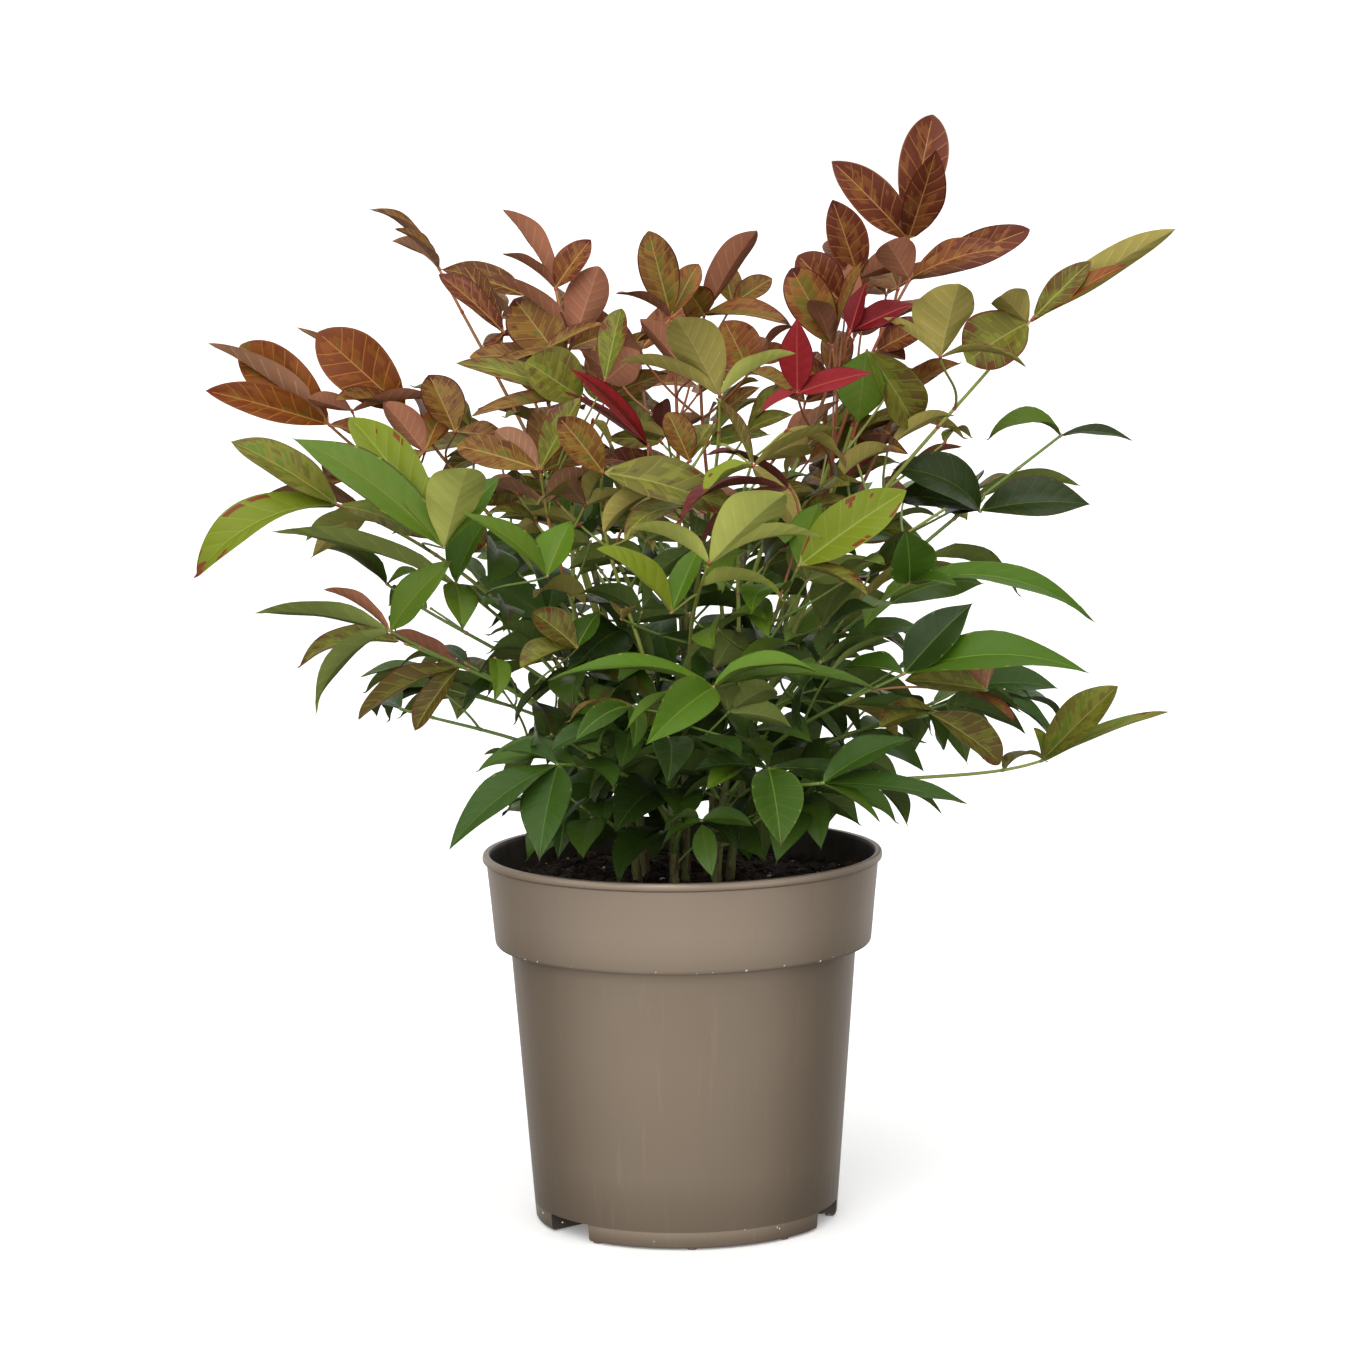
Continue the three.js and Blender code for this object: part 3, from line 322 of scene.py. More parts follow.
class Standing:
    """Points along the limbs that stand already, with their radii and owners."""

    def __init__(self):
        self.points = np.zeros((0, 3))
        self.radii = np.zeros(0)
        self.owners = np.zeros(0, int)
        self.names = {}

    def owner(self, name):
        return self.names.setdefault(name, len(self.names))

    def add(self, points, radii, name):
        self.points = np.vstack([self.points, points])
        self.radii = np.concatenate([self.radii, radii])
        self.owners = np.concatenate([self.owners, np.full(len(points), self.owner(name))])

    # The least room to a limb, apart from its bearer's points near its foot.
    def room(self, points, radii, bearer, foot, free):
        low, high = points.min(0) - SEARCH_REACH, points.max(0) + SEARCH_REACH
        near = np.all((self.points > low) & (self.points < high), axis=1)
        if not near.any():
            return math.inf
        others = self.points[near]
        apart = np.linalg.norm(points[:, None] - others[None], axis=2)
        apart -= radii[:, None] + self.radii[near][None]
        excused = np.linalg.norm(points - np.array(foot), axis=1) < free
        own = self.owners[near] == self.owner(bearer)
        apart[np.ix_(excused, own)] = math.inf
        return float(apart.min())


def samples(curve, foot_radius, tip_radius):
    count = math.ceil(curve.length() / SAMPLE_STEP)
    shares = np.linspace(0, 1, count + 1)
    return curve.many(shares), between(foot_radius, tip_radius, shares)


# The first of several curves that is clear of what stands already, or the clearest one.
def clearest(curves, foot_radius, tip_radius, standing, bearer, foot, free):
    best = None
    for curve in curves:
        points, radii = samples(curve, foot_radius, tip_radius)
        room = standing.room(points, radii, bearer, foot, free)
        if best is None or room > best[0]:
            best = (room, curve, points, radii)
        if room > CLEAR_OF_STALKS:
            break
    return best


# ------------------------------------------------------------ canes and the seats on them

def make_cane(index, row):
    bearing, offset, lean, length = row
    foot = heading(bearing, 0) * offset
    foot.z = SOIL_TOP + GAP
    middle = foot + heading(bearing, 90 - lean / 2) * (length / 2)
    top = middle + heading(bearing, 90 - lean * 1.5) * (length / 2)
    curve = Curve(foot, foot.lerp(middle, 2 / 3), top.lerp(middle, 2 / 3), top)
    return dict(
        name=f"cane_{index + 1}", index=index, bearing=bearing, length=length,
        curve=curve, top=top, seats=[],
    )


def cane_radius(share):
    return between(CANE_FOOT_RADIUS, CANE_TIP_RADIUS, share)


def back_fronds():
    rows = []
    for i in range(BACK_FRONDS):
        height, reach, rise, tints = BACK_TIERS[i % len(BACK_TIERS)]
        bearing = BACK_START + BACK_SWEEP * ((i * GOLDEN) % 1)
        up, out, lift, turn, fan, roll, leaf = (
            most * spread(i, BACK_SEED + k) for k, most in enumerate(BACK_STRAY)
        )
        joint = heading(bearing, 0) * (reach + out)
        rows.append(frond_row(
            f"back_{i + 1}", (joint.x, joint.y, height + up), (bearing + turn, rise + lift),
            BACK_FAN + fan, roll, BACK_LEAF + leaf, tints[(i // len(BACK_TIERS)) % len(tints)],
        ))
    return rows


# Every frond goes to the cane that leans its way, has the height and is least laden.
def choose_cane(frond, canes):
    tip = frond["tip"]
    bearing = math.degrees(math.atan2(tip.y, tip.x))
    reach = math.hypot(tip.x, tip.y)

    def seat_share(cane):
        return SEAT_HEIGHT * (tip.z - SOIL_TOP) / (cane["top"].z - SOIL_TOP)

    def cost(cane):
        apart = abs((bearing - cane["bearing"] + 180) % 360 - 180)
        middle = MIDDLE_COST if cane["index"] == MIDDLE_CANE and reach >= FULL_REACH else 0
        too_high = max(0, seat_share(cane) - 1)
        return (
            apart * min(1, reach / FULL_REACH) + HEIGHT_COST * too_high
            + LOAD_COST * len(cane["seats"]) + middle
        )

    cane = min(canes, key=cost)
    cane["seats"].append(dict(frond=frond, share=seat_share(cane)))


# Seats on one cane are kept a few millimetres apart, and the highest frond takes the tip.
def space_seats(cane):
    step = SEAT_SPACING / cane["length"]
    seats = sorted(cane["seats"], key=lambda seat: seat["share"])
    lowest = LOWEST_SEAT
    for seat in seats:
        seat["share"] = max(lowest, seat["share"])
        lowest = seat["share"] + step
    highest = HIGHEST_SEAT
    for seat in reversed(seats):
        seat["share"] = min(highest, seat["share"])
        highest = seat["share"] - step
    for seat in seats:
        seat["frond"].update(cane=cane, share=seat["share"])


# ------------------------------------------------------------ stalks, sprays and twigs

# Ways to bend a stalk out of another's path: turn of the start, lowering of the start.
STALK_TURNS = (0, 8, -8, 16, -16, 24, -24, 34, -34)
STALK_BENDS = [(turn, lowering) for turn in STALK_TURNS for lowering in (0, -7, -14)]
LOWERING_SHARE = 30


def stalk_curve(frond, bend):
    turn, lowering = bend
    tip = frond["tip"]
    axis = frond["cane"]["curve"].point(frond["share"])
    chord = tip - axis
    bearing = math.degrees(math.atan2(chord.y, chord.x)) + turn
    rise = math.degrees(math.asin(chord.z / chord.length))
    start_rise = rise + STEEPENING * (STEEPEST - rise) + lowering
    start = heading(bearing, start_rise)
    stand_off = cane_radius(frond["share"]) + GAP
    stand_off += STALK_FOOT_RADIUS * math.sin(math.radians(start_rise))
    foot = axis + heading(bearing, 0) * stand_off
    reach = tip - foot
    end = blend((reach.normalized(), STALK_CHORD), (heading(*frond["aim"]), STALK_AIM))
    return Curve(
        foot, foot + start * START_PULL * reach.length, tip - end * END_PULL * reach.length, tip
    )


def spray_curve(spray, parent, bend):
    turn, lowering = bend
    foot, along = parent["curve"].point(spray["at"]), parent["curve"].tangent(spray["at"])
    reach = spray["tip"] - foot
    chord = reach.normalized()
    start = blend((chord, 1), (along, SPRAY_START + lowering / LOWERING_SHARE))
    start = turned(start, UP, turn)
    end = blend((chord, 0.5), (heading(*spray["aim"]), 0.5))
    pull = SPRAY_PULL * reach.length
    return Curve(foot, foot + start * pull, spray["tip"] - end * pull, spray["tip"])


def named(rows, name):
    return next(row for row in rows if row["name"] == name)


# Gives a row the clearest of several curves that its stalk could take.
def grow_stalk(row, curves, foot_radius, bearer, owner, standing):
    _, curve, points, radii = clearest(
        curves, foot_radius, STALK_TIP_RADIUS, standing, bearer, curves[0].start, FREE_OF_SEAT
    )
    row.update(curve=curve, foot_radius=foot_radius)
    standing.add(points, radii, owner)


def grow_stalks(fronds, sprays, standing):
    for frond in fronds:
        curves = [stalk_curve(frond, bend) for bend in STALK_BENDS]
        cane = frond["cane"]["name"]
        grow_stalk(frond, curves, STALK_FOOT_RADIUS, cane, frond["name"], standing)
    for spray in sprays:
        bearer = spray["on"]
        curves = [spray_curve(spray, named(fronds, bearer), bend) for bend in STALK_BENDS]
        grow_stalk(spray, curves, SPRAY_FOOT_RADIUS, bearer, bearer, standing)


def make_limb(curve, foot_radius, tip_radius, outward, tint, leaflets, **more):
    return dict(
        curve=curve, foot_radius=foot_radius, tip_radius=tip_radius, outward=outward,
        tint=tint, leaflets=leaflets, joints=[], **more,
    )


# Three leaflets at a joint: one straight on, one to each side.
def three_leaflets(joint, along, outward, fan, roll, length, wide, arch, tint, key):
    upper = upper_side(along, outward, roll)
    shared = dict(arch=arch, tint=tint, key=key)
    leaflets = [dict(
        root=joint + along * LEAF_STALK, along=along, upper=upper,
        length=length, width=length * wide * END_WIDTH, side=0, **shared,
    )]
    for side in (1, -1):
        spread_out = turned(along, upper, side * fan)
        leaflets.append(dict(
            root=joint, along=spread_out, upper=turned(upper, spread_out, -side * LEAF_TWIST),
            length=length * NEIGHBOUR_LENGTH, width=length * wide * NEIGHBOUR_WIDTH, side=side,
            **shared,
        ))
    return leaflets


def side_leaflet(frond, joint, along, upper, outward, side, key):
    index, length = frond["index"], min(frond["leaf"], LARGEST_SIDE_LEAF)
    spread_out = turned(along, upper, side * about(*LEAF_OPENING, index, key, 2))
    raised = blend((spread_out, 1), (upper, about(*LEAF_RAISED, index, key, 3)))
    return dict(
        root=joint, side=side, along=raised,
        upper=upper_side(raised, outward, LEAF_ROLL * spread(index, key, 6)),
        length=length * about(*LEAF_SHARE, index, key, 7),
        width=length * frond["wide"], arch=frond["arch"], tint=frond["tint"], key=key,
    )


# Ways to shift a side twig: change of its spread, share of its length.
TWIG_SHIFTS = ((0, 1), (10, 1), (-10, 1), (20, 0.85), (-20, 0.85), (0, 0.6), (15, 0.6))


def twig_curve(frond, joint, along, upper, side, key, way):
    shift, share = way
    index = frond["index"]
    length = about(*TWIG_SPAN, index, key, 1) * share
    opening = TWIG_OPENING + shift + TWIG_OPENING_STRAY * spread(index, key, 2)
    spread_out = turned(along, upper, side * opening)
    start = blend((spread_out, 1), (upper, about(*TWIG_RAISED, index, key, 3)))
    tip = joint + blend((start, 1), (along, 0.25)) * length
    end = blend((start, 1), (along, 0.5))
    curve = Curve(
        joint, joint + start * TWIG_START_PULL * length, tip - end * END_PULL * length, tip
    )
    curve.out = start
    return curve


def tint_at(tint, height, pair):
    if pair == 0 or height > OLIVE_BELOW:
        return tint
    if height > GREEN_BELOW:
        return tint if tint in GREENS else "olive"
    return "green" if height > DEEP_LOW else "deep"


# A side twig with its three leaflets, or nothing where it finds no room.
def side_twig(frond, joint, along, upper, side, key, pair, standing):
    index, owner = frond["index"], frond["on"] or frond["name"]
    curves = [twig_curve(frond, joint, along, upper, side, key, way) for way in TWIG_SHIFTS]
    room, curve, points, radii = clearest(
        curves, SPRAY_FOOT_RADIUS, TWIG_TIP_RADIUS, standing, owner, joint, FREE_OF_TWIG
    )
    if room < CLEAR_OF_STALKS:
        return None
    standing.add(points, radii, owner)
    end, outward = curve.end, outward_of(curve.end)
    rise = about(*TWIG_END_RISE, index, key, 4)
    ahead = blend((curve.out, 0.8), (along, 0.5), (UP, rise))
    length = min(frond["leaf"], LARGEST_SIDE_LEAF) * (
        TWIG_LEAF_SHARE - PAIR_LESS * pair + TWIG_LEAF_STRAY * spread(index, key, 7)
    )
    tint = tint_at(frond["tint"], end.z, pair)
    leaflets = three_leaflets(
        end, ahead, outward, about(*TWIG_FAN, index, key, 5), TWIG_ROLL * spread(index, key, 6),
        length, frond["wide"], frond["arch"], tint, key,
    )
    radii = SPRAY_FOOT_RADIUS, TWIG_TIP_RADIUS
    return make_limb(curve, *radii, outward, tint, leaflets, key=key, length=length)


# The stalk of one frond with its end leaflets, and its side twigs and leaflets by the joint
# that they grow from.
def dress(frond, standing):
    index, curve, tip = frond["index"], frond["curve"], frond["tip"]
    outward = outward_of(tip)
    leaflets = three_leaflets(
        tip, heading(*frond["aim"]), outward, frond["fan"], frond["roll"], frond["leaf"],
        frond["wide"], frond["arch"], frond["tint"], 0,
    )
    radii = frond["foot_radius"], STALK_TIP_RADIUS
    stalk = make_limb(curve, *radii, outward, frond["tint"], leaflets, name=frond["name"])
    for pair, kind in enumerate(frond["pairs"]):
        place = PAIR_PLACES[pair]
        joint, along = curve.point(place), curve.tangent(place)
        upper = upper_side(along, outward, PAIR_ROLL * spread(index, pair, 8))
        borne = dict(place=place, twigs=[], leaflets=[])
        stalk["joints"].append(borne)
        for side in (1, -1):
            key = 1 + 2 * pair + (side > 0)
            if kind == "l":
                leaf = side_leaflet(frond, joint, along, upper, outward, side, key)
                borne["leaflets"].append(leaf)
                continue
            twig = side_twig(frond, joint, along, upper, side, key, pair, standing)
            if twig:
                borne["twigs"].append(twig)
    return stalk


# ------------------------------------------------------------ keeping leaflets apart

# Small turns that a leaflet may take to find room: sideways, and up or down.
LEAF_TURNS = (
    (0, 0), (14, 0), (-14, 0), (0, 12), (0, -12),
    (24, 8), (-24, 8), (0, -24), (30, -12), (-30, -12),
)


def turned_leaflet(leaf, way):
    sideways, upward = way
    side = leaf["upper"].cross(leaf["along"])
    along = turned(turned(leaf["along"], leaf["upper"], sideways), side, -upward)
    upper = turned(leaf["upper"], side, -upward)
    upper = (upper - along * upper.dot(along)).normalized()
    return dict(leaf, along=along, upper=upper)


def midrib(leaf, share):
    bend = math.radians(leaf["arch"])
    angle = bend * share
    radius = leaf["length"] / bend
    point = leaf["root"] + leaf["along"] * (radius * math.sin(angle))
    point += leaf["upper"] * (radius * (math.cos(angle) - 1))
    return point, leaf["upper"] * math.cos(angle) + leaf["along"] * math.sin(angle)


PROBE_RISE = 0.4
PROBE_KEEL = 60
PROBE_FACES = (
    (0, 2, 1), (0, 1, 4), (0, 4, 3), (1, 2, 5), (1, 5, 4),
    (2, 0, 3), (2, 3, 5), (3, 4, 6), (4, 5, 6), (5, 3, 6),
)


# A leaflet as a loose closed solid, from a share of its length on.
def leaf_probe(leaf, start, extra):
    side = leaf["upper"].cross(leaf["along"])
    point, upper = midrib(leaf, start)
    taper = start * leaf["width"] * LEAF_FULLNESS / (2 * LEAF_WIDEST)
    half = max(JOINT_LENGTH / 2, taper) + extra
    wide_point, wide_upper = midrib(leaf, LEAF_WIDEST)
    wide_half = leaf["width"] * LEAF_FULLNESS / 2 + extra
    keel = max(LEAF_THICKNESS, leaf["length"] / PROBE_KEEL) + extra
    return [
        point + side * half + upper * (extra + PROBE_RISE),
        point - side * half + upper * (extra + PROBE_RISE),
        point - upper * (STALK_TIP_RADIUS + extra),
        wide_point + side * wide_half + wide_upper * extra,
        wide_point - side * wide_half + wide_upper * extra,
        wide_point - wide_upper * keel,
        midrib(leaf, 1)[0],
    ]


class Placed:
    """Closed shapes that leaflets have to keep clear of, with their boxes."""

    def __init__(self, most=4000):
        self.low = np.zeros((most, 3))
        self.high = np.zeros((most, 3))
        self.pieces = []

    def add(self, owner, points, faces, inner=None):
        count = len(self.pieces)
        box = np.array(points)
        self.low[count], self.high[count] = box.min(0), box.max(0)
        self.pieces.append((owner, BVHTree.FromPolygons(points, faces), inner))

    def touches(self, whole, outer, owner):
        box = np.array(whole)
        count = len(self.pieces)
        near = np.all((self.low[:count] < box.max(0)) & (self.high[:count] > box.min(0)), axis=1)
        trees = {}
        for i in np.flatnonzero(near):
            other, tree, inner = self.pieces[i]
            own = other == owner
            if own not in trees:
                trees[own] = BVHTree.FromPolygons(outer if own else whole, PROBE_FACES)
            if trees[own].overlap(inner if own and inner else tree):
                return True
        return False

    def add_leaf(self, leaf, owner):
        inner = BVHTree.FromPolygons(leaf_probe(leaf, NEAR_JOINT, 0), PROBE_FACES)
        self.add(owner, leaf_probe(leaf, 0, 0), PROBE_FACES, inner)

    # The leaflet where it finds room, after a small turn if need be, or nothing.
    def place(self, leaf, owner):
        for way in LEAF_TURNS:
            tried = turned_leaflet(leaf, way)
            whole, outer = (leaf_probe(tried, start, LEAF_CLEARANCE) for start in (0, NEAR_JOINT))
            if not self.touches(whole, outer, owner):
                self.add_leaf(tried, owner)
                return tried
        return None


# ------------------------------------------------------------ meshes from arrays

class Shapes:
    """Points and faces of many small forms that become one mesh."""

    def __init__(self):
        self.points, self.quads, self.tris = [], [], []
        self.quad_looks, self.tri_looks = [], []
        self.count = 0

    def add(self, points, quads=(), tris=(), look=0, quad_looks=None, tri_looks=None):
        quads = np.asarray(quads, int).reshape(-1, 4)
        tris = np.asarray(tris, int).reshape(-1, 3)
        self.points.append(np.asarray(points, float).reshape(-1, 3))
        self.quads.append(quads + self.count)
        self.tris.append(tris + self.count)
        self.quad_looks.append(np.full(len(quads), look) if quad_looks is None else quad_looks)
        self.tri_looks.append(np.full(len(tris), look) if tri_looks is None else tri_looks)
        self.count += len(self.points[-1])

    def mesh(self, name):
        points = np.vstack(self.points) * MM
        quads, tris = np.vstack(self.quads), np.vstack(self.tris)
        corners = np.concatenate([quads.ravel(), tris.ravel()])
        totals = np.concatenate([np.full(len(quads), 4), np.full(len(tris), 3)])
        starts = np.concatenate([[0], np.cumsum(totals)[:-1]])
        looks = np.concatenate(self.quad_looks + self.tri_looks)
        mesh = bpy.data.meshes.new(name)
        mesh.vertices.add(len(points))
        mesh.vertices.foreach_set("co", points.ravel())
        mesh.loops.add(len(corners))
        mesh.loops.foreach_set("vertex_index", corners)
        mesh.polygons.add(len(totals))
        mesh.polygons.foreach_set("loop_start", starts)
        mesh.polygons.foreach_set("loop_total", totals)
        mesh.polygons.foreach_set("material_index", looks)
        mesh.polygons.foreach_set("use_smooth", np.ones(len(totals), bool))
        mesh.update(calc_edges=True)
        mesh.validate()
        return mesh


def piece(name, mesh, materials, replaced=()):
    for material in materials:
        mesh.materials.append(material)
    made = bpy.data.objects.new(name, mesh)
    bpy.context.scene.collection.objects.link(made)
    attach(made, "root")
    if replaced:
        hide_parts(*replaced)


def form(name, shapes, materials, replaced=()):
    piece(name, shapes.mesh(name), materials, replaced)


def around(sides):
    return np.linspace(0, 2 * math.pi, sides, endpoint=False)


# Faces of a stack of rings that a point closes at each end. The points are those of the rings
# in turn, then the two end points.
def ring_faces(count, sides):
    ring = np.arange(count - 1)[:, None] * sides
    here = np.arange(sides)[None]
    after = (here + 1) % sides
    quads = [ring + here, ring + after, ring + sides + after, ring + sides + here]
    first, last = np.arange(sides), (count - 1) * sides + np.arange(sides)
    foot, tip = (np.full(sides, count * sides + end) for end in (0, 1))
    caps = [(np.roll(first, -1), first, foot), (last, np.roll(last, -1), tip)]
    tris = np.concatenate([np.stack(cap, axis=-1) for cap in caps])
    return np.stack(quads, axis=-1).reshape(-1, 4), tris


# A tube through rings, each of one radius or of a radius for each side; both ends are closed.
def tube(shapes, points, slopes, uppers, radii, sides, looks=None):
    points, slopes, uppers = (np.asarray(part, float) for part in (points, slopes, uppers))
    radii = np.asarray(radii, float)
    uppers = uppers - slopes * np.sum(uppers * slopes, axis=1, keepdims=True)
    uppers /= np.linalg.norm(uppers, axis=1, keepdims=True)
    across = np.cross(uppers, slopes)
    if radii.ndim == 1:
        radii = np.repeat(radii[:, None], sides, axis=1)
    turn = around(sides)[None, :, None]
    rings = points[:, None] + radii[..., None] * (
        across[:, None] * np.cos(turn) + uppers[:, None] * np.sin(turn)
    )
    looks = np.zeros(len(points) - 1, int) if looks is None else np.asarray(looks, int)
    shapes.add(
        np.vstack([rings.reshape(-1, 3), points[:1], points[-1:]]),
        *ring_faces(len(points), sides),
        quad_looks=np.repeat(looks, sides), tri_looks=np.repeat(looks[[0, -1]], sides),
    )


# The same direction for each of several rings.
def repeated(direction, count):
    return np.repeat([list(direction)], count, axis=0)


# ------------------------------------------------------------ materials

# An sRGB colour of 0 to 255 as the linear one that sockets take.
def linear(colour):
    parts = [channel / 255 for channel in colour]
    return [
        part / 12.92 if part <= 0.04045 else ((part + 0.055) / 1.055) ** 2.4 for part in parts
    ] + [1]


RAMP_LIMITS = ("From Min", "From Max", "To Min", "To Max")


# Maps a value from one range to another; limits that aren't given are 0 and 1.
def ramp(tree, value, limits, kind="LINEAR"):
    node = tree.nodes.new("ShaderNodeMapRange")
    node.interpolation_type = kind
    for name, limit in zip(RAMP_LIMITS, limits):
        node.inputs[name].default_value = limit
    tree.links.new(value, node.inputs["Value"])
    return node.outputs["Result"]


NOISE_ROUGHNESS = 0.55
MIX_FACTOR, MIX_FIRST, MIX_SECOND, MIX_RESULT = 0, 6, 7, 2


class Look:
    """A node material with a plain base colour, to which patterns and relief can be added."""

    def __init__(self, name, colour, roughness, specular=0.5):
        self.material = bpy.data.materials.new(name)
        self.material.use_nodes = True
        self.tree = self.material.node_tree
        self.link = self.tree.links.new
        self.shader = self.tree.nodes["Principled BSDF"]
        self.shader.inputs["Base Color"].default_value = linear(colour)
        self.shader.inputs["Roughness"].default_value = roughness
        self.shader.inputs["Specular IOR Level"].default_value = specular
        self.place = self.add("TexCoord").outputs["Object"]

    def add(self, kind):
        return self.tree.nodes.new(f"ShaderNode{kind}")

    # Noise over the surface, in repeats a metre: one number, or one for each of x, y and z.
    def noise(self, *stretch, detail=3, sharp=None):
        mapping = self.add("Mapping")
        mapping.inputs["Scale"].default_value = stretch if len(stretch) == 3 else stretch * 3
        self.link(self.place, mapping.inputs["Vector"])
        noise = self.add("TexNoise")
        for name, value in (("Scale", 1), ("Detail", detail), ("Roughness", NOISE_ROUGHNESS)):
            noise.inputs[name].default_value = value
        self.link(mapping.outputs["Vector"], noise.inputs["Vector"])
        return ramp(self.tree, noise.outputs["Fac"], sharp) if sharp else noise.outputs["Fac"]

    # From 0 to 1 between two heights in mm.
    def height(self, low, high):
        split = self.add("SeparateXYZ")
        self.link(self.place, split.inputs["Vector"])
        return ramp(self.tree, split.outputs["Z"], (low * MM, high * MM))

    def bump(self, height, strength, distance):
        bump = self.add("Bump")
        bump.inputs["Strength"].default_value = strength
        bump.inputs["Distance"].default_value = distance * MM
        self.link(height, bump.inputs["Height"])
        normal = self.shader.inputs["Normal"]
        if normal.links:
            self.link(normal.links[0].from_socket, bump.inputs["Normal"])
        self.link(bump.outputs["Normal"], normal)

    # Lays another colour over the base colour where the mask says.
    def tint(self, mask, colour):
        mix = self.add("Mix")
        mix.data_type = "RGBA"
        base = self.shader.inputs["Base Color"]
        if base.links:
            self.link(base.links[0].from_socket, mix.inputs[MIX_FIRST])
        else:
            mix.inputs[MIX_FIRST].default_value = base.default_value
        mix.inputs[MIX_SECOND].default_value = linear(colour)
        self.link(mask, mix.inputs[MIX_FACTOR])
        self.link(mix.outputs[MIX_RESULT], base)

    def vary_roughness(self, mask, low, high):
        self.link(ramp(self.tree, mask, (0, 1, low, high)), self.shader.inputs["Roughness"])


# ------------------------------------------------------------ leaflets

# Colours of a leaflet by tint: three shades of the blade, a fourth that some blades have
# along the midrib, midrib, side veins, margin, underside and its veins; then the roughness.
TINTS = {
    "lime": ((122, 136, 28), (110, 122, 22), (138, 150, 42), (88, 112, 20),
             (154, 162, 70), (134, 146, 44), (128, 62, 30), (182, 186, 94), (192, 194, 108), 0.44),
    "bronze": ((124, 82, 36), (140, 104, 42), (102, 58, 24), (112, 106, 40),
               (176, 140, 76), (156, 120, 56), (84, 36, 18), (168, 120, 92), (188, 156, 114), 0.44),
    "rust": ((138, 76, 28), (126, 90, 32), (122, 62, 24), (112, 102, 34),
             (188, 128, 62), (170, 108, 46), (124, 48, 20), (168, 120, 90), (194, 150, 114), 0.44),
    "copper": ((132, 76, 40), (146, 100, 44), (108, 52, 32), (120, 106, 40),
               (182, 136, 76), (160, 106, 56), (88, 36, 22), (168, 110, 84), (186, 134, 100), 0.44),
    "olive": ((112, 108, 38), (128, 128, 44), (102, 84, 36), (104, 124, 36),
              (158, 150, 76), (136, 128, 48), (112, 58, 32), (172, 158, 84), (190, 174, 108), 0.44),
    "dark": ((50, 70, 16), (58, 80, 20), (42, 58, 14), (66, 62, 20),
             (72, 90, 30), (60, 80, 22), (62, 44, 18), (88, 98, 46), (108, 118, 62), 0.34),
    "green": ((76, 104, 24), (92, 120, 30), (64, 94, 22), (96, 120, 32),
              (108, 134, 48), (88, 114, 32), (74, 80, 26), (136, 148, 76), (156, 164, 96), 0.4),
    "deep": ((56, 84, 24), (72, 100, 32), (44, 64, 20), (74, 100, 32),
             (82, 108, 40), (68, 94, 30), (48, 64, 22), (98, 118, 58), (122, 140, 80), 0.38),
    "bright": ((82, 116, 20), (94, 128, 28), (74, 108, 18), (98, 126, 30),
               (112, 138, 44), (90, 120, 28), (84, 104, 24), (126, 146, 62), (146, 164, 84), 0.42),
    "crimson": ((146, 28, 34), (158, 36, 42), (118, 20, 26), (116, 38, 30),
                (172, 68, 62), (148, 40, 44), (98, 20, 26), (124, 34, 38), (150, 66, 62), 0.42),
    "wine": ((106, 36, 34), (122, 46, 40), (86, 28, 28), (84, 54, 34),
             (148, 76, 66), (118, 48, 42), (70, 22, 24), (128, 70, 64), (150, 96, 86), 0.42),
}
SHADE_A, SHADE_B, SHADE_C, SHADE_MIX, MIDRIB, VEIN, EDGE, UNDER, UNDER_VEIN = range(9)
LEAF_DEPTH = 0.88
MOTTLED = ("bronze", "rust", "copper", "olive")
WARM = ("lime", *MOTTLED)
UNDER_ROUGHNESS = 0.62
SPECULAR, WARM_SPECULAR, UNDER_SPECULAR = 0.18, 0.16, 0.05
LOOK_NAMES = ("a", "b", "c", "midrib_side", "midrib", "vein", "margin", "under", "under_vein")


def leaf_materials(tint):
    *colours, roughness = TINTS[tint]
    specular = WARM_SPECULAR if tint in WARM else SPECULAR
    made = []
    for name, colour in zip(LOOK_NAMES, colours):
        under = name.startswith("under")
        look = Look(
            f"leaf_{tint}_{name}", [LEAF_DEPTH * channel for channel in colour],
            UNDER_ROUGHNESS if under else roughness, UNDER_SPECULAR if under else specular,
        )
        look.bump(look.noise(900, detail=2), 0.35 if under else 0.25, 0.25)
        look.bump(look.noise(160, detail=1), 0.3, 0.8)
        made.append(look.material)
    return made


# The grid of points over a blade. Each side vein is a pair of rows with a raised row between
# it and the next, and all sweep forward to the margin. Columns run from margin to margin.
SIDE_VEINS = (0.13, 0.25, 0.37, 0.49, 0.61, 0.73)
VEIN_STEP = 0.12
HALF_VEIN = 0.0026
WARM_VEIN = 0.0022
VEIN_SINK = -0.25
ROW_SWEEP, SWEEP_POWER = 0.19, 0.8
FIRST_ROW, LAST_ROWS, LAST_RELIEF = 0.035, (0.875, 0.945), (0.3, 0.0)
UNDER_COLUMN = 0.68
BLADE, RIB, SIDE_VEIN, RIM, POINT, BACK, BACK_RIB = range(7)


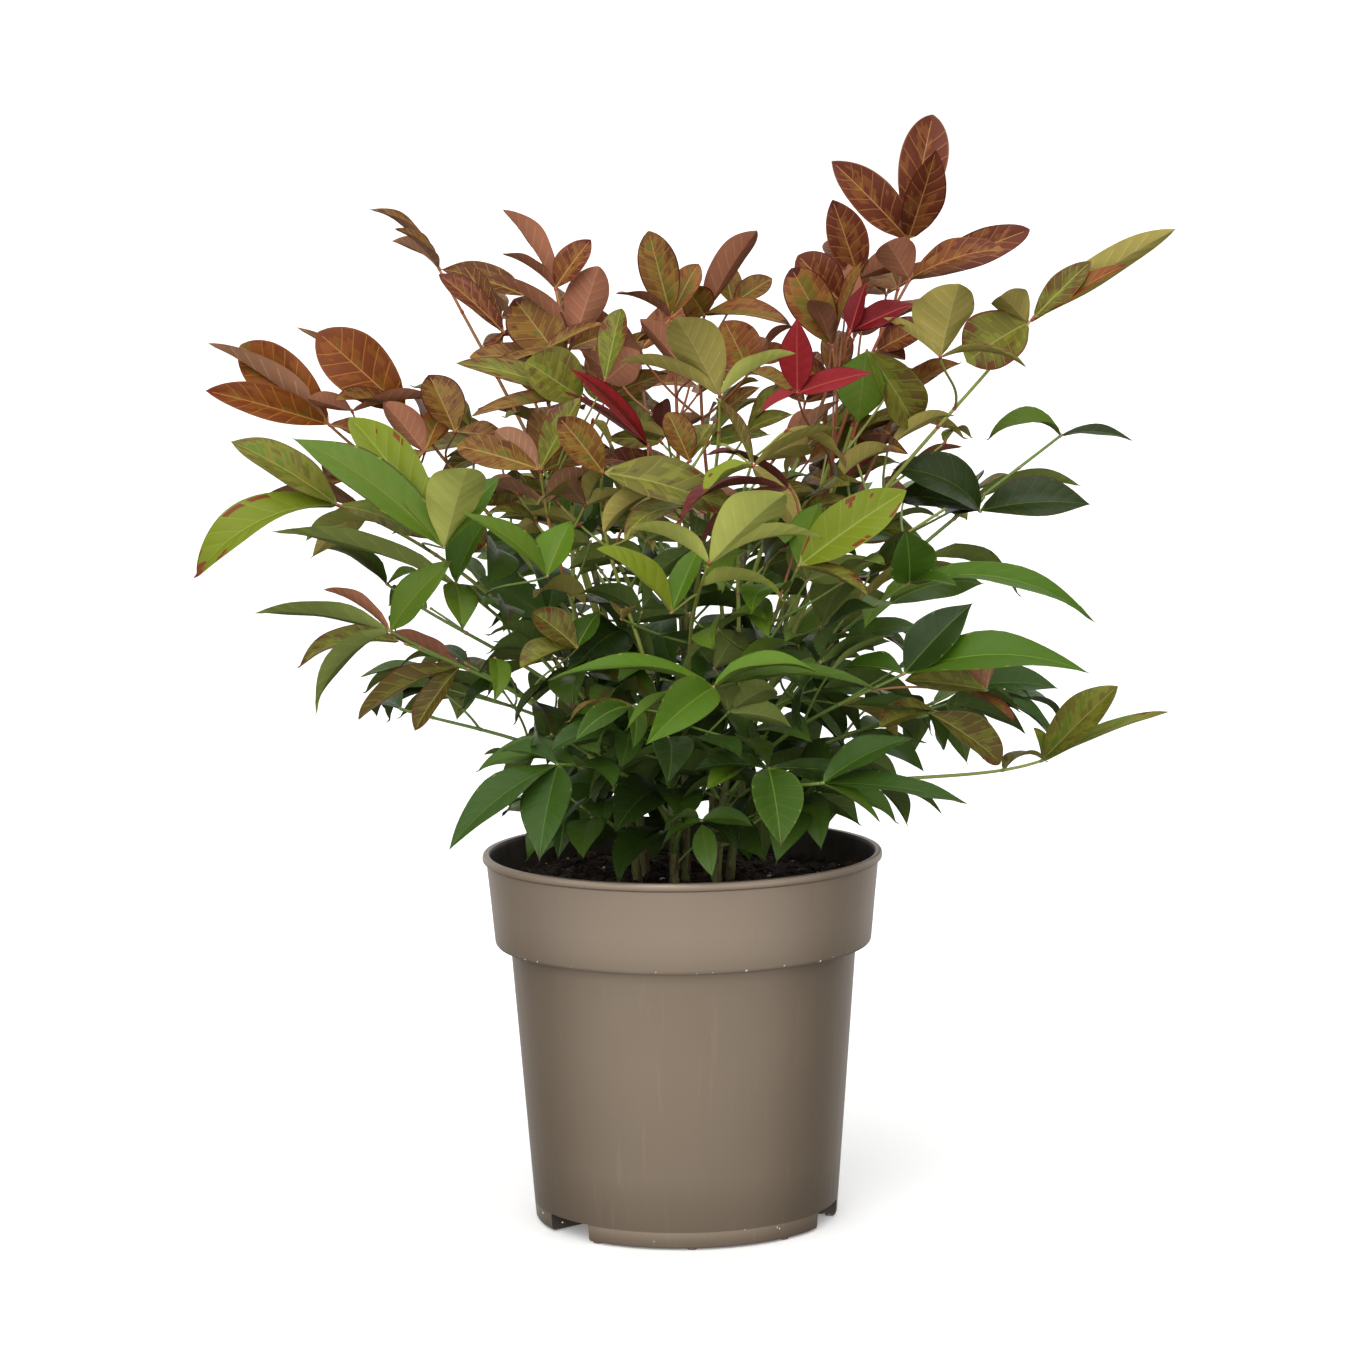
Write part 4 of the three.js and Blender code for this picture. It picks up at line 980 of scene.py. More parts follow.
class Grid:
    """Rows and columns of points over a blade, the relief of the rows, and the faces."""

    def __init__(self, steps, half_columns):
        rows, relief, vein_side, self.vein_rows = [FIRST_ROW], [0.0], [0], []
        for place in SIDE_VEINS:
            self.vein_rows.append(len(rows))
            rows += [place - HALF_VEIN, place + HALF_VEIN]
            rows += [place + VEIN_STEP * share for share in steps]
            relief += [VEIN_SINK] * 2 + [math.sin(math.pi * share) for share in steps]
            vein_side += [-1, 1] + [0] * len(steps)
        self.rows = np.array([*rows, *LAST_ROWS])
        self.relief = np.array([*relief, *LAST_RELIEF])
        self.vein_side = np.array(vein_side + [0, 0])
        self.columns = np.array([-x for x in half_columns] + list(half_columns[::-1]))
        count = len(self.columns)
        self.ribs = (count // 2 - 1, count // 2)
        inner = 1 + int(np.argmin(np.abs(self.columns[1:count // 2 - 1] + UNDER_COLUMN)))
        self.under = (inner, *self.ribs, count - 1 - inner)
        self.make_faces()

    # The part of the blade between a row and a column and the next ones.
    def part(self, row, column):
        middle = self.ribs[0]
        strip = abs(column - middle)
        if row in self.vein_rows and 0 < strip < middle:
            return SIDE_VEIN
        if strip and row == len(self.rows) - 2:
            return POINT
        if strip == middle:
            return RIM
        return BLADE if strip else RIB

    def make_faces(self):
        rows, columns, under_columns = len(self.rows), len(self.columns), len(self.under)
        top = np.arange(rows * columns).reshape(rows, columns)
        below = rows * columns + np.arange(rows * under_columns).reshape(rows, under_columns)
        under = np.concatenate([top[:, :1], below, top[:, -1:]], axis=1)
        root = rows * (columns + under_columns)
        tip = root + 1
        quads, parts, places, tris, tri_parts = [], [], [], [], []
        for r in range(rows - 1):
            for c in range(columns - 1):
                quads.append((top[r, c], top[r + 1, c], top[r + 1, c + 1], top[r, c + 1]))
                parts.append(self.part(r, c))
                places.append([(line[i] + line[i + 1]) / 2
                               for line, i in ((self.rows, r), (self.columns, c))])
            for c in range(under_columns + 1):
                quads.append((under[r, c], under[r, c + 1], under[r + 1, c + 1], under[r + 1, c]))
                veined = c == 2 or (r in self.vein_rows and c in (1, 3))
                parts.append(BACK_RIB if veined else BACK)
                places.append((0, 0))
        for c in range(columns - 1):
            tris += [(root, top[0, c], top[0, c + 1]), (top[-1, c], tip, top[-1, c + 1])]
            tri_parts += [RIB, POINT]
        for c in range(under_columns + 1):
            tris += [(root, under[0, c + 1], under[0, c]), (under[-1, c + 1], tip, under[-1, c])]
            tri_parts += [BACK_RIB, BACK]
        self.quads, self.tris = np.array(quads), np.array(tris)
        self.parts, self.tri_parts = np.array(parts), np.array(tri_parts)
        self.places = np.array(places)
        self.rim = np.zeros(tip + 1, bool)
        self.rim[top[:, 0]] = self.rim[top[:, -1]] = self.rim[root] = self.rim[tip] = True


PLAIN_GRID = Grid((0.52,), (1, 0.93, 0.68, 0.36, 0.04))
FINE_GRID = Grid((0.3, 0.55, 0.8), (1, 0.93, 0.76, 0.58, 0.4, 0.22, 0.04))


def unit(vectors):
    return vectors / np.linalg.norm(vectors, axis=-1, keepdims=True)


# One value or vector for each leaflet, to be met by its rows and columns.
def column(values):
    return np.array(values, float)[:, None, None]


# The form of a blade in degrees and shares of its length or width: its usual value, what warm
# tints, chance and being posed add to it.
FOLD, WARM_FOLD, FOLD_STRAY, POSED_FOLD = 22, 6, 11, 6
PULL, WARM_PULL, PULL_STRAY, POSED_PULL = 1.22, -0.24, 0.14, -0.2
RISE, WARM_RISE, RISE_STRAY, POSED_RISE = 1.02, -0.16, 0.1, 0.06
FULLNESS, WARM_FULLNESS = 1.06, -0.02
BILLOW, WARM_BILLOW = 0.42, -0.12
BEND_MORE, BEND_STRAY, DROOP = 14, 14, 20
TWIST_STRAY, END_TWIST_STRAY = 18, 26
SICKLE_STRAY = 0.05
TIP_CURL, TIP_CURL_STRAY = 0.14, 0.12
CURL_FROM, CURL_GROWTH, TIP_LOWERING = 0.65, 3, 0.3675
LEAN_OUT, WARM_LEAN = 0.4, 0.9
POSED_CALM = 0.75
FLATTER_TO_TIP = 0.45
WAVES, WAVE_COUNT, WAVE_STRAY, WAVE_SHIFT = 0.075, 1.6, 0.5, 2.1
RIB_WIDTH, RIB_TAPER, RIB_MOST, RIB_SINK = 0.42, 0.3, 0.45, 0.22
UNDER_THICKNESS, UNDER_AT_ROOT, UNDER_TAPER = np.array([0.3, 0.75, 0.75, 0.3]), 1.1, 0.6
USUAL_LENGTH = 50


class Blades:
    """The forms of many leaflets at once, each strayed by its serial number."""

    def __init__(self, leaves):
        self.root, self.along, upper, self.length, self.width, arch = (
            column([leaf[name] for leaf in leaves])
            for name in ("root", "along", "upper", "length", "width", "arch")
        )
        self.warm = warm = column([leaf["tint"] in WARM for leaf in leaves])
        drooping = column([leaf["tint"] in ("lime", "olive") for leaf in leaves])
        posed = column(["posed" in leaf for leaf in leaves])
        self.dice = dice = [
            column([spread(leaf["serial"], 300 + k) for leaf in leaves]) for k in range(10)
        ]
        middle = self.root + self.along * (self.length * 0.5)[..., None]
        outward = unit(middle * np.array([1, 1, 0]) + np.array([0, 0, 0.01]))
        upper = upper + outward * (LEAN_OUT * (1 - WARM_LEAN * warm) * (1 - posed))[..., None]
        along_upper = np.sum(upper * self.along, axis=-1, keepdims=True)
        self.upper = unit(upper - self.along * along_upper)
        self.side = np.cross(self.upper, self.along)
        loose = 1 - POSED_CALM * posed
        self.fold = np.radians(FOLD + WARM_FOLD * warm + FOLD_STRAY * dice[0] + POSED_FOLD * posed)
        self.twist = np.radians(TWIST_STRAY * dice[1]) * loose
        self.twist_end = np.radians(END_TWIST_STRAY * dice[2]) * loose
        self.sickle = SICKLE_STRAY * dice[3] * loose
        self.tip_curl = (TIP_CURL + TIP_CURL_STRAY * dice[4]) * loose
        bend_more = (BEND_MORE + BEND_STRAY * dice[9]) * (1 - warm) + DROOP * drooping
        self.bend = np.radians(arch) + np.radians(bend_more) * (1 - posed)
        self.radius = self.length / self.bend
        self.pull = PULL + WARM_PULL * warm + PULL_STRAY * dice[5] + POSED_PULL * warm * posed
        self.rise = RISE + WARM_RISE * warm + RISE_STRAY * dice[6] + POSED_RISE * warm * posed
        self.size = self.length / USUAL_LENGTH

    def half_width(self, share):
        peak = self.rise / (self.rise + self.pull)
        half = self.width * (FULLNESS + WARM_FULLNESS * self.warm) / 2
        return half * (share / peak) ** self.rise * ((1 - share) / (1 - peak)) ** self.pull

    # The midrib's points, and the directions to the side and up that the blade has there.
    def spine(self, share):
        angle = self.bend * share
        upper = self.upper * np.cos(angle)[..., None] + self.along * np.sin(angle)[..., None]
        spine = self.root + self.along * (self.radius * np.sin(angle))[..., None]
        spine = spine + self.upper * (self.radius * (np.cos(angle) - 1))[..., None]
        spine = spine + self.side * (self.sickle * self.length * share**2)[..., None]
        curl = self.tip_curl * self.length * np.clip(share - CURL_FROM, 0, 1) ** 2 * CURL_GROWTH
        turn = self.twist + self.twist_end * share
        return (
            spine - upper * curl[..., None],
            self.side * np.cos(turn)[..., None] + upper * np.sin(turn)[..., None],
            upper * np.cos(turn)[..., None] - self.side * np.sin(turn)[..., None],
        )

    # How far the blade rises from its midrib's plane: fold, billows between the veins, waves of
    # the margin and the groove of the midrib.
    def lift(self, share, across, offset, is_rib, relief):
        dice, out = self.dice, np.abs(across)
        steep = self.fold * (1 - FLATTER_TO_TIP * share)
        lift = np.abs(offset) * np.sin(steep)
        billow = BILLOW + WARM_BILLOW * self.warm
        lift = lift + billow * self.size * (4 * out * (1 - out)) * relief[None, :, None]
        phase = 3 * dice[7] + np.where(across > 0, WAVE_SHIFT, 0) + 5 * dice[8]
        pace = 2 * math.pi * share * (WAVE_COUNT + WAVE_STRAY * dice[9])
        lift = lift + WAVES * self.half_width(share) * np.sin(pace + phase) * across**2
        return lift - np.where(is_rib, RIB_SINK * self.size * (1 - 0.5 * share), 0), steep

    # The points at which a blade starts and ends.
    def end_points(self):
        ends = []
        for place in (0.0, 1.0):
            turn = self.bend * place
            lowered = self.radius * (np.cos(turn) - 1)
            lowered = lowered - place * (self.tip_curl * self.length) * TIP_LOWERING
            point = self.root + self.along * (self.radius * np.sin(turn))[..., None]
            point = point + self.upper * lowered[..., None]
            ends.append(point + self.side * (self.sickle * self.length * place)[..., None])
        return np.concatenate([end.reshape(-1, 1, 3) for end in ends], axis=1)

    # All points in the order that the grid's faces expect.
    def points(self, grid):
        count, rows, columns = len(self.root), len(grid.rows), len(grid.columns)
        share = np.broadcast_to(grid.rows[None, :, None], (count, rows, columns))
        across = np.broadcast_to(grid.columns[None, None], share.shape)
        share = share + WARM_VEIN * self.warm * grid.vein_side[None, :, None]
        sweep = ROW_SWEEP * np.sin(math.pi * share) ** SWEEP_POWER
        share = share + sweep * np.abs(across) ** SWEEP_POWER
        half = self.half_width(share)
        rib = np.minimum(RIB_WIDTH - RIB_TAPER * share, RIB_MOST * half)
        is_rib = np.isin(np.arange(columns), grid.ribs)[None, None]
        offset = np.where(is_rib, np.sign(across) * rib, across * half)
        spine, side, upper = self.spine(share)
        lift, steep = self.lift(share, across, offset, is_rib, grid.relief)
        top = spine + side * (offset * np.cos(steep))[..., None] + upper * lift[..., None]
        inside = list(grid.under)
        depth = UNDER_THICKNESS * self.size * (UNDER_AT_ROOT - UNDER_TAPER * share[:, :, inside])
        under = top[:, :, inside] - upper[:, :, inside] * depth[..., None]
        parts = [part.reshape(count, -1, 3) for part in (top, under, self.end_points())]
        return np.concatenate(parts, axis=1)


PATCH_SEED = 700
PATCHES_ALONG, PATCHES_ACROSS = 11, 7
PATCH_CONTRAST, PATCH_GRAIN = 1.5, 0.16


# Soft patches over a blade, from 0 to 1, with a value for each of its faces.
def patches(serial, places):
    dice = np.random.default_rng(PATCH_SEED + serial)
    lattice = dice.random((PATCHES_ALONG + 1, PATCHES_ACROSS + 1))
    u = np.clip(places[:, 0], 0, 0.999) * PATCHES_ALONG
    v = np.clip((places[:, 1] + 1) / 2, 0, 0.999) * PATCHES_ACROSS
    i, j = u.astype(int), v.astype(int)
    u, v = u - i, v - j
    low = lattice[i, j] * (1 - v) + lattice[i, j + 1] * v
    high = lattice[i + 1, j] * (1 - v) + lattice[i + 1, j + 1] * v
    value = 0.5 + PATCH_CONTRAST * (low * (1 - u) + high * u - 0.5)
    return np.clip((1 - PATCH_GRAIN) * value + PATCH_GRAIN * dice.random(len(places)), 0, 1)


# How red a mottled blade is by its patches, to its margin, to its tip and by its spray, and
# where that passes from the shade along the midrib to the next ones.
RED_PATCH, RED_OUT, RED_TIP, RED_SPRAY = 0.5, 0.34, 0.26, 0.6
MOTTLED_SHADES = np.array([SHADE_MIX, SHADE_B, SHADE_A, SHADE_C])
MOTTLED_STEPS = (0.24, 0.42, 0.66)
SPRAY_SHARE, OWN_SHARE = 0.7, 0.3
BAND_HALF = 0.25
BLUSH_OUT, BLUSH_TIP, BLUSH_PATCH, BLUSH_FROM = 0.55, 0.25, 0.5, 0.92
BLUSHED, DARK_MARGINS, DARK_TIPS, VEINED = 0.7, 0.45, 0.3, 0.6


# Which of its tint's looks each face of a leaflet has. Leaflets of one spray share a shade.
# Coloured blades are olive along the midrib and redder to the margin and the tip, in patches.
def leaf_looks(leaf, grid):
    serial, tint, parts = leaf["serial"], leaf["tint"], grid.parts
    base = SPRAY_SHARE * chance(leaf["owner"], leaf["key"], 410)
    base += OWN_SHARE * chance(serial, 411)
    shade = min(SHADE_C, int(3 * base))
    share, across = grid.places[:, 0], np.abs(grid.places[:, 1])
    patch = patches(serial, grid.places)
    if tint in MOTTLED:
        red = RED_PATCH * patch + RED_OUT * across + RED_TIP * share + RED_SPRAY * (base - 0.5)
        looks = MOTTLED_SHADES[np.searchsorted(MOTTLED_STEPS, red)]
    else:
        looks = np.full(len(parts), shade)
        if shade == SHADE_B:
            looks[across < BAND_HALF] = SHADE_MIX
    if tint in ("lime", "olive") and chance(serial, 417) < BLUSHED:
        blush = across * BLUSH_OUT + share * BLUSH_TIP + patch * BLUSH_PATCH
        looks[blush > BLUSH_FROM] = EDGE
    point = EDGE if chance(serial, 414) < DARK_TIPS else shade
    looks[parts == RIM] = EDGE if chance(serial, 415) < DARK_MARGINS else SHADE_A
    looks[parts == POINT] = point
    for part, look in ((RIB, MIDRIB), (SIDE_VEIN, VEIN), (BACK, UNDER), (BACK_RIB, UNDER_VEIN)):
        if part != SIDE_VEIN or tint in WARM or chance(serial, 416) < VEINED:
            looks[parts == part] = look
    ends = {RIB: MIDRIB, POINT: point, BACK: UNDER, BACK_RIB: UNDER_VEIN}
    return looks, np.array([ends[part] for part in grid.tri_parts])


def leaf_mesh(name, leaves, grid):
    points = Blades(leaves).points(grid)
    each = points.shape[1]
    step = np.arange(len(leaves))[:, None, None] * each
    quad_looks, tri_looks = zip(*(leaf_looks(leaf, grid) for leaf in leaves))
    shapes = Shapes()
    shapes.add(
        points, (grid.quads[None] + step).reshape(-1, 4), (grid.tris[None] + step).reshape(-1, 3),
        quad_looks=np.concatenate(quad_looks), tri_looks=np.concatenate(tri_looks),
    )
    mesh = shapes.mesh(name)
    ends = np.zeros(2 * len(mesh.edges), int)
    mesh.edges.foreach_get("vertices", ends)
    sharp = grid.rim[ends.reshape(-1, 2) % each].all(axis=1)
    mesh.attributes.new("sharp_edge", "BOOLEAN", "EDGE").data.foreach_set("value", sharp)
    mesh.update()
    return mesh


# ------------------------------------------------------------ the camera's place

CAMERA_PLACE = (0.00115, -1.8, 0.4571)
CAMERA_PITCH = 0.1258
CAMERA_ROLL = -0.0121
PLANT_DISTANCE = 1800
CAMERA_AHEAD = Vector((0, math.cos(CAMERA_PITCH), -math.sin(CAMERA_PITCH)))
LEVEL_UP = Vector((0, math.sin(CAMERA_PITCH), math.cos(CAMERA_PITCH)))
CAMERA_RIGHT = RIGHT * math.cos(CAMERA_ROLL) + LEVEL_UP * math.sin(CAMERA_ROLL)
CAMERA_UP = LEVEL_UP * math.cos(CAMERA_ROLL) - RIGHT * math.sin(CAMERA_ROLL)

# ------------------------------------------------------------ leaflets posed one by one

# End leaflets that the photo shows plainly, by frond or spray. Each has its tip (right, back,
# up), its width, the turn of its upper side from the camera (180 shows the underside), its
# bend and its tint.
POSED = {
    "spire": (
        (109, 22, 467, 23, 6, 12, "copper"), (109, -12, 452, 18, -12, 12, "copper"),
        (66, 4, 448, 20, 14, 16, "copper"),
    ),
    "top_right": (
        (134, -40, 412, 16, 48, 34, "copper"), (148, -6, 419, 15, 14, 10, "copper"),
        (87, -30, 415, 18, 160, 20, "copper"),
    ),
    "upper_right_far": (
        (66, 0, 432, 19, 6, 14, "copper"), (65, 28, 415, 15, 20, 20, "copper"),
        (94, -6, 406, 13, 150, 24, "copper"),
    ),
    "upper_right_near": (
        (48, -14, 404, 21, 8, 18, "copper"), (78, -30, 408, 10, 62, 16, "copper"),
        (56, -34, 392, 12, 150, 26, "copper"),
    ),
    "top_mid_left": (
        (-11, -6, 420, 17, 0, 10, "bronze"), (-25, -16, 395, 11, 105, 34, "copper"),
        (10, 12, 406, 13, 20, 20, "copper"),
    ),
    "top_mid_right": (
        (34, 0, 420, 16, 150, 24, "copper"), (4, 8, 397, 16, 10, 14, "bronze"),
        (48, 0, 381, 15, 52, 24, "copper"),
    ),
    "top_left_mid": (
        (-71, -4, 430, 15, 128, 26, "copper"), (-35, -12, 417, 14, 20, 14, "copper"),
        (-71, -24, 412, 10, 110, 30, "copper"),
    ),
    "lime_heart": (
        (0, -122, 389, 23, 160, 22, "olive"), (-22, -112, 372, 13, 114, 36, "olive"),
        (47, -112, 374, 12, 112, 34, "lime"),
    ),
    "front_lime": (
        (41, -154, 323, 23, 155, 18, "lime"), (-19, -142, 308, 15, 114, 44, "lime"),
        (56, -142, 304, 12, 112, 56, "lime"),
    ),
    "right_centre": (
        (91, -92, 318, 22, 24, 14, "lime"), (75, -104, 277, 12, 66, 30, "olive"),
        (58, -70, 312, 14, 40, 26, "bright"),
    ),
    "right_mid": (
        (170, -64, 260, 16, 56, 70, "bright"), (92, -72, 300, 22, 24, 22, "green"),
        (112, -80, 278, 10, 66, 30, "green"),
    ),
    "right_low_near": (
        (166, -78, 242, 21, 50, 60, "bright"), (119, -70, 270, 20, 30, 20, "deep"),
        (67, -60, 243, 14, 60, 30, "green"),
    ),
    "right_low_far": (
        (159, -14, 227, 17, 50, 36, "deep"), (140, -24, 214, 9, 70, 24, "copper"),
    ),
    "right_high": (
        (131, 12, 330, 12, 56, 110, "green"), (194, 22, 328, 9, 62, 44, "dark"),
    ),
    "dark_pair": (
        (90, -10, 320, 22, 40, 84, "dark"), (173, -8, 304, 22, 32, 40, "dark"),
        (115, 14, 302, 16, 30, 50, "dark"), (92, 24, 305, 16, 36, 44, "dark"),
    ),
    "long_right": (
        (206, -24, 419, 14, 146, 16, "olive"), (185, -34, 405, 10, 44, 10, "rust"),
        (119, -40, 366, 27, 22, 30, "olive"), (132, -48, 393, 17, 150, 24, "olive"),
    ),
    "blunt_olive": (
        (114, -72, 399, 29, 158, 18, "olive"), (142, -66, 365, 9, 76, 56, "olive"),
        (84, -60, 385, 9, 120, 20, "olive"),
    ),
    "left_mid_high": (
        (-174, -60, 268, 15, 126, 34, "green"), (-92, -66, 289, 17, 34, 30, "green"),
        (-149, -66, 226, 16, 118, 78, "green"), (-146, -44, 276, 10, 118, 34, "copper"),
    ),
    "left_inner": (
        (-166, -62, 302, 15, 124, 30, "green"), (-76, -46, 307, 19, 52, 30, "bright"),
        (-88, -70, 261, 16, 20, 20, "green"),
    ),
    "far_left_low": (
        (-183, -44, 337, 19, 30, 28, "olive"), (-198, -56, 283, 22, 46, 76, "lime"),
        (-102, -60, 298, 14, 42, 30, "olive"),
    ),
    "front_green": (
        (-13, -204, 233, 20, 20, 26, "bright"), (54, -146, 252, 14, 62, 66, "bright"),
        (-52, -150, 250, 15, 66, 52, "bright"), (79, -120, 241, 13, 70, 44, "green"),
    ),
    "low_left_front": (
        (-92, -142, 183, 19, 50, 40, "deep"), (-56, -148, 179, 21, 20, 22, "deep"),
        (-72, -110, 217, 13, 62, 50, "deep"),
    ),
    "low_front_right": (
        (39, -132, 181, 23, 16, 26, "green"), (4, -112, 209, 13, 60, 34, "deep"),
        (89, -112, 199, 13, 66, 30, "deep"),
    ),
    "far_left_high": (
        (-196, 0, 376, 15, 124, 18, "bronze"), (-184, 14, 374, 24, 10, 26, "rust"),
        (-196, -12, 356, 18, 16, 16, "rust"), (-129, -8, 335, 12, 56, 16, "copper"),
    ),
    "left_bronze": (
        (-151, 12, 379, 27, 6, 20, "rust"), (-161, 30, 381, 8, 60, 18, "bronze"),
        (-142, -8, 352, 14, 60, 24, "bronze"),
    ),
    "broad_olive": (
        (-31, -20, 383, 9, 56, 12, "bronze"), (-79, -22, 363, 9, 56, 20, "bronze"),
    ),
    "left_dark": (
        (-154, 44, 285, 12, 54, 64, "dark"), (-112, 28, 276, 9, 60, 20, "green"),
    ),
    "low_right_front": (
        (114, -118, 195, 15, 60, 22, "deep"), (93, -108, 220, 17, 52, 36, "deep"),
        (79, -126, 189, 9, 66, 22, "green"),
    ),
    "right_lowest": (
        (185, 0, 226, 20, 24, 14, "olive"), (209, 20, 213, 8, 60, 14, "olive"),
        (150, 4, 208, 9, 56, 16, "olive"),
    ),
    "crimson_mid": (
        (49, -66, 386, 14, 12, 12, "crimson"), (79, -74, 364, 11, 36, 16, "crimson"),
        (34, -64, 348, 9, 60, 20, "crimson"),
    ),
    "crimson_right": (
        (96, -60, 391, 12, 30, 14, "crimson"), (78, -52, 400, 10, 40, 10, "crimson"),
        (93, -62, 382, 8, 64, 14, "crimson"),
    ),
    "crimson_left": (
        (-42, -76, 367, 11, 40, 14, "crimson"), (-46, -60, 357, 8, 66, 14, "wine"),
    ),
    "left_mid_low": (
        (-135, -20, 218, 17, 54, 42, "olive"), (-111, -26, 214, 13, 30, 30, "olive"),
        (-122, -16, 254, 12, 120, 24, "copper"),
    ),
}

# Further sprays of posed leaflets: name, the frond that bears it, its joint, the leaflets.
EXTRA_SPRAYS = (
    ("lime_left", "far_left_low", (-95, -72, 295), (
        (-155, -66, 341, 22, 40, 34, "green"), (-134, -40, 347, 22, 26, 26, "lime"),
        (-84, -92, 329, 25, 160, 18, "lime"), (-72, -62, 323, 18, 34, 26, "green"),
    )),
    ("pale_inner", "left_inner", (-53, -84, 284), (
        (-87, -92, 311, 15, 60, 40, "green"), (-43, -72, 306, 18, 24, 22, "bright"),
    )),
    ("lime_second", "lime_heart", (30, -104, 329), (
        (65, -104, 344, 14, 100, 32, "olive"), (16, -96, 356, 9, 60, 16, "olive"),
        (10, -110, 319, 14, 70, 30, "lime"),
    )),
    ("lime_under", "front_lime", (-3, -122, 273), (
        (-32, -128, 299, 20, 62, 38, "lime"), (9, -104, 298, 12, 24, 16, "bright"),
    )),
    ("top_left_pair", "top_left_mid", (-42, -14, 376), (
        (-32, -12, 406, 20, 172, 12, "copper"), (-78, -26, 404, 12, 112, 30, "copper"),
    )),
    ("broad_centre", "mid_centre", (-30, -78, 325), (
        (24, -84, 309, 22, 34, 34, "olive"), (-47, -84, 348, 16, 16, 20, "bronze"),
    )),
    ("bronze_low", "right_low_near", (126, -48, 231), (
        (132, -52, 256, 9, 140, 16, "rust"), (92, -60, 237, 15, 30, 20, "olive"),
        (110, -52, 244, 13, 150, 24, "copper"),
    )),
    ("copper_mid", "top_mid_right", (30, -20, 362), (
        (20, -24, 383, 20, 12, 16, "copper"), (38, -14, 375, 16, 150, 20, "copper"),
        (48, -22, 353, 12, 60, 20, "bronze"),
    )),
    ("dark_top", "top_mid_right", (24, 24, 388), (
        (41, 26, 399, 12, 20, 14, "bronze"), (20, 30, 406, 12, 20, 16, "bronze"),
    )),
    ("copper_right", "upper_right_near", (71, -4, 387), (
        (51, -4, 409, 20, 10, 16, "copper"), (70, 6, 406, 14, 150, 20, "copper"),
    )),
    ("copper_low", "upper_right_near", (83, -14, 369), (
        (107, -20, 381, 15, 30, 22, "copper"), (95, -20, 366, 12, 60, 24, "copper"),
    )),
    ("mixed_left", "top_left_mid", (-47, -18, 366), (
        (-67, -10, 393, 25, 8, 14, "bronze"), (-86, -16, 369, 13, 50, 24, "bronze"),
    )),
    ("copper_back", "top_mid_left", (6, -14, 359), (
        (-15, -16, 384, 16, 150, 20, "copper"), (10, -6, 379, 14, 20, 20, "bronze"),
    )),
    ("bronze_mid", "mid_left", (-56, -58, 325), (
        (-39, -60, 354, 15, 26, 16, "olive"), (-74, -56, 341, 14, 160, 16, "bronze"),
        (-90, -50, 335, 15, 20, 20, "bronze"),
    )),
    ("broad_low", "mid_left", (-39, -46, 353), (
        (-61, -52, 369, 27, 14, 10, "olive"), (-90, -44, 369, 12, 40, 22, "olive"),
        (-84, -50, 347, 10, 56, 20, "bronze"),
    )),
    ("bronze_inner", "mid_centre", (5, -50, 327), (
        (-4, -50, 347, 14, 20, 20, "bronze"), (14, -44, 342, 13, 40, 24, "olive"),
    )),
    ("olive_low", "left_mid_low", (-42, -60, 252), (
        (-60, -60, 267, 15, 30, 30, "olive"), (-65, -66, 245, 16, 50, 34, "olive"),
        (-33, -50, 266, 12, 30, 24, "green"),
    )),
    ("deep_low", "right_low_far", (106, -30, 220), (
        (69, -40, 225, 11, 66, 20, "deep"), (82, -44, 216, 15, 50, 30, "olive"),
    )),
    ("left_rust", "far_left_high", (-137, 6, 346), (
        (-101, 2, 352, 12, 112, 20, "copper"), (-155, -2, 352, 10, 150, 14, "copper"),
    )),
    ("left_fill", "far_left_high", (-106, -4, 329), (
        (-123, 0, 350, 15, 150, 14, "copper"), (-117, -6, 320, 13, 50, 24, "bronze"),
        (-97, 6, 348, 12, 24, 16, "rust"),
    )),
    ("left_dusk", "left_bronze", (-93, -4, 337), (
        (-104, 4, 361, 19, 20, 16, "bronze"), (-71, -10, 334, 12, 50, 20, "bronze"),
    )),
    ("right_tip", "long_right", (147, -32, 383), (
        (171, -30, 406, 12, 18, 12, "olive"),
    )),
    ("hang_pair", "right_hang", (78, -44, 371), (
        (74, -40, 341, 22, 14, 12, "green"), (98, -34, 339, 22, 24, 24, "olive"),
    )),
    ("low_small", "right_low_far", (103, -34, 220), (
        (133, -32, 198, 19, 34, 36, "olive"), (110, -28, 203, 11, 50, 20, "deep"),
    )),
    ("left_top", "top_left", (-72, 2, 378), (
        (-99, 4, 403, 13, 34, 18, "copper"), (-90, 20, 407, 10, 20, 16, "bronze"),
        (-80, -6, 362, 12, 60, 30, "copper"),
    )),
    ("bronze_heart", "mid_left", (-29, -60, 361), (
        (-22, -56, 390, 13, 22, 10, "olive"), (-15, -50, 372, 17, 172, 14, "copper"),
    )),
)
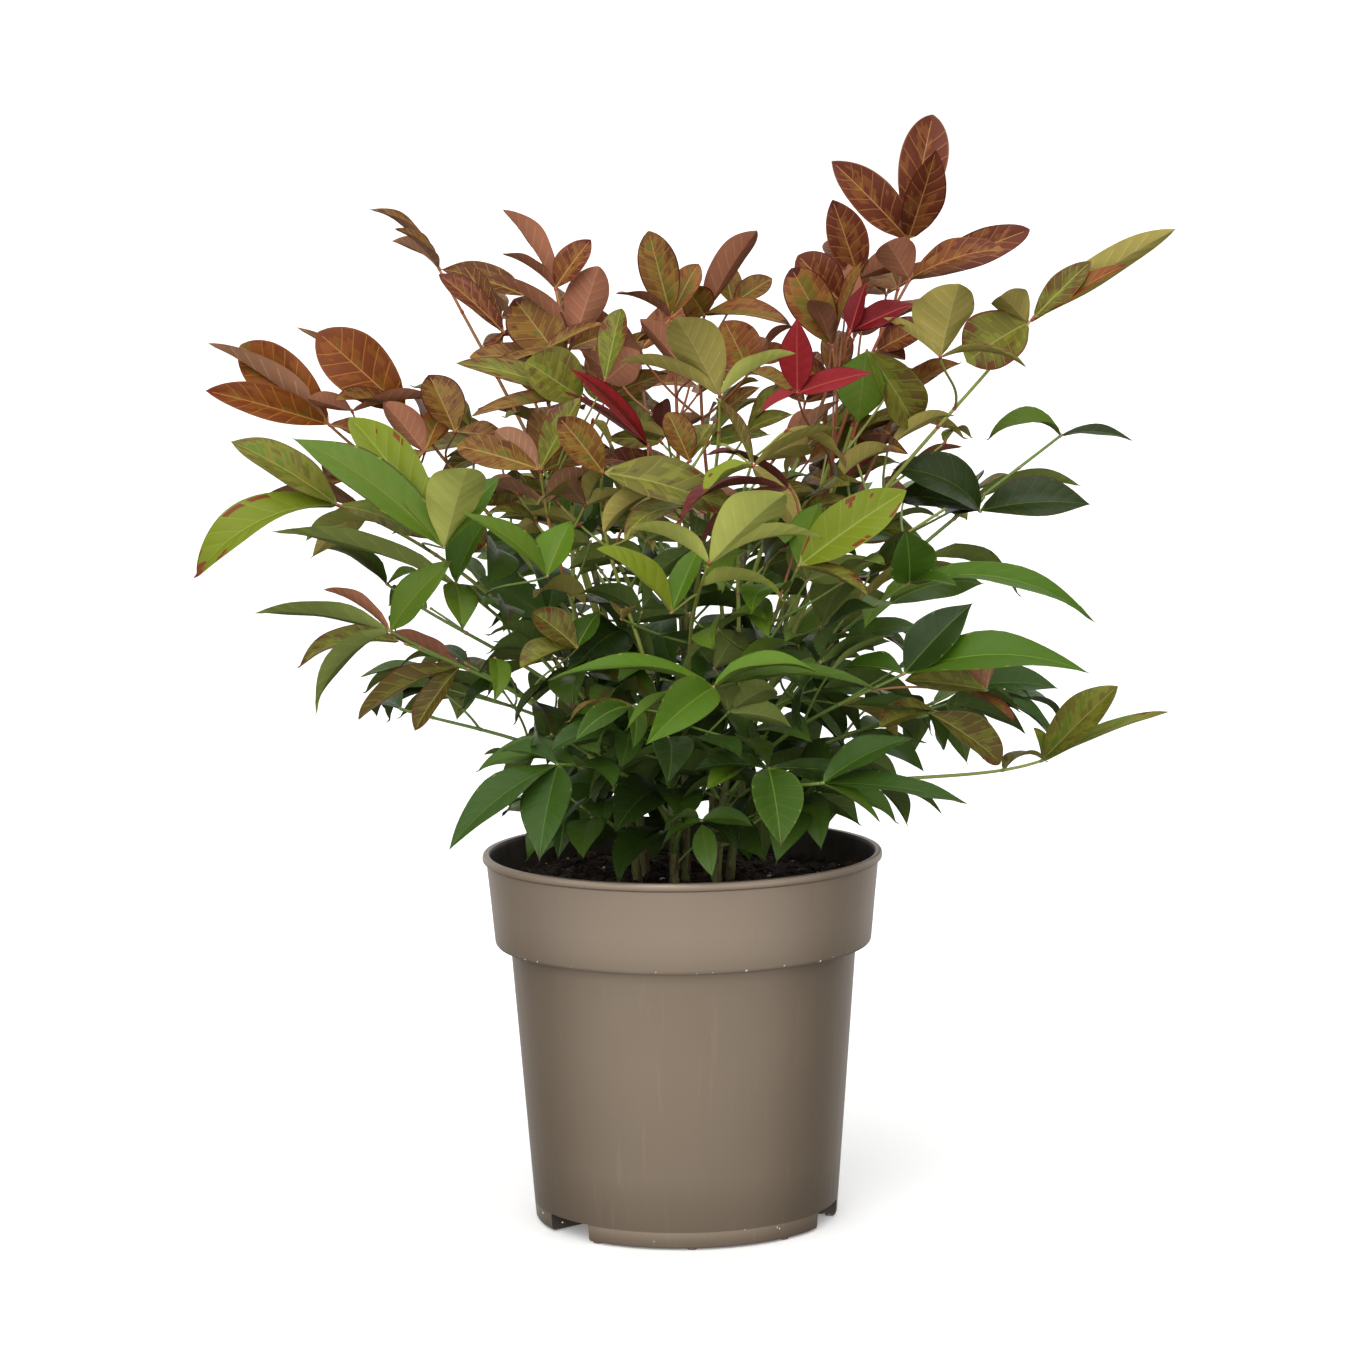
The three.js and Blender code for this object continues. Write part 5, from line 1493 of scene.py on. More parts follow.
# Where the photo shows sky through the crown, seen from the camera: right, up, radius.
SKY = (
    (102, -79, 5), (93, -70, 4), (106, -87, 5), (78, -70, 4), (-153, -19, 5), (-136, 46, 6),
    (-87, 124, 6), (-78, 188, 6), (131, 92, 5), (100, 135, 5), (-127, -16, 5), (83, 12, 5),
    (42, -29, 5), (171, -40, 5), (-81, -10, 5), (-115, -25, 5), (163, 69, 4), (57, 38, 4),
    (-93, -21, 4), (-80, -34, 4), (150, -39, 4), (159, 97, 4), (134, 5, 4), (47, 31, 4),
    (62, -20, 4), (-71, 173, 4), (-105, -14, 4), (-136, -22, 4), (181, -44, 4), (94, 32, 4),
    (-65, -14, 4), (161, -36, 4), (71, -56, 4), (-67, 185, 4), (-19, 169, 4), (-97, 161, 4),
    (132, -20, 4), (-76, -55, 4), (-63, 168, 4), (63, 94, 4), (161, 116, 4), (-113, 26, 4),
    (136, 127, 3), (116, 73, 3), (-128, 37, 3), (-78, -24, 3), (-81, 144, 3),
)
SKY_AT = np.array([place[:2] for place in SKY], float)
SKY_ROOM = np.array([place[2] + 1 for place in SKY], float)
CLEAR_VIEW = 11
SKY_SHARES = (0.2, 0.4, 0.6, 0.8, 1)
VIEW_SHARES = (0.25, 0.45, 0.65, 0.85)
VIEW_DEPTH = 2
TO_CAMERA = Vector((0, -1, 0.1))


# A leaflet that bends evenly from its joint to its tip.
def posed_leaf(joint, row):
    *tip, width, turn, arch, tint = row
    chord = Vector(tip) - joint
    ahead = chord.normalized()
    facing = (TO_CAMERA - ahead * TO_CAMERA.dot(ahead)).normalized()
    facing = turned(facing, ahead, turn if ahead.x < 0 else -turn)
    half = math.radians(arch) / 2
    return dict(
        root=joint, along=ahead * math.cos(half) + facing * math.sin(half),
        upper=facing * math.cos(half) - ahead * math.sin(half), side=0, key=0, posed=1,
        length=chord.length * half / math.sin(half), width=width, arch=arch, tint=tint,
    )


# Where a further spray may leave its frond's stalk: the shares tried, the lowest one, and how
# far below the nearest one in mm; then its number after its frond's.
EXTRA_SHARES = [0.3 + 0.02 * k for k in range(30)]
LOWEST_EXTRA, BELOW_NEAREST = 0.25, 9
EXTRA_INDEX = 90


# The stalk of a further spray, from the nearest part of the frond that bears it.
def extra_limb(row, fronds):
    _, bearer, joint, rows = row
    frond, joint = named(fronds, bearer), Vector(joint)
    curve = frond["stalk"]["curve"]
    share = min(EXTRA_SHARES, key=lambda share: (curve.point(share) - joint).length)
    share = max(LOWEST_EXTRA, share - BELOW_NEAREST / curve.length())
    foot, chord = curve.point(share), joint - curve.point(share)
    end = chord.normalized()
    start = blend((curve.tangent(share), 1), (end, 0.6))
    pull = chord.length * SPRAY_PULL
    spray = Curve(foot, foot + start * pull, joint - end * pull, joint)
    return make_limb(
        spray, SPRAY_FOOT_RADIUS, TWIG_TIP_RADIUS, outward_of(joint), rows[0][-1],
        [posed_leaf(joint, leaf) for leaf in rows], index=EXTRA_INDEX + frond["index"],
    )


# Where points stand in the camera's view, in mm to the right of and above the middle of the
# picture at the distance of the plant.
def camera_view(points):
    offset = points - np.array(CAMERA_PLACE) / MM
    depth = offset @ np.array(CAMERA_AHEAD)
    across, up = offset @ np.array(CAMERA_RIGHT), offset @ np.array(CAMERA_UP)
    return np.stack([across, up], axis=-1) / depth[..., None] * PLANT_DISTANCE


# ------------------------------------------------------------ growing the plant

RING_STEP = 4.0
JOINT_ROOM = 2.4
JOINT_RINGS = (-1.6, -0.8, 0, 0.8, 1.6)


# Shares of a limb's length at which it gets a ring, close together at its joints.
def ring_shares(curve, places):
    length = curve.length()
    shares = list(np.linspace(0, 1, max(3, math.ceil(length / RING_STEP)) + 1))
    for place in places:
        shares = [share for share in shares if abs(share - place) * length > JOINT_ROOM]
        shares += [place + shift / length for shift in JOINT_RINGS]
    return np.array(sorted(share for share in shares if 0 <= share <= 1))


def radius_at(limb, share):
    return between(limb["foot_radius"], limb["tip_radius"], share)


def limb_frames(limb, shares):
    slopes = limb["curve"].slopes(shares)
    uppers = [upper_side(Vector(slope), limb["outward"], 0) for slope in slopes]
    return limb["curve"].many(shares), slopes, np.array(uppers)


# A limb as it stands in the source: a three-sided tube, stepped between its joints.
def source_tube(limb, shapes):
    places = sorted(joint["place"] for joint in limb["joints"])
    length = limb["curve"].length()
    half = JOINT_LENGTH / 2 / length
    marks = [0] + [place + shift for place in places for shift in (-half, half)] + [1]
    shares = [0]
    for before, share in zip(marks, marks[1:]):
        count = max(1, math.ceil((share - before) * length / LONGEST_STEP))
        shares += [before + (share - before) * (k + 1) / count for k in range(count)]
    shares = np.clip(shares, 0, 1)
    tube(shapes, *limb_frames(limb, shares), radius_at(limb, shares), 3)


# All limbs of a frond: its stalk, its twigs and the sprays that its stalk bears.
def limbs_of(limb):
    yield limb
    for joint in limb["joints"]:
        for twig in joint["twigs"]:
            yield from limbs_of(twig)


# Some green twigs keep only a large end leaflet.
SINGLE = 0.55
SINGLE_LENGTH, SINGLE_WIDTH = 1.2, 1.25


def is_single(limb):
    if "key" not in limb or limb["tint"] not in GREENS:
        return False
    return chance(limb["key"], int(limb["length"] * 10), 31) < SINGLE


# Leaflets in the order that the source places them.
def leaflets_of(limb):
    if limb.get("name") in POSED:
        yield from (posed_leaf(limb["curve"].end, row) for row in POSED[limb["name"]])
    elif is_single(limb):
        end = limb["leaflets"][0]
        length, width = end["length"] * SINGLE_LENGTH, end["width"] * SINGLE_WIDTH
        yield dict(end, length=length, width=width, limb=limb)
    else:
        yield from (dict(leaf, limb=limb) for leaf in limb["leaflets"])
    for joint in sorted(limb["joints"], key=lambda joint: joint["place"]):
        for twig in joint["twigs"]:
            yield from leaflets_of(twig)
        yield from joint["leaflets"]


def plan_plant():
    rows = FRONT_FRONDS + back_fronds() + SPRAYS
    for index, row in enumerate(rows):
        row["index"] = index
    fronds = sorted((row for row in rows if not row["on"]), key=lambda row: row["tip"].z)
    sprays = [row for row in rows if row["on"]]
    canes = [make_cane(index, row) for index, row in enumerate(CANES)]
    for frond in fronds:
        choose_cane(frond, canes)
    standing = Standing()
    for cane in canes:
        space_seats(cane)
        standing.add(*samples(cane["curve"], CANE_FOOT_RADIUS, CANE_TIP_RADIUS), cane["name"])
    grow_stalks(fronds, sprays, standing)
    for row in rows:
        row["stalk"] = dress(row, standing)
    for spray in sprays:
        joint = dict(place=spray["at"], twigs=[spray["stalk"]], leaflets=[])
        named(fronds, spray["on"])["stalk"]["joints"].append(joint)
    return canes, fronds, standing


# Twigs with a finer pair: how far in and how low they end, and how many of them have none.
FINER_REACH, FINER_HEIGHT = 85, 330
WITHOUT_FINER = 0.6
FINER_PLACE = (0.5, 0.08)
FINER_OPENING = (56, 10)
FINER_LENGTH = (0.78, 0.1)
FINER_KEY = 20


# A finer pair of leaflets part of the way along each side twig.
def finer_pairs(frond):
    index = frond["index"]
    for limb in limbs_of(frond["stalk"]):
        tip = limb["curve"].end
        if "key" not in limb or tip.xy.length > FINER_REACH or tip.z > FINER_HEIGHT:
            continue
        key = limb["key"]
        if chance(index, key, 19) < WITHOUT_FINER:
            continue
        limb["finer"] = place = about(*FINER_PLACE, index, key, 20)
        joint, along = limb["curve"].point(place), limb["curve"].tangent(place)
        upper = upper_side(along, limb["outward"], 0)
        for side in (1, -1):
            opened = turned(along, upper, side * about(*FINER_OPENING, index, key, 21 + side))
            length = limb["length"] * about(*FINER_LENGTH, index, key, 24 + side)
            yield dict(
                root=joint, along=opened, upper=turned(upper, opened, -side * LEAF_TWIST),
                side=side, length=length, width=length * frond["wide"], arch=frond["arch"],
                tint=limb["tint"], key=key + FINER_KEY, limb=limb,
            )


# Shoots on the canes: how many, their shares of the cane, their turns, rises and lengths.
BASAL_SHOOTS = 13
BASAL_FOOT, BASAL_SPAN = 0.06, (0.5, 0.2)
BASAL_TURN, BASAL_STRAY = 137.5, 40
BASAL_RISE, BASAL_STEEPER, BASAL_FLATTER = (38, 26), 14, 22
BASAL_LENGTH = (34, 16)
BASAL_LEAF = (46, 8)
BASAL_INDEX = 40


# Short leafy shoots low on the canes, which fill the clump over the pot.
def basal_shoots(cane):
    index = cane["index"]
    for k in range(BASAL_SHOOTS):
        share = BASAL_FOOT + upward(*BASAL_SPAN, index, k, 801) * k / BASAL_SHOOTS
        bearing = about(cane["bearing"] + BASAL_TURN * k, BASAL_STRAY, index, k, 802)
        rise = about(*BASAL_RISE, index, k, 803)
        foot = cane["curve"].point(share)
        out, end = heading(bearing, rise + BASAL_STEEPER), heading(bearing, rise - BASAL_FLATTER)
        tip = foot + blend((out, 1), (end, 0.8)) * about(*BASAL_LENGTH, index, k, 804)
        leaf = about(*BASAL_LEAF, index, k, 805)
        yield shoot(foot, out, end, tip, leaf, BASAL_INDEX + index, k)


# Shoots on stalks: the least length of the stalk, their shares of it, turns and lengths.
INNER_STALK = 90
INNER_PLACES = (0.22, 0.36)
INNER_OPENING, INNER_TURN = (62, 12), 40
INNER_LENGTH = (22, 8)
INNER_LEAF = (42, 6)
INNER_INDEX = 60


# Short twigs with three leaflets on the bare lower part of a frond's stalk.
def inner_shoots(frond):
    index, curve = frond["index"], frond["stalk"]["curve"]
    if curve.length() < INNER_STALK:
        return
    for k, share in enumerate(INNER_PLACES):
        foot, along = curve.point(share), curve.tangent(share)
        upper = upper_side(along, frond["stalk"]["outward"], 0)
        side = 1 if k % 2 else -1
        out = turned(along, upper, about(*INNER_OPENING, index, k, 811) * side)
        out = turned(out, along, INNER_TURN * spread(index, k, 812))
        end = blend((out, 1), (along, 0.5))
        tip = foot + blend((out, 1), (end, 0.6)) * about(*INNER_LENGTH, index, k, 813)
        leaf = about(*INNER_LEAF, index, k, 814)
        yield shoot(foot, out, end, tip, leaf, INNER_INDEX + index, k)


# Tints of shoots by the height up to which they go.
SHOOT_TINTS = (
    (215, ("deep", "deep", "deep"), 820),
    (300, ("green", "dark", "deep"), 820),
    (math.inf, ("olive", "green", "copper"), 821),
)
SHOOT_PULL = 0.35
SHOOT_FAN, SHOOT_ROLL = (52, 8), 26
SHOOT_WIDE, SHOOT_ARCH = 0.44, 40
SHOOT_KEY = 100


def shoot(foot, out, end, tip, length, index, k):
    pull = (tip - foot).length * SHOOT_PULL
    curve = Curve(foot, foot + out * pull, tip - end * pull, tip)
    tints, seed = next(row[1:] for row in SHOOT_TINTS if tip.z <= row[0])
    tint = tints[int(3 * chance(index, k, seed))]
    fan, roll = about(*SHOOT_FAN, index, k, 822), SHOOT_ROLL * spread(index, k, 823)
    outward = outward_of(tip)
    leaflets = three_leaflets(
        tip, end, outward, fan, roll, length, SHOOT_WIDE, SHOOT_ARCH, tint, SHOOT_KEY + k
    )
    radii = SPRAY_FOOT_RADIUS, TWIG_TIP_RADIUS
    return make_limb(curve, *radii, outward, tint, leaflets, index=index)


# Fronds whose leaflets are smaller, or only slimmer, than the room that their solids give them.
LEAF_SCALE = dict(
    top_mid_left=0.82, top_mid_right=0.8, top_left_mid=0.82, spire=0.9, top_right=0.86,
    upper_right_far=0.86, upper_right_near=0.86, mid_left=0.92, low_front=0.78,
    centre_olive=0.9, mid_centre=0.88, right_hang=0.9, right_high=0.9,
    back_1=0.9, back_4=0.9, back_7=0.9, back_10=0.9,
)
LEAF_SLIM = dict(
    right_lowest=0.7, long_right=0.68, far_left_low=0.9, right_mid=0.84, right_low_near=0.84,
    left_mid_high=0.85, centre_olive=0.85, mid_centre=0.85, front_green=0.9,
)


OLIVE_ODD_ABOVE, BRONZE_SHARE, WINE_SHARE = 270, 0.34, 0.03
GREEN_ODD_REACH, OLIVE_SHARE = 80, 0.14
DEEP_BELOW, DEEP_REACH, DEEP_STRAY = 285, 80, 22
DEEP_WIDER_BELOW, DEEP_WIDENS = 240, 0.4


# Here and there a leaflet has a colour of its own: bronze or wine among the olive ones, and
# olive among the green ones away from the middle. Green ones inside and low are deep green.
def own_tint(leaf, serial):
    tint, dice = leaf["tint"], chance(serial, 34)
    end = leaf["root"] + leaf["along"] * leaf["length"]
    reach = end.xy.length
    if leaf["key"] and tint == "olive" and end.z > OLIVE_ODD_ABOVE and dice < BRONZE_SHARE:
        return "wine" if dice < WINE_SHARE else "bronze"
    if leaf["key"] and tint in ("green", "bright"):
        if reach > GREEN_ODD_REACH and dice < OLIVE_SHARE:
            return "olive"
        deep_reach = about(DEEP_REACH, DEEP_STRAY, serial, 33)
        deep_reach += DEEP_WIDENS * max(0, DEEP_WIDER_BELOW - end.z)
        if end.z < DEEP_BELOW and reach < deep_reach:
            return "deep"
    return tint


def node_points(name):
    mesh = bpy.data.objects[name].data
    points = [vertex.co / MM for vertex in mesh.vertices]
    return points, [tuple(polygon.vertices) for polygon in mesh.polygons]


class Foliage:
    """The leaflets grown so far, with what they keep clear of and the posed ones in view."""

    def __init__(self, canes, fronds):
        self.placed, self.grown, self.seen = Placed(), [], []
        for name in ["pot", "soil"] + [cane["name"] for cane in canes]:
            self.placed.add(name, *node_points(name))
        for frond in fronds:
            shapes = Shapes()
            for limb in limbs_of(frond["stalk"]):
                source_tube(limb, shapes)
            faces = [tuple(face) for group in (shapes.quads, shapes.tris)
                     for face in np.vstack(group).tolist()]
            self.placed.add(frond["name"], np.vstack(shapes.points).tolist(), faces)

    # Whether a leaflet would hide a posed one or stand where the photo shows sky.
    def shades(self, leaf):
        points = seen_points(leaf, SKY_SHARES)
        if np.any(apart(points, SKY_AT) < SKY_ROOM):
            return True
        return any(
            middle_depth(leaf) < depth and np.min(apart(points, spots)) < CLEAR_VIEW
            for spots, depth in self.seen
        )

    # The leaflet as it has grown, or nothing where it has no room or would be in the way.
    def grow(self, leaf, owner, index):
        if leaf.get("posed"):
            self.placed.add_leaf(leaf, owner)
            self.seen.append((seen_points(leaf, VIEW_SHARES), middle_depth(leaf) + VIEW_DEPTH))
            found = dict(leaf)
        elif self.shades(leaf):
            return None
        else:
            found = self.placed.place(leaf, owner)
            if not found:
                return None
            scale, slim = LEAF_SCALE.get(owner, 1), LEAF_SLIM.get(owner, 1)
            found.update(length=found["length"] * scale, width=found["width"] * scale * slim)
            found["tint"] = own_tint(found, len(self.grown))
        found.update(owner=index, serial=len(self.grown))
        self.grown.append(found)
        return found


def seen_points(leaf, shares):
    return camera_view(np.array([midrib(leaf, share)[0] for share in shares]))


def middle_depth(leaf):
    return leaf["root"].y + 0.5 * leaf["along"].y * leaf["length"]


def apart(points, others):
    return np.linalg.norm(points[:, None] - others[None], axis=-1)


SHOOT_FREE, SHOOT_ROOM = 7, 0.5


# Posed leaflets grow first, then those of the fronds, the finer pairs and the shoots.
def place_leaflets(canes, fronds, standing):
    foliage = Foliage(canes, fronds)
    kept = []
    for row in EXTRA_SPRAYS:
        kept.append(extra_limb(row, fronds))
        for leaf in kept[-1]["leaflets"]:
            foliage.grow(leaf, row[1], kept[-1]["index"])
    every = [(leaf, frond) for frond in fronds for leaf in leaflets_of(frond["stalk"])]
    every.sort(key=lambda pair: not pair[0].get("posed"))
    every += [(leaf, frond) for frond in fronds for leaf in finer_pairs(frond)]
    for leaf, frond in every:
        if foliage.grow(leaf, frond["name"], frond["index"]) and "limb" in leaf:
            leaf["limb"]["leafy"] = True
    shoots = [(limb, cane["name"]) for cane in canes for limb in basal_shoots(cane)]
    shoots += [(limb, frond["name"]) for frond in fronds for limb in inner_shoots(frond)]
    for limb, owner in shoots:
        points, radii = samples(limb["curve"], limb["foot_radius"], limb["tip_radius"])
        if standing.room(points, radii, owner, limb["curve"].start, SHOOT_FREE) < SHOOT_ROOM:
            continue
        if any([foliage.grow(leaf, owner, limb["index"]) for leaf in limb["leaflets"]]):
            standing.add(points, radii, owner)
            kept.append(limb)
    return foliage.grown, kept


CANES_GROWN, FRONDS, STANDING = plan_plant()
LEAVES, SHOOTS = place_leaflets(CANES_GROWN, FRONDS, STANDING)
FROND_NODES = [f"frond_{frond['name']}" for frond in FRONDS]


def leaf_piece(tint):
    name = f"leaves_{tint}"
    leaves = [leaf for leaf in LEAVES if leaf["tint"] == tint]
    mesh = leaf_mesh(name, leaves, FINE_GRID if tint in WARM else PLAIN_GRID)
    own = [f"frond_{frond['name']}" for frond in FRONDS if frond["tint"] == tint]
    piece(name, mesh, leaf_materials(tint), own)


for tint in TINTS:
    leaf_piece(tint)

# ------------------------------------------------------------ stalks, twigs and joints

STALK_GREEN, STALK_LIME, STALK_ORANGE, STALK_RED = range(4)
STALK_COLOURS = (
    ("stalk_green", (112, 136, 58)),
    ("stalk_lime", (150, 158, 74)),
    ("stalk_orange", (168, 114, 64)),
    ("stalk_red", (150, 88, 54)),
)
STALK_TONES = dict(
    lime=STALK_LIME, bronze=STALK_ORANGE, rust=STALK_ORANGE, copper=STALK_RED, olive=STALK_LIME,
    dark=STALK_GREEN, green=STALK_GREEN, deep=STALK_GREEN, bright=STALK_GREEN,
    crimson=STALK_RED, wine=STALK_RED,
)
JOINT_RED, JOINT_PINK, JOINT_GREEN = range(3)
JOINT_COLOURS = (
    ("joint_red", (164, 76, 52)),
    ("joint_pink", (158, 126, 80)),
    ("joint_green", (110, 130, 60)),
)
RED_TINTS = (*WARM, "crimson", "wine")
RED_ABOVE, PINK_ABOVE = 290, 240


def plain_materials(table, roughness):
    made = []
    for name, colour in table:
        look = Look(name, colour, roughness)
        look.bump(look.noise(700, 700, 160), 0.35, 0.3)
        made.append(look.material)
    return made


def joint_look(limb, place):
    height = limb["curve"].point(place).z
    if limb["tint"] in RED_TINTS and height > RED_ABOVE:
        return JOINT_RED
    return JOINT_PINK if height > PINK_ABOVE else JOINT_GREEN


# A joint's five rings: places along a limb, the same past its tip, and radii beside its own.
SWELLING_PLACES = (-1.5, -1.0, -0.3, 0.5, 1.2)
END_SWELLING_PLACES = (-1.5, -0.9, 0, 0.8, 1.3)
SWELLING_RADII = (0.7, 1.1, 1.3, 1.15, 0.6)
END_FROM = 0.98

# Limbs are thinner than the tubes of the source.
STALK_THIN, TWIG_THIN, SHOOT_THIN = 0.78, 0.66, 0.62


def swelling(shapes, limb, place):
    shares = place + np.array(SWELLING_PLACES) / limb["curve"].length()
    points, slopes, uppers = limb_frames(limb, np.clip(shares, 0, 1))
    if place > END_FROM:
        points = points[2] + slopes[2] * np.array(END_SWELLING_PLACES)[:, None]
    radii = STALK_THIN * radius_at(limb, place) * np.array(SWELLING_RADII)
    tube(shapes, points, slopes, uppers, radii, 7, [joint_look(limb, place)] * 4)


def is_leafy(joint):
    return joint["leaflets"] or any(
        "leafy" in twig or twig.get("name") in POSED for twig in joint["twigs"]
    )


# Places of a limb's rings and of its joints. A stalk that has lost its leaflets ends where it
# last bears a leafy twig.
def limb_places(limb, own):
    places = [joint["place"] for joint in limb["joints"]]
    if "finer" in limb:
        places.append(limb["finer"])
    shares = ring_shares(limb["curve"], places)
    if not own or "leafy" in limb or limb["name"] in POSED:
        return shares, places + [1]
    leafy = [joint["place"] for joint in limb["joints"] if is_leafy(joint)]
    reach = max(leafy, default=0.5)
    return shares[shares <= reach + 0.01], [place for place in places if place <= reach]


# Two rings that carry the foot of a stalk on into its cane: how far in to the cane's axis, how
# far down in mm, and their radii. The stalk's own first ring is a collar.
SEAT_RINGS = ((0.95, 2.2, 1.2), (0.5, 0.8, 1.45))
COLLAR = 1.2
LIME_FOOT = 0.45


def seated(frond, points, slopes, uppers, radii):
    inward = np.array(frond["cane"]["curve"].point(frond["share"])) - points[0]
    feet = [points[0] + inward * share - slopes[0] * down for share, down, _ in SEAT_RINGS]
    slopes, uppers = (np.vstack([rows[:1], rows[:1], rows]) for rows in (slopes, uppers))
    radii = np.concatenate([[COLLAR * radii[0]], radii[1:]])
    return (
        np.vstack([*feet, points]), slopes, uppers,
        np.concatenate([[radius for _, _, radius in SEAT_RINGS], radii]),
    )


def stalk_meshes():
    stalks, twigs, joints = Shapes(), Shapes(), Shapes()
    for frond in FRONDS:
        for limb in limbs_of(frond["stalk"]):
            own = limb is frond["stalk"]
            if "key" in limb and "leafy" not in limb:
                continue
            shares, places = limb_places(limb, own)
            radii = (STALK_THIN if own else TWIG_THIN) * radius_at(limb, shares)
            rings = (*limb_frames(limb, shares), radii)
            looks = np.full(len(shares) - 1, STALK_TONES[limb["tint"]])
            if own:
                if looks[0] != STALK_GREEN:
                    looks[shares[:-1] < LIME_FOOT] = STALK_LIME
                rings = seated(frond, *rings)
                looks = np.concatenate([looks[:1], looks[:1], looks])
            tube(stalks if own else twigs, *rings, 8 if own else 7, looks)
            for place in places:
                swelling(joints, limb, place)
    for limb in SHOOTS:
        shares = ring_shares(limb["curve"], [])
        looks = np.full(len(shares) - 1, STALK_TONES[limb["tint"]])
        tube(twigs, *limb_frames(limb, shares), SHOOT_THIN * radius_at(limb, shares), 6, looks)
        swelling(joints, limb, 1)
    return stalks, twigs, joints


STALKS, TWIGS, JOINTS = stalk_meshes()
STALK_MATERIALS = plain_materials(STALK_COLOURS, 0.45)
form("stalks", STALKS, STALK_MATERIALS, FROND_NODES)
form("twigs", TWIGS, STALK_MATERIALS)
form("joints", JOINTS, plain_materials(JOINT_COLOURS, 0.4))

# The bark's relief in mm: a ring every so far, with a ridge and a groove, and fissures.
CANE_STEP, CANE_SIDES = 1.6, 14
RING_EVERY, RING_STRAY = 15, 9
RIDGE_AT, RIDGE_WIDE, RIDGE_HEIGHT = 7, 0.9, 0.42
GROOVE_AT, GROOVE_WIDE, GROOVE_DEPTH = 9, 0.8, 0.12
FISSURE_LONG, FISSURE_SHORT = 0.13, 0.09
CANE_THIN = 0.92
CANE_SUNK = 4


# Canes with the relief of their bark: rings where old leaves sat, and shallow fissures.
def cane_shapes():
    shapes = Shapes()
    for cane in CANES_GROWN:
        index, length = cane["index"], cane["length"]
        shares = np.linspace(0, 1, math.ceil(length / CANE_STEP) + 1)
        points, slopes = cane["curve"].many(shares), cane["curve"].slopes(shares)
        radii = np.zeros((len(shares), CANE_SIDES))
        for i, share in enumerate(shares):
            ring = (share * length + RING_STRAY * chance(index, 500)) % RING_EVERY
            relief = RIDGE_HEIGHT * math.exp(-(((ring - RIDGE_AT) / RIDGE_WIDE) ** 2))
            relief -= GROOVE_DEPTH * math.exp(-(((ring - GROOVE_AT) / GROOVE_WIDE) ** 2))
            for k in range(CANE_SIDES):
                fissure = FISSURE_LONG * spread(index, k, 501)
                fissure += FISSURE_SHORT * spread(index, k, i // 4, 502)
                radii[i, k] = CANE_THIN * cane_radius(share) + relief + fissure * (1 - 0.6 * share)
        points[0, 2] -= CANE_SUNK
        points[-1] += slopes[-1] * 0.5
        radii[-1] *= 0.55
        uppers = repeated(heading(cane["bearing"], 0), len(shares))
        tube(shapes, points, slopes, uppers, radii, CANE_SIDES)
    return shapes


def bark_material():
    look = Look("cane_bark", (112, 118, 58), 0.62)
    look.tint(look.noise(420, 420, 60, detail=4, sharp=(0.42, 0.62)), (82, 62, 40))
    look.tint(look.noise(900, 900, 220, detail=2, sharp=(0.6, 0.72)), (140, 128, 84))
    look.bump(look.noise(1200, 1200, 160, detail=4), 0.6, 0.4)
    return look.material


form("canes", cane_shapes(), [bark_material()], [cane["name"] for cane in CANES_GROWN])

# ------------------------------------------------------------ pot

BASE_RADIUS = 64.6
BODY_TOP_RADIUS = 73.6
COLLAR_BOTTOM = 119
WALL = 1.7
POT_SIDES = 200
CHANNEL_BEARINGS = (-140.5, -20.5, 99.5)
CHANNEL_WIDTH = 25
CHANNEL_HEIGHT = 8
CHANNEL_START = 18
DRAIN_RADIUS = 5
DRAIN_REACH = 46
STAND = 0.7  # the foot stands this much clear on its nubs
BODY_FOOT = 1.6


def body_radius(height):
    rise = height - BODY_FOOT
    return BASE_RADIUS + (BODY_TOP_RADIUS - BASE_RADIUS) * rise / (COLLAR_BOTTOM - BODY_FOOT)


# Outside from the middle of the base up, over the rolled lip, and down inside: radius, height.
POT_PROFILE = (
    (0, STAND), (30, STAND), (62.8, STAND), (63.7, 0.85), (64.3, 1.25), (64.6, 1.9),
    (body_radius(7.2), 7.2), (body_radius(7.5) - 0.12, 7.5), (body_radius(7.9) - 0.12, 7.9),
    (body_radius(8.2), 8.2), (body_radius(30), 30), (body_radius(60), 60), (body_radius(90), 90),
    (body_radius(117), 117), (BODY_TOP_RADIUS, 118.6), (BODY_TOP_RADIUS + 0.5, COLLAR_BOTTOM),
    (78.9, 119.15), (79.5, 119.4), (79.9, 119.9), (80.1, 120.8), (80.7, 127), (81.6, 137),
    (82.7, 148), (83.3, 154.2), (83.7, 154.5), (84.4, 154.7), (84.8, 155.1), (85, 155.8),
    (84.98, 156.6), (84.8, 157.3), (84.4, 157.8), (83.8, 158), (82.9, 157.98), (82.2, 157.7),
    (81.8, 157.1), (81.6, 156), (81.5, 154), (80.2, 138), (78.5, 121.4), (77.9, 120.8),
    (73.2, 119.6), (72.3, 118.8), (71.9, 117.6), (68.3, 60), (63.1, 3.0), (62.6, 2.5),
    (61.8, 2.2), (0, 2.2),
)


def lathe_mesh(name, profile, sides):
    rings = [(radius, height) for radius, height in profile if radius > 0]
    points = [
        (radius * math.cos(turn), radius * math.sin(turn), height)
        for radius, height in rings for turn in around(sides)
    ]
    poles = [(0, 0, profile[0][1]), (0, 0, profile[-1][1])]
    shapes = Shapes()
    shapes.add(points + poles, *ring_faces(len(rings), sides))
    return shapes.mesh(name)


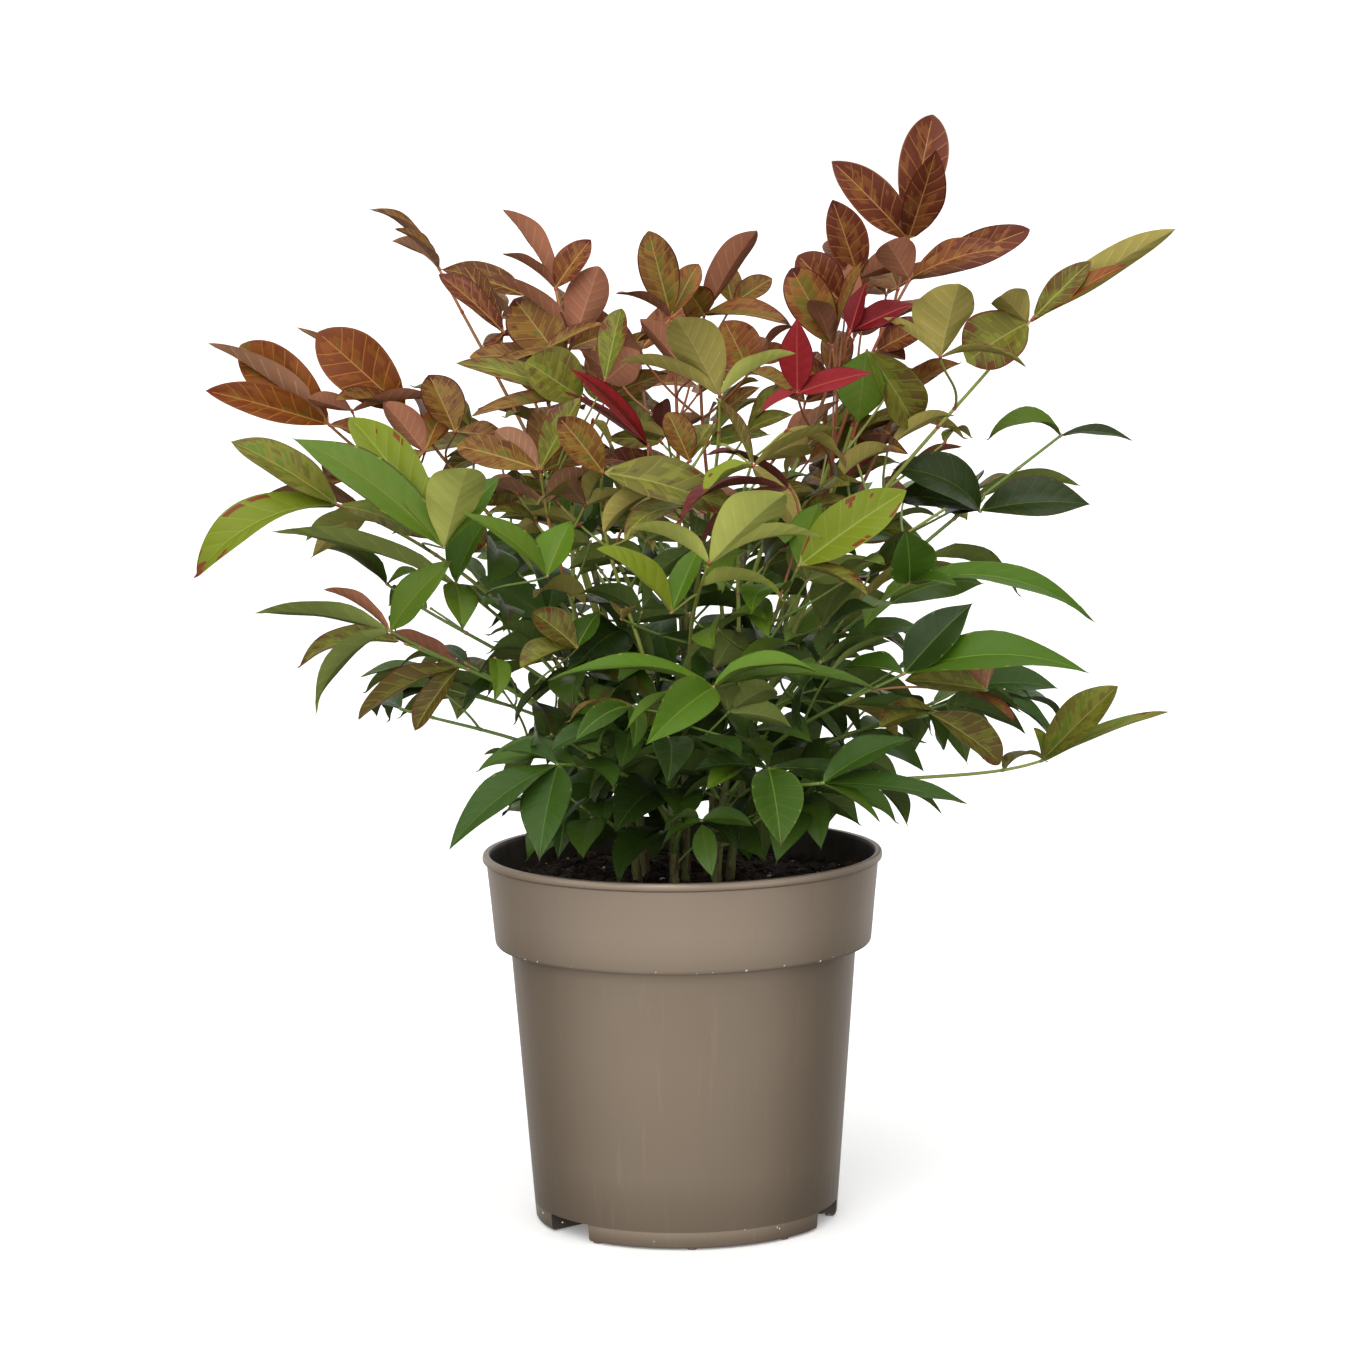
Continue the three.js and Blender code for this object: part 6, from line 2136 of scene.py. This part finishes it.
# A closed prism standing on an outline.
def prism_mesh(name, outline, low, high):
    count = len(outline)
    points = [(x * MM, y * MM, z * MM) for z in (low, high) for x, y in outline]
    faces = [tuple(reversed(range(count))), tuple(range(count, 2 * count))]
    faces += [(k, (k + 1) % count, count + (k + 1) % count, count + k) for k in range(count)]
    mesh = bpy.data.meshes.new(name)
    mesh.from_pydata(points, [], faces)
    return mesh


def rotated(outline, bearing):
    turn = math.radians(bearing)
    return [
        (x * math.cos(turn) - y * math.sin(turn), x * math.sin(turn) + y * math.cos(turn))
        for x, y in outline
    ]


ROOF_SET_BACK = 0.6
ROOF_FROM = 1.1
CUT_FROM, CUT_BEYOND = -2, 10
DRAIN_FROM, DRAIN_TO = 5, 13


def channel_roof(bearing):
    half = CHANNEL_WIDTH / 2 + WALL
    start, end = CHANNEL_START - WALL, BASE_RADIUS - ROOF_SET_BACK
    turn = math.asin(half / end)
    arc = [(end * math.cos(a), end * math.sin(a)) for a in np.linspace(-turn, turn, 9)]
    outline = rotated([(start, half), (start, -half)] + arc, bearing)
    return prism_mesh("roof", outline, ROOF_FROM, CHANNEL_HEIGHT + WALL)


def channel_cut(bearing):
    half, end = CHANNEL_WIDTH / 2, BASE_RADIUS + CUT_BEYOND
    outline = [(CHANNEL_START, -half), (end, -half), (end, half), (CHANNEL_START, half)]
    return prism_mesh("cut", rotated(outline, bearing), CUT_FROM, CHANNEL_HEIGHT)


def drain_cut(bearing):
    outline = [
        (DRAIN_REACH + DRAIN_RADIUS * math.cos(turn), DRAIN_RADIUS * math.sin(turn))
        for turn in around(28)
    ]
    return prism_mesh("drain", rotated(outline, bearing), DRAIN_FROM, DRAIN_TO)


# Gives the result of joining and cutting a mesh with several others.
def carved(mesh, steps):
    link = bpy.context.scene.collection.objects.link
    worked = bpy.data.objects.new("worked", mesh)
    link(worked)
    used = [worked]
    for operation, tool_mesh in steps:
        used.append(bpy.data.objects.new("tool", tool_mesh))
        link(used[-1])
        modifier = worked.modifiers.new("carve", "BOOLEAN")
        modifier.operation, modifier.solver, modifier.object = operation, "EXACT", used[-1]
    bpy.context.view_layer.update()
    graph = bpy.context.evaluated_depsgraph_get()
    result = bpy.data.meshes.new_from_object(worked.evaluated_get(graph))
    for old in used:
        data = old.data
        bpy.data.objects.remove(old)
        bpy.data.meshes.remove(data)
    return result


OUTER_LOOK, SHADED_INNER_LOOK = range(2)
CREASE = 28
INSIDE_TURN, LEVEL = -0.2, 0.5
LIP_FROM = 157.7
FLOOR_FROM, FLOOR_TO = 1.5, 125


# Faces inside the wall and over the inner floor take the darker inside material, which is painted
# shade.
def pot_look(face):
    out = Vector((face.center.x, face.center.y, 0)).normalized()
    height = face.center.z / MM
    inside = face.normal.dot(out) < INSIDE_TURN and height < LIP_FROM
    above_floor = face.normal.z > LEVEL and FLOOR_FROM < height < FLOOR_TO
    return SHADED_INNER_LOOK if inside or above_floor else OUTER_LOOK


def pot_mesh():
    steps = []
    for bearing in CHANNEL_BEARINGS:
        steps += [
            ("UNION", channel_roof(bearing)),
            ("DIFFERENCE", channel_cut(bearing)),
            ("DIFFERENCE", drain_cut(bearing)),
        ]
    mesh = carved(lathe_mesh("pot_shell", POT_PROFILE, POT_SIDES), steps)
    mesh.name = "nursery_pot"
    mesh.polygons.foreach_set("use_smooth", np.ones(len(mesh.polygons), bool))
    mesh.set_sharp_from_angle(angle=math.radians(CREASE))
    for face in mesh.polygons:
        face.material_index = pot_look(face)
    return mesh


NUB_REACH = 61.6
NUB_SHIFTS = (13.5, 52.5, 91.5)
NUB_HEIGHTS, NUB_RADII = (0.0, 0.25, 1.2), (1.7, 2.1, 2.2)


# Small round nubs under the foot, three to each stretch between the channels.
def nub_shapes():
    shapes = Shapes()
    for bearing in CHANNEL_BEARINGS:
        for shift in NUB_SHIFTS:
            middle = heading(bearing + shift, 0) * NUB_REACH
            points = [(middle.x, middle.y, height) for height in NUB_HEIGHTS]
            tube(shapes, points, repeated(UP, 3), repeated(RIGHT, 3), NUB_RADII, 16)
    return shapes


# Painted light: the collar is painted paler and the body painted darker towards the foot, in place
# of light that falls off down the pot; then streaks, clouds and specks.
def plastic_material():
    look = Look("pot_plastic", (136, 121, 104), 0.36, 0.4)
    look.shader.inputs["Metallic"].default_value = 0.4
    streaks = look.noise(260, 260, 5)
    look.tint(look.noise(14, 14, 9, detail=4, sharp=(0.35, 0.75)), (130, 115, 98))
    # Painted highlight on the collar, then painted shade that darkens the body towards the foot.
    look.tint(look.height(110, 135), (152, 136, 119))
    look.tint(look.height(80, -30), (116, 102, 86))
    look.tint(look.noise(320, 320, 4, detail=4, sharp=(0.6, 0.95)), (144, 129, 112))
    look.tint(look.noise(1500, detail=1, sharp=(0.77, 0.82)), (166, 153, 137))
    look.vary_roughness(streaks, 0.34, 0.5)
    look.bump(look.noise(1600, detail=2), 0.12, 0.1)
    look.bump(look.noise(240, 240, 6), 0.1, 0.25)
    return look.material


# Painted shade: the inside of the wall is painted darker than the outside, as the shade under the
# plant, with darker patches of compost stain.
def shaded_inner_material():
    look = Look("pot_inner_painted_shade", (66, 58, 50), 0.5, 0.4)
    look.tint(look.noise(120, 120, 60, detail=5, sharp=(0.45, 0.7)), (46, 38, 32))
    look.bump(look.noise(900, detail=3), 0.2, 0.15)
    return look.material


PLASTIC = plastic_material()
piece("nursery_pot", pot_mesh(), [PLASTIC, shaded_inner_material()], ["pot"])
form("foot_nubs", nub_shapes(), [PLASTIC])


SPECKS = 46
FOOT_SPECKS, COLLAR_SPECKS = (3, 5), (119.9, 1.2)
COLLAR_FOOT, COLLAR_SLOPE = (79.9, 119.9), 0.09
SPECK_SIZE = (0.22, 0.4)
SPECK_RINGS = (-0.25, 0.02, 0.12)


def collar_radius(height):
    radius, foot = COLLAR_FOOT
    return radius + COLLAR_SLOPE * (height - foot)


# Pale specks of dried water and grit along the lower edge of the collar and by the foot.
def speck_shapes():
    shapes = Shapes()
    for k in range(SPECKS):
        low = k % 3 == 0
        height = upward(*(FOOT_SPECKS if low else COLLAR_SPECKS), k, 601)
        radius = body_radius(height) if low else collar_radius(height)
        outward = heading(360 * chance(k, 600), 0)
        middle = Vector((outward.x * radius, outward.y * radius, height))
        size = SPECK_SIZE[0] + SPECK_SIZE[1] * chance(k, 602) ** 2
        rings = [middle + outward * shift for shift in SPECK_RINGS]
        radii = [size, size, size * 0.5]
        tube(shapes, rings, repeated(outward, 3), repeated(UP, 3), radii, 7)
    return shapes


SPECK = Look("dried_specks", (214, 206, 190), 0.7)
SPECK.bump(SPECK.noise(2500), 0.5, 0.2)
form("pot_specks", speck_shapes(), [SPECK.material])

# ------------------------------------------------------------ compost

SOIL_RADIUS = 79.9
SOIL_RINGS = 64
SOIL_SIDES = 180


# The compost's surface: how high and how wide its swells are, from large to small, and a seed;
# the third is folded into ridges.
SOIL_LEVEL = 0.6
SOIL_SWELLS = ((1.7, 26, 1.5), (1.5, 9, 4.5), (0.9, 3.4, 7.5), (0.6, 1.5, 9.5))
SOIL_EDGE, SOIL_EDGE_FROM, SOIL_EDGE_SHARE = 2.2, 0.93, 0.07
SOIL_SKIRT = ((78.2, 123), (72.4, 119), (71.2, 113), (64.0, 11))


def swell(x, y, size, seed):
    return gradient_noise(Vector((x / size, y / size, seed)))


def soil_height(x, y):
    broad, middle, ridged, fine = (
        (high, swell(x, y, wide, seed)) for high, wide, seed in SOIL_SWELLS
    )
    height = SOIL_TOP - SOIL_LEVEL + broad[0] * broad[1]
    height += middle[0] * middle[1] + ridged[0] * abs(ridged[1])
    return height + fine[0] * fine[1]


# A rough surface from the middle out, and a plain skirt below it down to the bottom.
def compost_mesh():
    points = [(0, 0, soil_height(0, 0))]
    for i in range(1, SOIL_RINGS + 1):
        radius = SOIL_RADIUS * i / SOIL_RINGS
        edge = SOIL_EDGE * max(0, i / SOIL_RINGS - SOIL_EDGE_FROM) / SOIL_EDGE_SHARE
        for turn in around(SOIL_SIDES):
            x, y = radius * math.cos(turn), radius * math.sin(turn)
            points.append((x, y, soil_height(x, y) - edge))
    for radius, height in SOIL_SKIRT:
        for turn in around(SOIL_SIDES):
            points.append((radius * math.cos(turn), radius * math.sin(turn), height))
    points.append((0, 0, SOIL_SKIRT[-1][1]))
    rings = SOIL_RINGS + len(SOIL_SKIRT)
    last = 1 + (rings - 1) * SOIL_SIDES
    quads, tris = [], []
    for k in range(SOIL_SIDES):
        after = (k + 1) % SOIL_SIDES
        tris += [(0, 1 + k, 1 + after), (last + after, last + k, len(points) - 1)]
        for i in range(rings - 1):
            here, out = 1 + i * SOIL_SIDES, 1 + (i + 1) * SOIL_SIDES
            quads.append((here + k, out + k, out + after, here + after))
    shapes = Shapes()
    shapes.add(points, quads, tris)
    return shapes.mesh("compost")


# A ball of twenty faces.
BALL_POINTS = np.array([
    (0, 0, 1), (0.894, 0, 0.447), (0.276, 0.851, 0.447), (-0.724, 0.526, 0.447),
    (-0.724, -0.526, 0.447), (0.276, -0.851, 0.447), (0.724, 0.526, -0.447),
    (-0.276, 0.851, -0.447), (-0.894, 0, -0.447), (-0.276, -0.851, -0.447),
    (0.724, -0.526, -0.447), (0, 0, -1),
])
BALL_FACES = np.array([
    (0, 1, 2), (0, 2, 3), (0, 3, 4), (0, 4, 5), (0, 5, 1), (1, 6, 2), (2, 7, 3), (3, 8, 4),
    (4, 9, 5), (5, 10, 1), (6, 7, 2), (7, 8, 3), (8, 9, 4), (9, 10, 5), (10, 6, 1),
    (11, 7, 6), (11, 8, 7), (11, 9, 8), (11, 10, 9), (11, 6, 10),
])


LUMP_ROOM = 2.5
LUMP_BULGES, LUMP_LEVEL, LUMP_HEIGHT = (0.75, 0.5), (0.7, 0.6), 0.65
LUMP_RISE, LUMP_RARITY = 0.15, 2.5


# Lumps strewn over the compost: how many, their sizes, and a seed.
def lump_shapes(count, least, most, seed):
    shapes = Shapes()
    for k in range(count):
        radius = (SOIL_RADIUS - LUMP_ROOM) * math.sqrt(chance(k, seed))
        bearing = 360 * chance(k, seed + 1)
        turn = math.radians(bearing)
        x, y = radius * math.cos(turn), radius * math.sin(turn)
        size = between(least, most, chance(k, seed + 2) ** LUMP_RARITY)
        bulges = [[upward(*LUMP_BULGES, k, p, seed + 3)] for p in range(len(BALL_POINTS))]
        flat = [upward(*LUMP_LEVEL, k, seed + more) for more in (4, 5)] + [LUMP_HEIGHT]
        spin = np.array(Matrix.Rotation(math.radians(bearing * 3), 3, "Z"))
        middle = np.array([x, y, soil_height(x, y) + LUMP_RISE * size])
        ball = BALL_POINTS * np.array(bulges) * np.array(flat) * size
        shapes.add(ball @ spin.T + middle, (), BALL_FACES)
    return shapes


FIBRES = 70
FIBRE_ROOM = 6
FIBRE_LENGTH = (4, 9)
FIBRE_BOW = 0.12
FIBRE_RISE = 0.5
FIBRE_RADII = (0.15, 0.28, 0.32, 0.3, 0.32, 0.26, 0.12)


# Bowed fibres that lie on the compost.
def fibre_shapes():
    shapes, count = Shapes(), len(FIBRE_RADII)
    for k in range(FIBRES):
        reach = (SOIL_RADIUS - FIBRE_ROOM) * math.sqrt(chance(k, 700))
        middle = heading(360 * chance(k, 701), 0) * reach
        out, bow = (heading(360 * chance(k, seed), 0) for seed in (702, 703))
        length = upward(*FIBRE_LENGTH, k, 704)
        points = []
        for share in np.linspace(-0.5, 0.5, count):
            bowed = bow * (1 - 4 * share * share) * length * FIBRE_BOW
            place = middle + out * length * share + bowed
            points.append((place.x, place.y, soil_height(place.x, place.y) + FIBRE_RISE))
        slopes = unit(np.gradient(np.array(points), axis=0))
        tube(shapes, points, slopes, repeated(UP, count), FIBRE_RADII, 5)
    return shapes


def compost_material():
    look = Look("compost_crumb", (36, 28, 23), 0.95, 0.2)
    look.tint(look.noise(260, detail=5, sharp=(0.45, 0.6)), (54, 42, 33))
    look.tint(look.noise(700, detail=3, sharp=(0.62, 0.7)), (84, 66, 50))
    look.bump(look.noise(600, detail=6), 0.9, 1.2)
    return look.material


def grain_material(name, colour, darker, scale):
    look = Look(name, colour, 0.85, 0.25)
    look.tint(look.noise(scale, detail=4, sharp=(0.4, 0.62)), darker)
    look.bump(look.noise(900, detail=4), 0.7, 0.5)
    return look.material


# What lies on the compost: name, material, its colour, its darker colour, the grain's repeats a
# metre, then the lumps' number, least and greatest size and seed.
LUMPS = (
    ("compost_lumps", "compost_lump", (48, 37, 29), (28, 22, 18), 500, (900, 0.7, 3.6, 720)),
    ("bark_chips", "bark_chip", (92, 66, 46), (58, 42, 30), 500, (60, 1.4, 4.2, 740)),
    ("pale_grit", "pale_grit", (206, 202, 192), (166, 160, 148), 900, (70, 0.4, 1.3, 760)),
)

piece("compost", compost_mesh(), [compost_material()], ["soil"])
for name, *grain, lumps in LUMPS:
    form(name, lump_shapes(*lumps), [grain_material(*grain)])
FIBRE = grain_material("peat_fibre", (104, 80, 54), (70, 52, 36), 400)
form("peat_fibres", fibre_shapes(), [FIBRE])

# ------------------------------------------------------------ camera, light and stage

FOCAL_PIXELS = 4286.6
PHOTO_PIXELS = 1366
FRONT_SIDE = (-0.1, -0.995, 0)
FRONT_SPREAD = (-0.1, 0.6)
BACK_SPREAD = (-0.45, -0.9)
LOW_SPREAD = (-0.42, -0.12)
CEILING_SPREAD = (0.5, 0.85)
FRONT_LIGHT, SIDE_LIGHT, BACK_LIGHT, CEILING_LIGHT = 1.5, 0.12, 0.9, 0.6
LOW_SHARE = 0.24
SEEN_WHITE = 1.02
FLOAT_FACTOR, FLOAT_FIRST, FLOAT_SECOND = 0, 2, 3
SENSOR = 36
CLIP = (0.05, 100)
FLOOR_REACH = 40
WHITE = (1, 1, 1, 1)
SUN_BEARING, SUN_RISE, SUN_STRENGTH, SUN_ANGLE = -106, 34, 0.9, 36
FLOOR_GLOW = 0.18


def add_camera():
    data = bpy.data.cameras.new("camera")
    data.sensor_width = SENSOR
    data.lens = FOCAL_PIXELS / PHOTO_PIXELS * SENSOR
    data.clip_start, data.clip_end = CLIP
    axes = Matrix((CAMERA_RIGHT, CAMERA_UP, -CAMERA_AHEAD)).transposed().to_4x4()
    camera = bpy.data.objects.new("camera", data)
    camera.matrix_world = Matrix.Translation(CAMERA_PLACE) @ axes
    bpy.context.scene.collection.objects.link(camera)
    bpy.context.scene.camera = camera


def add_stage():
    mesh = bpy.data.meshes.new("floor")
    corners = [(-1, -1), (1, -1), (1, 1), (-1, 1)]
    corners = [(x * FLOOR_REACH, y * FLOOR_REACH, 0) for x, y in corners]
    mesh.from_pydata(corners, [], [(0, 1, 2, 3)])
    look = Look("pale_floor", (242, 242, 241), 0.9, 0.2)
    look.shader.inputs["Emission Color"].default_value = WHITE
    look.shader.inputs["Emission Strength"].default_value = FLOOR_GLOW
    look.bump(look.noise(30, detail=2), 0.05, 0.5)
    mesh.materials.append(look.material)
    floor = bpy.data.objects.new("floor", mesh)
    bpy.context.scene.collection.objects.link(floor)
    floor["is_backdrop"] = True
    floor.visible_diffuse = floor.visible_glossy = False


# Soft boxes in front and overhead, a weaker one behind and little from the sides.
# The camera itself sees plain white past the floor.
def add_world():
    world = bpy.data.worlds.new("studio")
    bpy.context.scene.world = world
    world.use_nodes = True
    tree = world.node_tree
    nodes, link = tree.nodes, tree.links.new
    background = nodes["Background"]
    background.inputs["Color"].default_value = WHITE
    place = nodes.new("ShaderNodeTexCoord").outputs["Generated"]

    # A node of mathematics on a socket and, if need be, on a vector or another socket.
    def apply(kind, operation, first, second=None):
        node = nodes.new(kind)
        node.operation = operation
        link(first, node.inputs[0])
        if isinstance(second, tuple):
            node.inputs[1].default_value = second
        elif second:
            link(second, node.inputs[1])
        return node

    def vector(operation, *parts):
        node = apply("ShaderNodeVectorMath", operation, *parts)
        return node.outputs["Value" if operation == "DOT_PRODUCT" else "Vector"]

    def number(operation, *parts):
        return apply("ShaderNodeMath", operation, *parts).outputs[0]

    def smooth(value, spread_over, low, high):
        return ramp(tree, value, (*spread_over, low, high), "SMOOTHSTEP")

    parts = nodes.new("ShaderNodeSeparateXYZ")
    link(place, parts.inputs["Vector"])
    rise = parts.outputs["Z"]
    level = vector("NORMALIZE", vector("MULTIPLY", place, (1, 1, 0)))
    facing = vector("DOT_PRODUCT", level, FRONT_SIDE)
    front = smooth(facing, FRONT_SPREAD, SIDE_LIGHT, FRONT_LIGHT)
    back = smooth(facing, BACK_SPREAD, 0, BACK_LIGHT)
    sides = number("ADD", front, back)
    sides = number("MULTIPLY", sides, smooth(rise, LOW_SPREAD, LOW_SHARE, 1))
    studio = number("ADD", sides, smooth(rise, CEILING_SPREAD, 0, CEILING_LIGHT))
    seen = nodes.new("ShaderNodeLightPath").outputs["Is Camera Ray"]
    mix = nodes.new("ShaderNodeMix")
    link(seen, mix.inputs[FLOAT_FACTOR])
    link(studio, mix.inputs[FLOAT_FIRST])
    mix.inputs[FLOAT_SECOND].default_value = SEEN_WHITE
    link(mix.outputs[0], background.inputs["Strength"])


# A wide soft light from far off.
def add_sun():
    data = bpy.data.lights.new("soft_key", "SUN")
    data.energy = SUN_STRENGTH
    data.angle = math.radians(SUN_ANGLE)
    light = bpy.data.objects.new("soft_key", data)
    towards = -heading(SUN_BEARING, SUN_RISE)
    light.rotation_euler = towards.to_track_quat("-Z", "Y").to_euler()
    bpy.context.scene.collection.objects.link(light)


add_camera()
add_world()
add_stage()
add_sun()
bpy.context.scene.view_settings.view_transform = "Standard"

SIZES = [[list(corner) for corner in box] for box in (CAD_BOX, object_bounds())]
dict(cad=SIZES[0], visual=SIZES[1])
